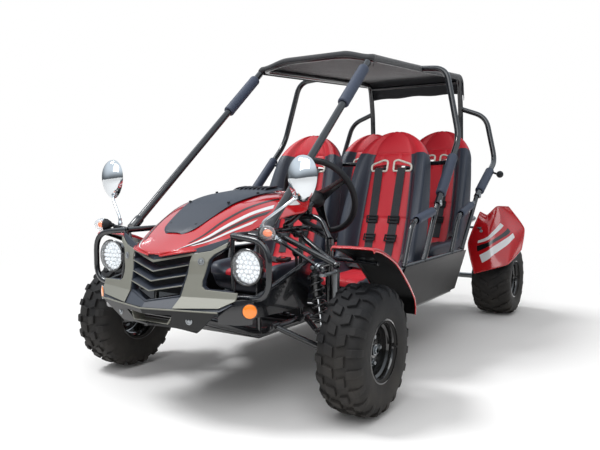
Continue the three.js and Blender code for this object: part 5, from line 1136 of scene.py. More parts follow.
def stitched(name, paths, material, pitch=0.0085, size=(0.0006, 0.0006, 0.0024)):
    mesh = bpy.data.meshes.new(name)
    points, edges = [], []
    for path in paths:
        first = len(points)
        points += [tuple(p) for p in path]
        edges += [(first + k, first + k + 1) for k in range(len(path) - 1)]
    mesh.from_pydata(points, edges, [])
    obj = link(bpy.data.objects.new(name, mesh))
    return run_tree(obj, STITCHES, {"Pitch": pitch, "Stitch Size": size, "Material": material})


seam_paths = []
for side in (1, -1):
    for offset in (-0.022, 0.022):
        seam_paths.append([on_seat(side * COVER_EDGE * (BOLSTER_SHARE + offset), v, 0.0006)[0]
                           for v in np.linspace(0.3, 5.5, 90)])
for seam in (HEAD_SEAM + 0.05, MID_SEAM + 0.04):
    seam_paths.append([on_seat(s, seam, 0.0006)[0] for s in np.linspace(-0.5, 0.5, 30)])
thread_red = finish("stitch_thread", "b8242e", "c8343c", (0.6, 0.7), bump=0.0, dust=0.0)
stitch_master = stitched("stitch_master", seam_paths, thread_red)
frame_loops = Shape()
for side in (1, -1):
    corners = [(SLOT_INNER - 0.004, SLOT_LOW - 0.009), (SLOT_OUTER + 0.005, SLOT_LOW - 0.004),
               (SLOT_OUTER + 0.005, SLOT_HIGH - 0.001), (SLOT_INNER + 0.018, SLOT_HIGH + 0.017),
               (SLOT_INNER - 0.004, SLOT_HIGH + 0.012)]
    loop = []
    for x, z in corners:
        v = HEAD_V + (z - HEAD_Z) / 0.115 if z > HEAD_Z else 4 + (z - 0.65) / 0.275
        loop.append(seat_point(x / 0.2, v, 0.003) + Vector((side * x - x, 0, 0)))
    smooth_loop = rounded([loop[-1].lerp(loop[0], 0.5), *loop, loop[-1].lerp(loop[0], 0.5)], 0.014, 5)[:-1]
    frame_loops.add(sweep(smooth_loop, 0.0055, sides=12, closed=True))
loops_master = piece("loops_master", frame_loops, white_plastic, angle=60)


def on_every_seat(master, kind, slot, is_pad=False):
    """Copies a finished piece onto the four seats and removes the first one."""
    for node, place in SEAT_PLACES.items():
        copy = link(bpy.data.objects.new(f"{node}_{kind}", master.data.copy()))
        copy.data.transform(Matrix.Translation(place))
        rides(copy, "chassis", slot, *([node] if is_pad else []))
    bpy.data.objects.remove(master)


on_every_seat(seat_master, "pad", "seat_vinyl", is_pad=True)
on_every_seat(stitch_master, "stitches", "seat_vinyl")
on_every_seat(loops_master, "slot_frames", "bumper_grey")
print("seats placed:", ", ".join(SEAT_PLACES))

# %% [markdown]
# Each seat has a four-point harness: two shoulder straps that come through the slots, slide adjusters, lap
# straps and a buckle. Webbing is flat and stiff across its width, so a strap is a flat strip that follows
# the seat's surface a few millimetres above it.

# %% Belts
STRAP_HALF, STRAP_THICK = 0.0225, 0.0022


def ribbon(centres, across, normals, half=STRAP_HALF, thick=STRAP_THICK):
    rings = []
    for centre, way, normal in zip(centres, across, normals):
        rings.append([centre - way * half, centre + way * half, centre + way * half + normal * thick,
                      centre - way * half + normal * thick])
    return skin(rings)


straps, hardware = Shape(), Shape()
for side in (1, -1):
    centres, normals = [], []
    for v, out, lift in [(v, 0.064 - 0.004 * (5.0 - v), 0.0045 + 0.006 * math.sin(1.3 * v))
                         for v in np.linspace(4.93, 3.15, 46)]:
        half = station(v)[3]
        place, normal = on_seat(side * out / half, v, lift, STRAP_HALF)
        centres.append(place)
        normals.append(normal)
    through = [centres[0] + Vector((0, 0.012, 0.01)), centres[0] + Vector((0, 0.045, 0.008)),
               centres[0] + Vector((0, 0.1, -0.02))]
    for _ in range(3):
        centres = [centres[0], *[(a + b * 2 + c) / 4 for a, b, c in zip(centres, centres[1:], centres[2:])],
                   centres[-1]]
    centres = list(reversed(through)) + centres
    normals = [Vector((0, -0.3, 0.95)), Vector((0, -0.5, 0.86)), Vector((0, -0.8, 0.6))] + normals
    across = [Vector((1, 0, 0))] * len(centres)
    straps.add(ribbon(centres, across, normals))
    for v in (4.02, 3.62):
        half = station(v)[3]
        place, normal = on_seat(side * (0.064 - 0.004 * (5 - v)) / half, v, 0.0125 + 0.006 * math.sin(1.3 * v),
                                STRAP_HALF)
        down = Vector((0, normal.z, -normal.y)) * -1
        for offset in (-0.017, 0.0, 0.017):
            bar_place = place + down * offset
            hardware.add(sweep([bar_place - Vector((0.031, 0, 0)), bar_place + Vector((0.031, 0, 0))], 0.0036,
                               sides=10, flat=0.7))
        for end in (-1, 1):
            hardware.add(sweep([place + down * -0.019 + Vector((end * 0.029, 0, 0)),
                                place + down * 0.019 + Vector((end * 0.029, 0, 0))], 0.0042, sides=10, flat=0.7))
    lap = []
    for t in np.linspace(0, 1, 22):
        v = 2.95 - 0.55 * t
        share = side * (0.8 - 0.68 * t)
        place, normal = on_seat(share, v, 0.006 + 0.01 * math.sin(math.pi * t), 0.01)
        lap.append((place, normal))
    way_list = []
    for k in range(len(lap)):
        before, after = lap[max(k - 1, 0)][0], lap[min(k + 1, len(lap) - 1)][0]
        way_list.append((after - before).normalized().cross(lap[k][1]).normalized())
    straps.add(ribbon([p for p, _ in lap], way_list, [n for _, n in lap]))
buckle_place, buckle_normal = on_seat(0.0, 2.36, 0.012, 0.03)
buckle_up = Vector((0, buckle_normal.z, -buckle_normal.y))
buckle = Shape(skin([[buckle_place + Vector((x, 0, 0)) + buckle_up * y + buckle_normal * h
                      for x, y in ((-0.036, -0.024), (0.036, -0.024), (0.04, 0.0), (0.036, 0.024),
                                   (-0.036, 0.024), (-0.04, 0.0))]
                     for h in (0.0, 0.018)]))
release = Shape(lathe([(0.0, 0.015), (0.004, 0.015), (0.005, 0.0135), (0.005, 0.001)],
                      buckle_place + buckle_normal * 0.018, buckle_normal, 24, closed=False))
strap_master = piece("strap_master", straps, webbing_black, angle=50)
hardware_master = merged("hardware_master", [piece("hardware", hardware, grip_black),
                                             piece("buckle", buckle, grip_black, bevel=0.004),
                                             piece("release", release, gloss_red)])
on_every_seat(strap_master, "belts", "grip_black")
on_every_seat(hardware_master, "buckles", "grip_black")
print("belts on", len(SEAT_PLACES), "seats")

# %% [markdown]
# The bodywork is thin moulded plastic. Each panel starts as a sheet of points that follows the measured
# sections, then a Solidify modifier gives it its wall and a Bevel modifier rounds its cut edges.

# %% Hood
HOOD = [(-0.442, 0.597, 0.02, 0.596, 0.03, 0.59), (-0.421, 0.612, 0.08, 0.612, 0.12, 0.606),
        (-0.333, 0.664, 0.12, 0.656, 0.178, 0.618), (-0.23, 0.723, 0.135, 0.712, 0.225, 0.655),
        (-0.119, 0.775, 0.15, 0.758, 0.258, 0.694), (0.006, 0.796, 0.158, 0.786, 0.29, 0.722),
        (0.1, 0.806, 0.165, 0.796, 0.3, 0.735), (0.242, 0.812, 0.16, 0.802, 0.232, 0.776)]
SWELL = 0.006


def sheet(name, rows_of_points, material, thick, offset=-1.0, bevel=0.0012, angle=40, skip=None, inner=None):
    """A grid of points as a panel with a wall; skip leaves cells open, inner paints the far side."""
    obj = piece(name, Shape(grid(rows_of_points, skip)), material, angle=angle)
    if inner:
        obj.data.materials.append(inner)
    wall = obj.modifiers.new("wall", "SOLIDIFY")
    wall.thickness, wall.offset = thick, offset
    if inner:
        wall.material_offset = 1
    if bevel:
        round_edges(obj, bevel, 2, math.radians(50))
    settle(obj)
    obj.data.set_sharp_from_angle(angle=math.radians(angle))
    return obj


def hood_point(u, v):
    """u runs from edge to edge in 6 steps, v from the nose to the cowl in 7."""
    y, crown_z, ridge_x, ridge_z, edge_x, edge_z = between(HOOD, v)
    half = [(edge_x, edge_z), ((edge_x + ridge_x) / 2, (edge_z + ridge_z) / 2 + SWELL), (ridge_x, ridge_z)]
    x, z = between([(-x, z) for x, z in half] + [(0.0, crown_z)] + list(reversed(half)), u, 0.36)
    return (x, y + AXLE_SHIFT, z)


def hood_row(v, columns=48):
    return [hood_point(6 * k / columns, v) for k in range(columns + 1)]


def decal(name, point, corners, material, facing=(0, 0, 1), lift=0.0009, steps=24):
    """A thin printed patch over a surface, between four corners in the surface's own (u, v)."""
    facing = Vector(facing)
    a, b, c, d = [Vector(corner) for corner in corners]
    rows = []
    for j in range(9):
        row = []
        for i in range(steps + 1):
            u, v = a.lerp(b, i / steps).lerp(d.lerp(c, i / steps), j / 8)
            here = Vector(point(u, v))
            out = (Vector(point(u + 0.02, v)) - here).cross(Vector(point(u, v + 0.02)) - here).normalized()
            row.append(here + out * (lift if out.dot(facing) > 0 else -lift))
        rows.append(row)
    return sheet(name, rows, material, 0.0003, offset=0, bevel=0, angle=60)


hood_rows = [hood_row(v) for v in np.linspace(0, 7, 71)]
hood_shell = sheet("hood_shell", hood_rows, gloss_red, 0.0035, bevel=0.001)
rides(hood_shell, "chassis", "body_red", "hood")


def border_of(rows):
    return rows[0] + [row[-1] for row in rows[1:]] + rows[-1][-2::-1] + [row[0] for row in rows[-2:0:-1]]


lip = Shape(sweep([Vector(p) for p in border_of(hood_rows)], 0.0038, sides=10, closed=True))
hood_lip = piece("hood_lip", lip, gloss_red, angle=60)
rides(hood_lip, "chassis", "body_red")
SHARDS = [(decal_white, [(1.62, 0.75), (1.05, 4.9), (0.8, 4.7), (1.3, 0.95)]),
          (decal_black, [(1.22, 1.15), (0.7, 4.6), (0.58, 4.3), (1.00, 1.3)]),
          (decal_white, [(0.92, 1.4), (0.5, 3.9), (0.42, 3.6), (0.78, 1.5)]),
          (decal_black, [(1.95, 1.5), (1.55, 5.6), (1.42, 5.5), (1.78, 1.6)]),
          (decal_white, [(1.2, 5.2), (0.95, 6.3), (0.55, 6.2), (0.85, 5.1)])]
marks = []
for k, (paint, corners) in enumerate(SHARDS):
    for flip in (False, True):
        marks.append(decal(f"hood_mark_{k}", hood_point, [((6 - u if flip else u), v) for u, v in corners], paint))
hood_marks = merged("hood_marks", marks)
rides(hood_marks, "chassis", "body_red")
print("hood:", len(hood_shell.data.polygons), "faces")

# %% Hood insert with its louvres
INSERT = [(-0.34, 0.04, 0.664), (-0.3, 0.078, 0.69), (-0.139, 0.112, 0.77), (0.006, 0.122, 0.803),
          (0.23, 0.112, 0.826)]
LOUVRES, LOUVRE_HALF, LOUVRE_WIDE, LOUVRE_FRONT, LOUVRE_REAR = 8, 0.09, 0.009, 0.13, 0.215
slot_centres = [LOUVRE_HALF * ((k + 0.5) / LOUVRES * 2 - 1) for k in range(LOUVRES)]
slot_edges = sorted([c + d for c in slot_centres for d in (-LOUVRE_WIDE / 2, LOUVRE_WIDE / 2)])
insert_rows = []
edges = [e / 0.117 for e in slot_edges]
shares = [-1, -0.975, -0.94, *edges[:8], 0.0, *edges[8:], 0.94, 0.975, 1]
stations = sorted([*np.linspace(0, 4, 37), 3 + (LOUVRE_FRONT - 0.006) / 0.224, 3 + (LOUVRE_REAR - 0.006) / 0.224])
for v in stations:
    y, half, z = between(INSERT, v, 0.4)
    row = []
    for share in shares:
        x = share * half if abs(share) > 0.9 or v < 3 else share * 0.117
        fall = 0.004 * smooth_step((abs(share) - 0.8) / 0.2) + 0.003 * share * share
        row.append((x, y + AXLE_SHIFT, z + 0.001 - fall))
    insert_rows.append(row)
first_row = next(i for i, v in enumerate(stations) if v > 3 + (LOUVRE_FRONT - 0.006) / 0.224 - 1e-6)
last_row = next(i for i, v in enumerate(stations) if v > 3 + (LOUVRE_REAR - 0.006) / 0.224 - 1e-6)
slot_cells = [3 + 2 * k for k in range(4)] + [12 + 2 * k for k in range(4)]
insert_shell = sheet("insert_shell", insert_rows, slate_plastic, 0.0032, bevel=0.0008,
                     skip=lambda i, j: i in slot_cells and first_row <= j < last_row)
rides(insert_shell, "chassis", "insert_slate", "hood_insert")
louvre = Shape()
first_x = slot_centres[0]
profile = [(0.0, 0.0), (0.004, 0.006), (0.01, 0.01), (0.014, 0.009), (0.01, 0.0075), (0.006, 0.004), (0.0025, 0.0)]
louvre.add(skin([[(first_x - 0.0065 + a, y + AXLE_SHIFT, 0.8165 + (y - 0.13) * 0.1 + b * h) for a, b in profile]
                 for y, h in ((0.122, 0.15), (0.13, 0.8), (0.15, 1.0), (0.195, 1.0), (0.212, 0.8),
                              (0.222, 0.15))]))
pitch = slot_centres[1] - slot_centres[0]
louvres = repeated("insert_louvres", louvre, slate_plastic, LOUVRES, step=(pitch, 0, 0), axis="z")
rides(louvres, "chassis", "insert_slate")
screws = Shape()
for x, y, z in ((0.098, -0.139, 0.772), (0.108, 0.04, 0.806), (0.06, -0.285, 0.694)):
    for side in (1, -1):
        screws.add(lathe([(-0.002, 0.006), (0.0015, 0.006), (0.003, 0.0045), (0.003, 0.0)],
                         (side * x, y + AXLE_SHIFT, z), (0, -0.3, 1), 20))
hood_screws = piece("hood_screws", screws, grip_black)
rides(hood_screws, "chassis", "insert_slate")
print("louvres:", LOUVRES)

# %% Front and rear fenders
FENDER_LINE = [(-0.104, 0.618), (-0.088, 0.624), (-0.02, 0.608), (0.095, 0.56), (0.206, 0.476), (0.282, 0.402),
               (0.302, 0.354), (0.3, 0.322)]
FENDER_IN = 0.528
fender_section = [(0.0, 0.015), (0.0008, 0.006), (0.005, 0.0012), (0.014, 0.0), (0.05, -0.0008), (0.086, -0.0015),
                  (0.122, -0.0008), (0.158, 0.0), (0.167, 0.0012), (0.1712, 0.006), (0.172, 0.015)]
fender_rows = []
for v in np.linspace(0, 7, 64):
    y, z = between(FENDER_LINE, v, 0.4)
    y1, z1 = between(FENDER_LINE, min(v + 0.02, 7), 0.4)
    y0, z0 = between(FENDER_LINE, max(v - 0.02, 0), 0.4)
    run = Vector((y1 - y0, z1 - z0)).normalized()
    fender_rows.append([(FENDER_IN + a, y + AXLE_SHIFT + run.y * d, z - run.x * d) for a, d in fender_section])
for side, end in ((1, "left"), (-1, "right")):
    rows_here = [[(side * x, y, z) for x, y, z in row] for row in fender_rows]
    fender = sheet(f"fender_front_{end}", rows_here, gloss_red, 0.0034, bevel=0.0009, inner=panel_black)
    rides(fender, "chassis", "body_red", f"front_fender_{end}")

REAR_FENDER = [[(0.475, 1.826, 0.284), (0.582, 1.824, 0.32), (0.668, 1.868, 0.352), (0.706, 2.04, 0.425)],
               [(0.412, 1.896, 0.462), (0.548, 1.868, 0.48), (0.655, 1.95, 0.524), (0.706, 2.1, 0.556)],
               [(0.468, 1.955, 0.66), (0.51, 1.968, 0.64), (0.562, 1.992, 0.694), (0.628, 2.014, 0.694)]]


def rear_point(u, v, side=1):
    x, y, z = between([between(line, v, 0.3) for line in zip(*REAR_FENDER)], u, 0.26)
    return (side * (x + 0.004 * math.sin(math.pi * u / 3) * math.sin(math.pi * v / 2)), y + AXLE_SHIFT, z)


REAR_SHARDS = [(decal_white, [(0.55, 0.35), (2.3, 0.8), (2.2, 1.02), (0.5, 0.58)]),
               (decal_black, [(0.45, 0.68), (2.1, 1.12), (2.0, 1.26), (0.45, 0.86)]),
               (decal_white, [(0.5, 0.98), (1.8, 1.36), (1.7, 1.46), (0.5, 1.1)])]
bulge = [[rear_point(u, v) for u in np.linspace(0, 3, 48)] for v in np.linspace(0, 2, 40)]
for side, end in ((1, "left"), (-1, "right")):
    rows_here = [[(side * x, y, z) for x, y, z in row] for row in bulge]
    fender = sheet(f"fender_rear_{end}", rows_here, gloss_red, 0.0045, bevel=0.0012, inner=panel_black, angle=50)
    rides(fender, "chassis", "body_red", f"rear_fender_{end}")
    rim = Shape(sweep([Vector(p) for p in border_of(rows_here)[::2]], 0.0042, sides=10, closed=True))
    rides(piece(f"fender_lip_{end}", rim, gloss_red, angle=60), "chassis", "body_red")
    marks = [decal("mark", lambda u, v: rear_point(u, v, side), corners, paint, facing=(side * 0.6, -0.8, 0.3))
             for paint, corners in REAR_SHARDS]
    fender_marks = merged(f"fender_marks_{end}", marks)
    rides(fender_marks, "chassis", "body_red")
fender_bolts = Shape()
for side in (1, -1):
    fender_bolts.add(bolt((side * 0.612, -0.878, 0.5625), (0, 0.35, 0.94), 0.007, 0.005))
    fender_bolts.add(bolt((side * 0.57, -0.872, 0.5605), (0, 0.35, 0.94), 0.007, 0.005))
    fender_bolts.add(bolt((side * 0.5, 0.928, 0.545), (0.1 * side, -0.95, 0.1), 0.007, 0.005))
fender_screws = piece("fender_screws", fender_bolts, zinc)
rides(fender_screws, "chassis", "chrome")
print("fenders ready")

# %% [markdown]
# The nose moulding is bent back from the middle, and its side line has one knee for each fold. A closed
# sheet of that form is cut to each panel's front-view outline with a Boolean modifier, and a Bevel with
# hardened normals keeps the flats flat between the rounded folds.

# %% Nose moulding
NOSE_LINE = [(-0.47, 0.335), (-0.512, 0.41), (-0.472, 0.454), (-0.447, 0.531), (-0.443, 0.575), (-0.412, 0.65)]
SWEEP_SHARE, NOSE_HALF = 0.27, 0.36


def nose_y(x, z):
    k = 0
    while k < len(NOSE_LINE) - 2 and z > NOSE_LINE[k + 1][1]:
        k += 1
    (y0, z0), (y1, z1) = NOSE_LINE[k], NOSE_LINE[k + 1]
    return y0 + (y1 - y0) * min(max((z - z0) / (z1 - z0), 0), 1) + SWEEP_SHARE * abs(x) + AXLE_SHIFT


def nose_panel(name, outlines, material, front=0.0, thick=0.005, holes=(), bevel=0.0014):
    levels = [0.3, *(z for _, z in NOSE_LINE), 0.68]
    rings = [[(x, front + nose_y(x, z) + back, z) for back,
              order in ((0, (-NOSE_HALF, 0, NOSE_HALF)), (thick, (NOSE_HALF, 0, -NOSE_HALF))) for x in order]
             for z in levels]
    obj = piece(name, Shape(skin(rings)), material)
    for shapes, operation in ((outlines, "INTERSECT"), (holes, "DIFFERENCE")):
        if shapes:
            tool = Shape()
            for outline in shapes:
                tool.add(slab(outline, "y", -2.0, 0.0))
            cut_with(obj, piece("nose_tool", tool, material), operation)
    work = bmesh.new()
    work.from_mesh(obj.data)
    bmesh.ops.remove_doubles(work, verts=work.verts, dist=0.0004)
    bmesh.ops.dissolve_limit(work, angle_limit=math.radians(1), verts=work.verts, edges=work.edges)
    work.to_mesh(obj.data)
    work.free()
    obj.data.shade_smooth()
    round_edges(obj, bevel, 3, math.radians(12)).harden_normals = True
    settle(obj)
    return obj


def whole(half):
    """A left-half outline and its mirror image as one outline across the middle."""
    return [half + [(-x, z) for x, z in reversed(half) if x > 0]]


def pair(half):
    return [half, [(-x, z) for x, z in reversed(half)]]


def nose_wall(line, depth, thick, front=0.0):
    """A wall that runs back from a front-view line, both sides."""
    shape = Shape()
    rings = []
    for k, (x, z) in enumerate(line):
        before, after = line[max(k - 1, 0)], line[min(k + 1, len(line) - 1)]
        run = Vector((after[0] - before[0], after[1] - before[1])).normalized() * thick
        y = nose_y(x, z) + front
        rings.append([(x, y, z), (x + run.y, y, z - run.x), (x + run.y, y + depth, z - run.x), (x, y + depth, z)])
    shape.both_sides(skin(rings))
    return shape


brow = nose_panel("nose_brow", whole([(0, 0.589), (0.15, 0.618), (0.262, 0.656), (0.256, 0.64), (0.206, 0.612),
                                      (0.15, 0.602), (0, 0.573)]),
                  slate_plastic)
wing = nose_panel("nose_wings", pair([(0.142, 0.599), (0.206, 0.611), (0.262, 0.641), (0.258, 0.622), (0.222, 0.6),
                                      (0.208, 0.582), (0.192, 0.508), (0.195, 0.49), (0.208, 0.48), (0.326, 0.474),
                                      (0.324, 0.448), (0.28, 0.424), (0.116, 0.416), (0.124, 0.448)]),
                  silver_plastic, front=-0.004, thick=0.006, bevel=0.002)
shelf = nose_panel("nose_shelf", whole([(0, 0.436), (0.118, 0.457), (0.128, 0.441), (0.3, 0.441), (0.318, 0.436),
                                        (0.285, 0.413), (0, 0.413)]),
                   slate_plastic, front=0.004)
chin = nose_panel("nose_chin", whole([(0, 0.4085), (0.278, 0.4085), (0.178, 0.326), (0.1, 0.34), (0, 0.346)]),
                  chin_black, holes=whole([(0, 0.352), (0.086, 0.352), (0.108, 0.391), (0, 0.391)]))
lip_line = [(0.283 * t, nose_y(0.283 * t, 0.4115) - 0.001, 0.4115) for t in (-1, -0.5, -0.02, 0.02, 0.5, 1)]
nose_lip = piece("nose_lip", Shape(sweep(lip_line, 0.0028, sides=12)), silver_plastic, angle=50)
top_trim = nose_panel("grille_trim", whole([(0, 0.5735), (0.143, 0.6025), (0.143, 0.594), (0, 0.565)]),
                      silver_plastic, front=-0.003, thick=0.01)
walls = nose_wall([(0.14, 0.598), (0.118, 0.455), (0.0, 0.434)], 0.036, -0.003)
outer_walls = nose_wall([(0.256, 0.62), (0.222, 0.6), (0.208, 0.582), (0.192, 0.508), (0.195, 0.49), (0.208, 0.48),
                         (0.3, 0.4755)], 0.02, 0.003)
nose_walls = merged("nose_walls", [piece("wall", shape, slate_plastic, bevel=0.0006)
                                   for shape in (walls, outer_walls)])
blades, edge_line = Shape(), Shape()
for k in range(3):
    share = (k + 1) / 4
    middle, rise, out = 0.566 - 0.134 * share, 0.03 - 0.008 * share, 0.14 - 0.018 * share
    rings = []
    for t in (-1, -0.5, 0, 0.5, 1):
        x, z = out * t, middle + rise * abs(t)
        y = nose_y(x, z)
        rings.append([(x, y - 0.001, z + 0.0015), (x, y + 0.001, z + 0.004), (x, y + 0.032, z + 0.013),
                      (x, y + 0.034, z + 0.01), (x, y + 0.002, z - 0.002), (x, y - 0.001, z - 0.0005)])
    blades.add(skin(rings))
    edge_line.add(sweep([(out * t, nose_y(out * t, middle) - 0.0014, middle + rise * abs(t) + 0.0005)
                         for t in (-1, -0.5, -0.01, 0.01, 0.5, 1)], 0.0019, sides=10))
grille_blades = piece("grille_blades", blades, slate_plastic, angle=30)
grille_edges = piece("grille_edges", edge_line, silver_plastic, angle=60)
scoop = Shape(skin([[(x * s, nose_y(x * s, 0.37) + d, z)
                     for x, z in ((-0.104, 0.389), (-0.084, 0.354), (0.084, 0.354), (0.104, 0.389))] +
                    [(x * s * 0.98, nose_y(x * s, 0.37) + d, z)
                     for x, z in ((0.1, 0.386), (0.081, 0.357), (-0.081, 0.357), (-0.1, 0.386))]
                    for s, d in ((1.0, 0.004), (0.94, 0.03), (0.9, 0.05))]))
mouth_scoop = piece("mouth_scoop", scoop, silver_plastic, angle=40)
# A black sheet about four centimetres behind the grille blades is painted shade: it stands in for the dark inside
# of the nose seen between them.
grille_back = Shape(skin([[(x, nose_y(x, z) + d, z)
                           for x, z in ((-0.112, 0.452), (0.112, 0.452), (0.132, 0.59), (-0.132, 0.59))]
                          for d in (0.042, 0.044)]))
back_panel = piece("grille_shade", grille_back, grip_black)
nose = merged("nose_moulding", [brow, wing, shelf, chin, nose_lip, top_trim, nose_walls, grille_blades,
                                grille_edges, mouth_scoop, back_panel])
rides(nose, "chassis", "bumper_grey", "bumper_cover")
nose_bolts = Shape()
for x, z, back in ((0.182, 0.575, -0.0045), (0.167, 0.372, -0.001)):
    for side in (1, -1):
        place = (side * x, nose_y(x, z) + back, z)
        nose_bolts.add(lathe([(0.0, 0.0125), (0.002, 0.0125), (0.002, 0.0095), (-0.0005, 0.0085), (-0.0005, 0.0)],
                             place, (side * 0.26, -1, 0), 28))
        nose_bolts.add(bolt((place[0], place[1] + 0.0005, z), (side * 0.26, -1, 0), 0.0055, 0.0042))
nose_hardware = piece("nose_hardware", nose_bolts, zinc)
rides(nose_hardware, "chassis", "chrome")
print("nose:", len(nose.data.polygons), "faces")

# %% [markdown]
# A tyre is a turned carcass with moulded lugs. One lug of each row is drawn, and the Geometry Nodes tree
# copies it round the wheel's axis. The rims are turned from one wall line each, as rolled steel rims are.

# %% Wheels
FRONT_LUGS, REAR_LUGS, NUTS = 20, 17, 4


def walled(path, thick):
    """A line of (along, radius) points as a closed profile with a wall."""
    line = [Vector(p) for p in path]
    far = []
    for k, place in enumerate(line):
        way = (line[min(k + 1, len(line) - 1)] - line[max(k - 1, 0)]).normalized()
        far.append(place + Vector((way.y, -way.x)) * thick)
    return [tuple(p) for p in line] + [tuple(p) for p in reversed(far)]


def both_ways(half):
    return half + [(-x, r) for x, r in reversed(half)]


def lug(stations, half_angle, centre, lean=0.0, start=0.0):
    """A tapered block across the tread; a station is place along the axle, foot radius and top radius."""
    rings = []
    for x, foot, top in stations:
        middle = start + lean * abs(x)
        ring = []
        for radius, turn in ((foot, -1.0), (foot, 1.0), (top - 0.0015, 0.9), (top, 0.78), (top, -0.78),
                             (top - 0.0015, -0.9)):
            angle = middle + turn * half_angle
            ring.append((centre[0] + x, centre[1] + radius * math.sin(angle), centre[2] + radius * math.cos(angle)))
        rings.append(ring)
    return skin(rings)


def wheel(end, side, centre, carcass, lug_rows, barrel, disc, cap, body, node_end, count, nut_place):
    tyre = Shape(lathe([(side * x, r) for x, r in both_ways(carcass)], centre, (1, 0, 0), 96))
    parts = [piece(f"{node_end}_carcass", tyre, rubber_black, angle=50)]
    for number, (stations, half_angle, lean, start) in enumerate(lug_rows):
        for way in (1, -1):
            unit = Shape(lug([(way * x, a, b) for x, a, b in stations], half_angle, centre, lean,
                             start + (0 if way > 0 else math.pi / count)))
            parts.append(repeated(f"lugs_{number}_{way + 1}", unit, rubber_black, count, centre, angle=30))
    tyre_obj = merged(f"tyre_{node_end}", parts)
    rides(tyre_obj, body, "tyre_rubber", f"{node_end[:5].rstrip('_')}_tyre_{end}")
    rim = Shape(lathe([(side * x, r) for x, r in walled(both_ways(barrel), 0.003)], centre, (1, 0, 0), 96))
    rim.add(lathe([(side * x, r) for x, r in walled(disc, 0.004)], centre, (1, 0, 0), 96))
    rim.add(lathe([(side * x, r) for x, r in cap], centre, (1, 0, 0), 48))
    rides(piece(f"rim_{node_end}", rim, rim_black, angle=38), body, "rim_black",
          f"{node_end[:5].rstrip('_')}_rim_{end}")
    x, radius = nut_place
    place = (centre[0] + side * x, centre[1], centre[2] + radius)
    nut = Shape(bolt(place, (side, 0, 0), 0.0085, 0.013))
    nuts = repeated(f"nuts_{node_end}", nut, zinc, NUTS, centre)
    stem = Shape(sweep([(centre[0] + side * (barrel[1][0] - 0.012), centre[1] + 0.094, centre[2]),
                        (centre[0] + side * (barrel[1][0] + 0.012), centre[1] + 0.088, centre[2])], 0.0035,
                       sides=12))
    valve = piece(f"valve_{node_end}", stem, grip_black)
    middle = Shape(bolt((centre[0] + side * cap[-2][0], centre[1], centre[2]), (side, 0, 0), 0.0125, 0.01))
    hub = merged(f"wheel_nuts_{node_end}", [nuts, valve, piece(f"hub_nut_{node_end}", middle, zinc)])
    rides(hub, body, "chrome")


front_carcass = [(0.066, 0.1035), (0.0745, 0.106), (0.0795, 0.117), (0.0865, 0.142), (0.0885, 0.168),
                 (0.0865, 0.196), (0.079, 0.214), (0.064, 0.2245), (0.034, 0.2292), (0.004, 0.23)]
front_rows = [([(0.006, 0.226, 0.2395), (0.02, 0.226, 0.241), (0.038, 0.225, 0.2405)], 0.082, 1.3, 0.0),
              ([(0.047, 0.222, 0.2375), (0.066, 0.217, 0.235), (0.081, 0.203, 0.2225), (0.0872, 0.185, 0.2035)],
               0.066, 0.5, 0.15)]
front_barrel = [(0.079, 0.1115), (0.0785, 0.1155), (0.0745, 0.1158), (0.0722, 0.112), (0.0705, 0.1045),
                (0.064, 0.1012), (0.052, 0.1008), (0.045, 0.0925)]
front_disc = [(0.02, 0.0895), (0.02, 0.08), (0.027, 0.069), (0.032, 0.058), (0.032, 0.04), (0.025, 0.034),
              (0.025, 0.018)]
front_cap = [(0.025, 0.033), (0.038, 0.031), (0.04, 0.029), (0.04, 0.0)]
rear_carcass = [(0.094, 0.1035), (0.1035, 0.107), (0.109, 0.119), (0.117, 0.142), (0.12, 0.166), (0.1175, 0.19),
                (0.1085, 0.204), (0.086, 0.2125), (0.046, 0.2165), (0.004, 0.2175)]
rear_rows = [([(0.008, 0.214, 0.2265), (0.03, 0.213, 0.228), (0.052, 0.211, 0.2275)], 0.06, 2.6, 0.0),
             ([(0.06, 0.209, 0.226), (0.088, 0.206, 0.2235), (0.108, 0.197, 0.2125), (0.1188, 0.18, 0.1925)],
              0.056, 2.6, 0.05)]
rear_barrel = [(x + 0.0285, r) for x, r in front_barrel]
rear_disc = [(x + 0.016, r) for x, r in front_disc]
rear_cap = [(x + 0.016, r) for x, r in front_cap]
for side, end in ((1, "left"), (-1, "right")):
    wheel(end, side, (side * 0.616, FRONT_AXLE_Y, WHEEL_Z_FRONT), front_carcass, front_rows, front_barrel,
          front_disc, front_cap, f"front_wheel_{end}", f"front_{end}", FRONT_LUGS, (0.031, 0.048))
    wheel(end, side, (side * 0.551, REAR_AXLE_Y, WHEEL_Z_REAR), rear_carcass, rear_rows, rear_barrel, rear_disc,
          rear_cap, "rear_wheels", f"rear_{end}", REAR_LUGS, (0.047, 0.048))
print("wheels ready")

# %% [markdown]
# The lamps have a clear front over what the light comes from: a cluster of small cells in the headlamps
# and an orange bulb in the signals. The mirrors are chrome shells with a flat glass at the back.

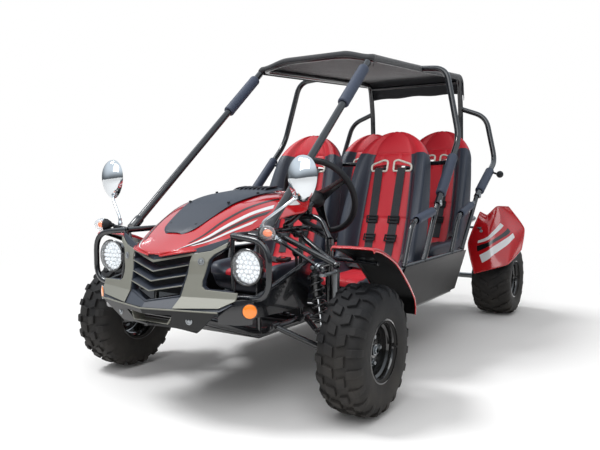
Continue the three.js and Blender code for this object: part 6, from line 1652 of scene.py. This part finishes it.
# %% Lamps and mirrors
lens_clear = finish("clear_lens", "f4f6f8", "ffffff", (0.02, 0.05), bump=0.0, dust=0.0)
lens_shader = next(n for n in lens_clear.node_tree.nodes if n.type == "BSDF_PRINCIPLED")
lens_shader.inputs["Transmission Weight"].default_value = 0.92
lens_shader.inputs["IOR"].default_value = 1.25
led_cell = finish("lamp_cell", "eef2f6", "ffffff", (0.1, 0.2), bump=0.0, dust=0.0, emission=("ffffff", 0.35))
bulb_orange = finish("orange_bulb", "ff6a08", "ff8418", (0.2, 0.3), coat=0.6, bump=0.0, dust=0.0,
                     emission=("ff6a08", 0.25))
for side, end in ((1, "left"), (-1, "right")):
    centre = (side * 0.334, -1.286, 0.558)
    face = (0, -1, 0)
    shell_line = [(-0.076, 0.02), (-0.072, 0.032), (-0.04, 0.052), (-0.008, 0.0635), (0.000, 0.065),
                  (0.0015, 0.0635), (0.0015, 0.059), (-0.01, 0.0575), (-0.016, 0.057), (-0.018, 0.0)]
    can = piece("can", Shape(lathe(shell_line, centre, face, 64)), rim_black)
    bowl = piece("bowl", Shape(lathe([(-0.0165, 0.0568), (-0.012, 0.056), (-0.0145, 0.03), (-0.0165, 0.0)], centre,
                                     face, 64)), chrome)
    cells = []
    for ring, count in ((0.0, 1), (0.0175, 6), (0.0345, 12), (0.049, 18)):
        spot = (centre[0] + ring, centre[1], centre[2])
        unit = Shape(lathe([(-0.014, 0.0066), (-0.01, 0.0062), (-0.008, 0.0036), (-0.0074, 0.0)], spot, face, 14))
        cells.append(repeated("cells", unit, led_cell, count, centre, "y"))
    stay = Shape(sweep([(side * 0.275, -1.2751, 0.558), (side * 0.292, -1.268, 0.558)], 0.007, sides=16))
    stay.add(drum((side * 0.275, -1.2751, 0.558), (0, 0, 1), 0.0125, 0.03))
    lamp = merged(f"headlamp_{end}", [can, bowl, *cells, piece("stay", stay, frame_black)])
    rides(lamp, "chassis", "lamp_clear", f"headlight_{end}")
    glass = piece(f"headlamp_glass_{end}", Shape(lathe([(0.0134, 0.0), (0.0125, 0.025), (0.0095, 0.045),
                                                        (0.004, 0.0575), (0.0000, 0.0588),
                    (-0.002, 0.057), (0.002, 0.056), (0.0076, 0.044), (0.0105, 0.025), (0.0114, 0.0)],
                                                       centre, face, 64)), lens_clear)
    rides(glass, "chassis", "lamp_clear")

    spot = Vector((side * 0.408, -1.265, 0.678))
    way = Vector((side, -0.28, 0)).normalized()
    bulb = Shape(lathe([(-0.012, 0.01), (0.004, 0.0135), (0.014, 0.01), (0.018, 0.0)], spot, way, 32))
    base = Shape(lathe([(-0.04, 0.009), (-0.036, 0.015), (-0.02, 0.0235), (-0.014, 0.0245), (-0.012, 0.0225),
                        (-0.012, 0.0)], spot, way, 40))
    base.add(sweep([(side * 0.366, -1.244, 0.672), (side * 0.368, -1.247, 0.678), tuple(spot - way * 0.036)],
                   0.0075, 0.006, sides=16))
    signal = merged(f"signal_{end}", [piece("bulb", bulb, bulb_orange), piece("base", base, grip_black)])
    rides(signal, "chassis", "lamp_clear", f"front_signal_{end}")
    dome = [(-0.012, 0.0245), (-0.004, 0.0258), (0.01, 0.0248), (0.022, 0.0195), (0.03, 0.011), (0.033, 0.0)]
    inside = [(x - 0.0016, max(r - 0.0016, 0)) for x, r in reversed(dome)]
    cover = piece(f"signal_lens_{end}", Shape(lathe(dome + inside, spot, way, 48)), lens_clear)
    rides(cover, "chassis", "lamp_clear")

    head = Vector((side * 0.474, -1.164, 0.862))
    rings = []
    for t in np.linspace(0, 1, 15):
        bulge = math.cos(t * math.pi / 2) ** 0.55 if t < 1 else 0.12
        rings.append([head + Vector((0.057 * bulge * math.cos(a) * (1 + 0.12 * math.sin(a)), 0.02 - 0.044 * t,
                                     0.082 * bulge * math.sin(a)))
                      for a in np.linspace(0, 2 * math.pi, 48, endpoint=False)])
    shell = piece("mirror_shell", Shape(skin(rings)), chrome, angle=60)
    glass_ring = [[head + Vector((0.051 * s * math.cos(a) * (1 + 0.12 * math.sin(a)), d, 0.076 * s * math.sin(a)))
                   for a in np.linspace(0, 2 * math.pi, 48, endpoint=False)]
                  for s, d in ((1.0, 0.0195), (1.0, 0.0215), (0.97, 0.0225))]
    glass = piece("mirror_glass", Shape(skin(glass_ring)), rim_black)
    neck = head + Vector((-side * 0.02, -0.002, -0.07))
    arm = Shape(sweep([(side * 0.353, -1.221, 0.682), (side * 0.358, -1.22, 0.712), (side * 0.43, -1.185, 0.77),
                       tuple(neck)], 0.0055, 0.03, sides=16))
    arm.add(lathe([(0, 0.0088), (0.012, 0.0088), (0.015, 0.0068), (0.028, 0.0064), (0.03, 0.0)],
                  (side * 0.353, -1.221, 0.6748), (0, 0, 1), 32))
    arm.add(drum(neck + Vector((0, 0.004, 0.004)), (0, 1, 0), 0.01, 0.012))
    mirror = merged(f"mirror_head_{end}", [shell, glass, piece("mirror_arm", arm, chrome, angle=50)])
    rides(mirror, f"mirror_{end}", "chrome", f"mirror_{end}")
print("lamps and mirrors ready")

# %% [markdown]
# The front suspension is two wishbones, an upright and a damper on each side. Every link rides on its own
# body, so that it moves with the joints.

# %% Front suspension
ARM_IN, BALL_X, BALL_LOW, BALL_HIGH = 0.29, 0.498, 0.2, 0.54
COIL_FROM, COIL_TO = 0.114, 0.852


def put(name, body, slot, nodes, *parts, angle=38, bevel=0.0):
    """Makes one ridden object from (shape, material) pairs."""
    objects = [piece(f"{name}_{k}", shape, material, angle=angle, bevel=bevel) for k,
               (shape, material) in enumerate(parts)]
    obj = merged(name, objects) if len(objects) > 1 else objects[0]
    obj.name = obj.data.name = name
    return rides(obj, body, slot, *nodes)


def wishbone(side, spread, pivot_z, ball_z):
    tubes_here, sleeves = Shape(), Shape()
    hub = Vector((side * BALL_X, FRONT_AXLE_Y, ball_z))
    for y in (-spread, spread):
        pivot = Vector((side * ARM_IN, FRONT_AXLE_Y + y, pivot_z))
        tubes_here.add(sweep([pivot, hub], 0.011))
        tubes_here.add(drum(pivot, (0, 1, 0), 0.015, 0.036))
        sleeves.add(drum(pivot, (0, 1, 0), 0.0115, 0.0375))
    return tubes_here, sleeves, hub


def coil(top, low, radius, wire, turns, steps=28):
    run = low - top
    side, other, way = frame_of(run)
    count = int(turns * steps)
    line = []
    for k in range(count + 1):
        t = k / count
        angle = 2 * math.pi * turns * t
        along = wire + (run.length - 2 * wire) * t
        line.append(top + way * along + (side * math.cos(angle) + other * math.sin(angle)) * radius)
    return sweep(line, wire, sides=12, up=way)


def damper(name, top, low, body, rod_body, across, names):
    top, low = Vector(top), Vector(low)
    run = low - top
    way = run.normalized()
    on = lambda share: top + run * share
    length = run.length
    can = Shape(lathe([(length * 0.06, 0.01), (length * 0.07, 0.0195), (length * 0.41, 0.02),
                       (length * 0.42, 0.0185), (length * 0.42, 0.0075)], top, way, 40, closed=False))
    can.add(sweep([top, on(0.08)], 0.0095))
    can.add(drum(top, across, 0.013, 0.024))
    can.add(lathe([(length * 0.098, 0.0195), (length * 0.098, 0.031), (length * 0.106, 0.032),
                   (length * 0.112, 0.031), (length * 0.112, 0.0195)], top, way, 40))
    for k in range(5):
        can.add(lathe([(length * (0.14 + 0.018 * k), 0.0199), (length * (0.144 + 0.018 * k), 0.0212),
                       (length * (0.148 + 0.018 * k), 0.0199)], top, way, 40))
    pin = Shape(drum(top, across, 0.0075, 0.034)).add(bolt(top + Vector(across) * 0.017, across, 0.008, 0.006))
    put(f"{name}_can", body, "tube_black", [names[0]], (can, spring_black), (pin, zinc))
    stem = Shape(sweep([on(0.3), on(0.985)], 0.0065)).add(drum(low, across, 0.013, 0.024))
    foot = Shape(lathe([(length * 0.855, 0.0065), (length * 0.855, 0.031), (length * 0.864, 0.032),
                        (length * 0.873, 0.031), (length * 0.9, 0.012), (length * 0.93, 0.0095),
                        (length * 0.93, 0.0065)], top, way, 40))
    put(f"{name}_stem", rod_body, "chrome", [names[1]], (stem, chrome), (foot, spring_black))
    spring = put(f"{name}_coil", body, "spring_black", [names[2]],
                 (Shape(coil(on(COIL_FROM), on(COIL_TO), 0.0265, 0.0046, 7.0)), spring_black), angle=60)
    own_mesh(spring)


for side, end in ((1, "left"), (-1, "right")):
    steel, bush, hub = wishbone(side, 0.11, 0.305, BALL_LOW)
    steel.add(lathe([(-0.008, 0.015), (-0.008, 0.02), (-0.0065, 0.0215), (0.0065, 0.0215), (0.008, 0.02),
                     (0.008, 0.015)], hub, (0, 0, 1), 40))
    for y in (-0.0165, 0.0165):
        steel.add(slab([(side * 0.43, 0.216), (side * 0.464, 0.212), (side * 0.457, 0.25), (side * 0.445, 0.2575),
                        (side * 0.433, 0.25)], "y", FRONT_AXLE_Y + y - 0.0022, FRONT_AXLE_Y + y + 0.0022))
    steel.add(slab([(side * 0.425, -0.975), (side * 0.47, -0.965), (side * 0.47, -0.923), (side * 0.425, -0.913)],
                   "z", 0.2135, 0.2175))
    lower_pin = Shape(drum((side * 0.445, FRONT_AXLE_Y, 0.247), (0, 1, 0), 0.0052, 0.044))
    lower_pin.add(bolt((side * 0.445, FRONT_AXLE_Y - 0.022, 0.247), (0, -1, 0), 0.008, 0.006))
    put(f"wishbone_low_{end}", f"lower_arm_{end}", "tube_black", [f"lower_arm_{end}"], (steel, frame_black),
        (bush, zinc), (lower_pin, zinc))
    steel, bush, hub = wishbone(side, 0.06, 0.645, BALL_HIGH)
    steel.add(lathe([(-0.013, 0.004), (-0.01, 0.011), (-0.005, 0.0145), (0.006, 0.0145), (0.011, 0.01),
                     (0.012, 0.0)], hub, (0, 0, 1), 36))
    put(f"wishbone_top_{end}", f"upper_arm_{end}", "tube_black", [f"upper_arm_{end}"], (steel, frame_black),
        (bush, zinc))
    hub = (side * BALL_X, FRONT_AXLE_Y, BALL_LOW)
    stud = Shape(lathe([(-0.013, 0.0), (-0.01, 0.0095), (0.0, 0.014), (0.008, 0.0118), (0.01, 0.0065),
                        (0.0135, 0.006), (0.0135, 0.0)], hub, (0, 0, 1), 36))
    put(f"ball_joint_{end}", f"ball_stud_{end}", "chrome", [f"ball_stud_{end}"], (stud, zinc))

    forged = Shape()
    x0 = side * BALL_X
    forged.add(skin([[(x0 + side * a, FRONT_AXLE_Y + b, z) for a, b in ((-w, -d), (w, -d), (w, d), (-w, d))]
                     for z, w, d in ((0.2145, 0.01, 0.01), (0.222, 0.013, 0.013), (0.236, 0.013, 0.014),
                                     (0.262, 0.013, 0.014), (0.29, 0.01, 0.01), (0.48, 0.0085, 0.01),
                                     (0.512, 0.0085, 0.012), (0.5245, 0.007, 0.01))]))
    arm_line = [(x0, FRONT_AXLE_Y - 0.006, 0.514), (x0, -1.00, 0.514), (x0, -1.056, 0.514)]
    forged.add(sweep(arm_line, 0.0105, sides=16, flat=0.56, up=(0, 0, 1)))
    forged.add(drum((x0, -1.044, 0.514), (0, 0, 1), 0.0125, 0.011))
    centre = (0, FRONT_AXLE_Y, WHEEL_Z_FRONT)
    forged.add(lathe([(side * x, r) for x, r in ((0.508, 0.0), (0.508, 0.03), (0.56, 0.03), (0.566, 0.024),
                                                 (0.603, 0.024), (0.603, 0.0))], centre, (1, 0, 0), 40))
    axle_end = Shape(lathe([(side * x, r) for x, r in ((0.6, 0.0), (0.6, 0.0138), (0.664, 0.0138), (0.669, 0.011),
                                                       (0.669, 0.0))], centre, (1, 0, 0), 32))
    axle_end.add(bolt((side * 0.6575, FRONT_AXLE_Y, WHEEL_Z_FRONT), (side, 0, 0), 0.015, 0.0115))
    put(f"knuckle_{end}", f"upright_{end}", "tube_black", [f"upright_{end}"], (forged, cast_alloy),
        (axle_end, zinc), bevel=0.0008)
    damper(f"damper_{end}", (side * 0.4, FRONT_AXLE_Y, 0.525), (side * 0.445, FRONT_AXLE_Y, 0.247),
           f"front_shock_{end}", f"front_rod_{end}", (0, 1, 0),
           [f"front_shock_body_{end}", f"front_shock_rod_{end}", f"front_spring_{end}"])
    inner, outer = Vector((side * ARM_IN, -1.044, 0.639)), Vector((side * BALL_X, -1.044, 0.534))
    way = (outer - inner).normalized()
    link_rod = Shape(sweep([inner + way * 0.0145, outer], 0.0068))
    link_rod.add(lathe([(-0.0125, 0.004), (-0.006, 0.0115), (0.0, 0.013), (0.006, 0.0115), (0.0125, 0.004)],
                       outer, (0, 0, 1), 32, closed=False))
    locks = Shape()
    for place, turn in ((inner + way * 0.015, 1), (outer - way * 0.016, -1)):
        locks.add(bolt(place, way * turn, 0.0098, 0.01))
        locks.add(bolt(place + way * turn * 0.012, way * turn, 0.0088, 0.007))
    put(f"track_rod_{end}", f"tie_rod_{end}", "tube_black", [f"tie_rod_{end}"], (link_rod, frame_black),
        (locks, zinc))
rack = Shape(drum((0, -1.044, 0.639), (1, 0, 0), 0.0088, 0.566))
for side in (1, -1):
    rack.add(lathe([(-0.0125, 0.004), (-0.009, 0.0092), (0.0, 0.0127), (0.009, 0.0092), (0.0125, 0.004)],
                   (side * ARM_IN, -1.044, 0.639), (0, 1, 0), 32, closed=False))
put("rack_bar", "steering_rack", "chrome", ["steering_rack"], (rack, chrome))
print("front suspension ready")

# %% Steering wheel, pedals and lever
across = column_way.cross(Vector((1, 0, 0))).normalized()
side_way = Vector((1, 0, 0))
rim_line = [COLUMN_TOP + (side_way * math.cos(a) + across * math.sin(a)) * 0.165
            for a in np.linspace(0, 2 * math.pi, 96, endpoint=False)]
grip = Shape(sweep(rim_line, 0.0135, sides=20, closed=True, flat=1.0))
spokes, hub_shape = Shape(), Shape()
for degrees in (90, 210, 330):
    a = math.radians(degrees + 180)
    out = side_way * math.cos(a) + across * (math.sin(a) if across.z > 0 else -math.sin(a))
    wide = out.cross(column_way).normalized()
    rings = []
    for t, half, drop in ((0.16, 0.026, -0.022), (0.34, 0.021, -0.02), (0.55, 0.0165, -0.012),
                          (0.78, 0.014, -0.004), (0.965, 0.0155, 0.0)):
        p = COLUMN_TOP + out * (0.165 * t) + column_way * drop
        edge = ((-half, -0.002), (-half + 0.002, -0.003), (half - 0.002, -0.003), (half, -0.002),
                (half, 0.002), (half - 0.002, 0.003), (-half + 0.002, 0.003), (-half, 0.002))
        rings.append([p + wide * w + column_way * h for w, h in edge])
    spokes.add(skin(rings))
hub_shape.add(lathe([(-0.07, 0.0112), (-0.058, 0.016), (-0.046, 0.034), (-0.03, 0.036), (-0.016, 0.035),
                     (-0.011, 0.03), (-0.01, 0.0)], COLUMN_TOP, column_way, 48))
shaft = Shape(sweep([COLUMN_FOOT, COLUMN_TOP - column_way * 0.03], 0.0108))
put("wheel_rim", "steering_wheel", "grip_black", ["steering_wheel"], (grip, grip_black), (spokes, spring_black),
    (hub_shape, grip_black), (shaft, frame_black), angle=50)
for name, x in (("throttle_pedal", 0.13), ("brake_pedal", 0.218)):
    lever = Shape(drum((x, -0.869, 0.305), (1, 0, 0), 0.0138, 0.044))
    lever.add(sweep([(x, -0.869, 0.305), (x, -0.889, 0.372), (x, -0.911, 0.423)], 0.0078, 0.03))
    pad = Shape(skin([[(x - 0.027, y, z), (x + 0.027, y, z), (x + 0.027, y + 0.0072, z), (x - 0.027, y + 0.0072, z)]
                      for y, z in ((-0.911, 0.397), (-0.9115, 0.405), (-0.9225, 0.432), (-0.9345, 0.45),
                                   (-0.936, 0.457))]))
    for k in range(6):
        z = 0.403 + 0.0095 * k
        y = -0.9035 - 0.0245 * max(z - 0.41, 0) / 0.047 * 1.02
        pad.add(sweep([(x - 0.024, y + 0.0005, z), (x + 0.024, y + 0.0005, z)], 0.0017, sides=10))
    put(f"{name}_arm", name, "tube_black", [name], (lever, frame_black), (pad, grip_black), bevel=0.0005)
lever = Shape(drum((0, -0.424, 0.262), (1, 0, 0), 0.0148, 0.028))
lever.add(sweep([(0, -0.424, 0.262), (0, -0.43, 0.34), (0, -0.443, 0.497)], 0.0075, 0.05))
knob = Shape(lathe([(-0.02, 0.0095), (-0.014, 0.015), (-0.002, 0.0195), (0.01, 0.018), (0.018, 0.009),
                    (0.02, 0.0)], (0, -0.444, 0.512), (0, -0.08, 1), 40))
put("gear_lever", "shift_lever", "grip_black", ["shift_lever"], (lever, frame_black), (knob, grip_black))
print("controls ready")

# %% [markdown]
# Behind the seats sit the engine, its exhaust, the swing arm and the live axle with its sprocket and disc.
# Cooling fins, sprocket teeth and cover screws are copies of one unit each.

# %% Rear arm, axle and engine
arm_tubes, arm_hubs = Shape(), Shape()
arm_tubes.both_sides(sweep([(0.235, 0.746, 0.33), (0.235, REAR_AXLE_Y, WHEEL_Z_REAR)], 0.016))
arm_tubes.add(sweep([(-0.235, 1.041, 0.2561), (0.235, 1.041, 0.2561)], 0.0128))
arm_tubes.both_sides(drum((0.235, 0.746, 0.33), (1, 0, 0), 0.024, 0.048))
arm_hubs.both_sides(lathe([(-0.026, 0.0185), (-0.026, 0.031), (-0.022, 0.034), (0.022, 0.034), (0.026, 0.031),
                           (0.026, 0.0185)], (0.235, REAR_AXLE_Y, WHEEL_Z_REAR), (1, 0, 0), 48))
for side in (1, -1):
    arm_tubes.add(slab([(1.034, 0.246), (1.066, 0.249), (1.09, 0.256), (1.09, 0.268), (1.07, 0.2755),
                        (1.04, 0.268)], "x", side * 0.0165 - 0.0024, side * 0.0165 + 0.0024))
shock_pin = Shape(drum((0, 1.076, 0.262), (1, 0, 0), 0.0052, 0.044))
shock_pin.add(bolt((0.022, 1.076, 0.262), (1, 0, 0), 0.008, 0.006))
put("swing_arm_tubes", "swing_arm", "tube_black", ["swing_arm"], (arm_tubes, frame_black), (arm_hubs, cast_alloy),
    (shock_pin, zinc))
damper("damper_rear", (0, 1.15, 0.56), (0, 1.076, 0.262), "rear_shock", "rear_rod",
       (1, 0, 0), ["rear_shock_body", "rear_shock_rod", "rear_spring"])
line = (0, REAR_AXLE_Y, WHEEL_Z_REAR)
shaft = Shape(lathe([(x, r) for x, r in ((-0.6213, 0.0), (-0.6213, 0.0135), (-0.617, 0.0168), (0.617, 0.0168),
                                         (0.6213, 0.0135), (0.6213, 0.0))], line, (1, 0, 0), 40))
for side in (1, -1):
    shaft.add(lathe([(side * x, r) for x, r in ((0.524, 0.017), (0.524, 0.026), (0.53, 0.0295), (0.553, 0.0295),
                                                (0.5545, 0.028), (0.5545, 0.017))], line, (1, 0, 0), 40))
    shaft.add(bolt((side * 0.6085, REAR_AXLE_Y, WHEEL_Z_REAR), (side, 0, 0), 0.0195, 0.012))
carrier = Shape()
for x0, x1 in ((0.108, 0.12), (-0.145, -0.13)):
    carrier.add(lathe([(x0, 0.0165), (x0, 0.023), (x0 + 0.003, 0.024), (x1 - 0.003, 0.024), (x1, 0.023),
                       (x1, 0.0165)], line, (1, 0, 0), 40))
chain_ring = Shape(lathe([(0.1205, 0.022), (0.1205, 0.0755), (0.1245, 0.0755), (0.1245, 0.022)], line, (1, 0, 0),
                         96))
brake_disc = Shape(lathe([(-0.1495, 0.022), (-0.1495, 0.0915), (-0.1455, 0.0915), (-0.1455, 0.022)], line,
                         (1, 0, 0), 96))
tooth = Shape(skin([[(x, REAR_AXLE_Y + a, WHEEL_Z_REAR + r) for x in (0.1212, 0.1238)]
                    + [(x, REAR_AXLE_Y - a, WHEEL_Z_REAR + r) for x in (0.1238, 0.1212)]
                    for a, r in ((0.0052, 0.074), (0.0042, 0.079), (0.002, 0.0835))]))
teeth = repeated("sprocket_teeth", tooth, zinc, 38, line)
# The disc's drilled holes are drawn as black plugs through it: painted shade in place of open holes.
drill = Shape(lathe([(-0.15, 0.0), (-0.15, 0.0036), (-0.145, 0.0036), (-0.145, 0.0)],
                    (0, REAR_AXLE_Y, WHEEL_Z_REAR + 0.078), (1, 0, 0), 16))
holes = repeated("disc_holes", drill, grip_black, 24, line)
disc_bolt = Shape(bolt((0.1245, REAR_AXLE_Y, WHEEL_Z_REAR + 0.04), (1, 0, 0), 0.006, 0.005))
disc_bolt.add(bolt((-0.1495, REAR_AXLE_Y, WHEEL_Z_REAR + 0.04), (-1, 0, 0), 0.006, 0.005))
ring_bolts = repeated("ring_bolts", disc_bolt, spring_black, 6, line)
axle_obj = merged("live_axle", [piece("shaft", shaft, zinc), piece("carrier", carrier, cast_alloy),
                                piece("chain_ring", chain_ring, zinc), piece("brake_disc", brake_disc, zinc),
                                teeth, holes, ring_bolts])
rides(axle_obj, "rear_wheels", "axle_steel", "rear_axle")

case = Shape(slab([(0.801, 0.3455), (1.041, 0.3455), (1.041, 0.459), (0.984, 0.535), (0.858, 0.535),
                   (0.801, 0.44)], "x", -0.12, 0.12))
for x in (-0.122, 0.12):
    case.add(slab([(0.812, 0.352), (1.03, 0.352), (1.03, 0.452), (0.978, 0.524), (0.866, 0.524), (0.812, 0.436)],
                  "x", x, x + 0.004))
case_obj = piece("crankcase", case, cast_alloy, bevel=0.007, bevel_steps=3)
cover = Shape(lathe([(0.118, 0.086), (0.14, 0.088), (0.148, 0.084), (0.17, 0.072), (0.174, 0.066), (0.175, 0.03),
                     (0.171, 0.026), (0.171, 0.0)], (0, 0.921, 0.4335), (1, 0, 0), 72))
screw = Shape(bolt((0.146, 0.921, 0.4335 + 0.079), (1, 0, 0), 0.005, 0.0042))
cover_screws = repeated("cover_screws", screw, zinc, 8, (0, 0.921, 0.4335))
head_way = Vector((0, -0.5, 1)).normalized()
head_foot = Vector((0, 0.896, 0.516))
barrel = Shape(lathe([(-0.01, 0.046), (0.07, 0.046), (0.074, 0.05), (0.09, 0.05), (0.095, 0.044), (0.095, 0.0)],
                     head_foot, head_way, 48))
fin = Shape(lathe([(0.006, 0.045), (0.006, 0.07), (0.0068, 0.0715), (0.0082, 0.0715), (0.009, 0.07),
                   (0.009, 0.045)], head_foot, head_way, 64))
fins = repeated("cylinder_fins", fin, cast_alloy, 7, step=head_way * 0.0092)
intake = Shape(sweep([(0.0, 0.905, 0.6), (0.03, 0.955, 0.592), (0.06, 0.985, 0.56)], 0.013, 0.03))
intake.add(drum((0.06, 0.988, 0.553), (0, 0.35, -1), 0.021, 0.034))
plug = Shape(bolt(head_foot + head_way * 0.094, head_way, 0.009, 0.008))
plug.add(lathe([(0.1, 0.0052), (0.118, 0.0045), (0.12, 0.0)], head_foot, head_way, 24))
pipe = Shape(sweep([(0, 0.862, 0.584), (-0.085, 0.858, 0.56), (-0.236, 0.905, 0.52), (-0.236, 0.93, 0.52)], 0.0138,
                   0.05))
muffler = Shape(lathe([(0.0, 0.0), (0.0, 0.024), (0.01, 0.034), (0.024, 0.0395), (0.206, 0.0395), (0.22, 0.034),
                       (0.23, 0.024), (0.23, 0.0)],
                      (-0.236, 0.856, 0.52), (0, 1, 0), 56))
guard = Shape(skin([[Vector((-0.236, y, 0.52)) + Vector((-math.sin(a), 0, math.cos(a))) * r
                     for a in np.linspace(-0.9, 1.7, 22)] +
                    [Vector((-0.236, y, 0.52)) + Vector((-math.sin(a), 0, math.cos(a))) * (r + 0.0016)
                     for a in np.linspace(1.7, -0.9, 22)]
                    for y, r in ((0.884, 0.0405), (0.89, 0.0425), (1.05, 0.0425), (1.056, 0.0405))]))
engine_obj = merged("engine_dressed", [case_obj, piece("side_cover", cover, cast_alloy, angle=30), cover_screws,
                                       piece("barrel", barrel, cast_alloy), fins,
                                       piece("intake", intake, grip_black), piece("plug", plug, zinc),
                                       piece("pipe", pipe, spring_black),
                                       piece("muffler", muffler, spring_black), piece("heat_guard", guard, chrome)])
rides(engine_obj, "chassis", "engine_alloy", "engine")
print("engine and axle ready")

# %% [markdown]
# Small lamps complete the body: amber reflectors on the bent side sheets and two rear lamps on stalks. The
# floor pan and the side panels are flat plates that already have the right shape, so they only get paint.

# %% Reflectors, rear lamps and painted plates
for side, end in ((1, "left"), (-1, "right")):
    spot = Vector((side * 0.362, -1.3035, 0.413))
    way = Vector((side * 0.53, -0.85, 0)).normalized()
    ring = Shape(lathe([(-0.004, 0.0), (-0.004, 0.0275), (0.004, 0.0285), (0.006, 0.0275), (0.006, 0.0255),
                        (0.003, 0.025), (0.003, 0.0)], spot, way, 48))
    # The dome glows faintly through the amber finish's emission: a painted glow, because a reflector is no lamp.
    dome = Shape(lathe([(0.003, 0.0248), (0.0062, 0.024), (0.0082, 0.0195), (0.0095, 0.01), (0.0098, 0.0)], spot,
                       way, 48))
    reflector = merged(f"reflector_{end}", [piece("ring", ring, rim_black), piece("dome", dome, amber)])
    rides(reflector, "chassis", "lamp_clear")
    lamp_at = Vector((side * 0.604, 0.94, 0.898))
    back = Vector((0, 1, 0))
    stalk = Shape(sweep([(side * 0.566, 0.89, 0.912), tuple(lamp_at + Vector((-side * 0.01, -0.026, 0.002))),
                         tuple(lamp_at + Vector((0, -0.014, 0)))], 0.006, 0.01, sides=16))
    stalk.add(lathe([(-0.026, 0.0), (-0.022, 0.012), (-0.01, 0.0195), (0.002, 0.0215), (0.002, 0.0)], lamp_at,
                    back, 36))
    glow = Shape(lathe([(0.002, 0.0205), (0.012, 0.0185), (0.021, 0.011), (0.024, 0.0)], lamp_at, back, 36))
    rear_lamp = merged(f"rear_lamp_{end}", [piece("housing", stalk, grip_black), piece("lens", glow, amber)])
    rides(rear_lamp, "chassis", "lamp_clear")
for name in ("floor_pan", "side_panel_left", "side_panel_right"):
    for slot in bpy.data.objects[name].material_slots:
        slot.material = panel_black
print("dressed")
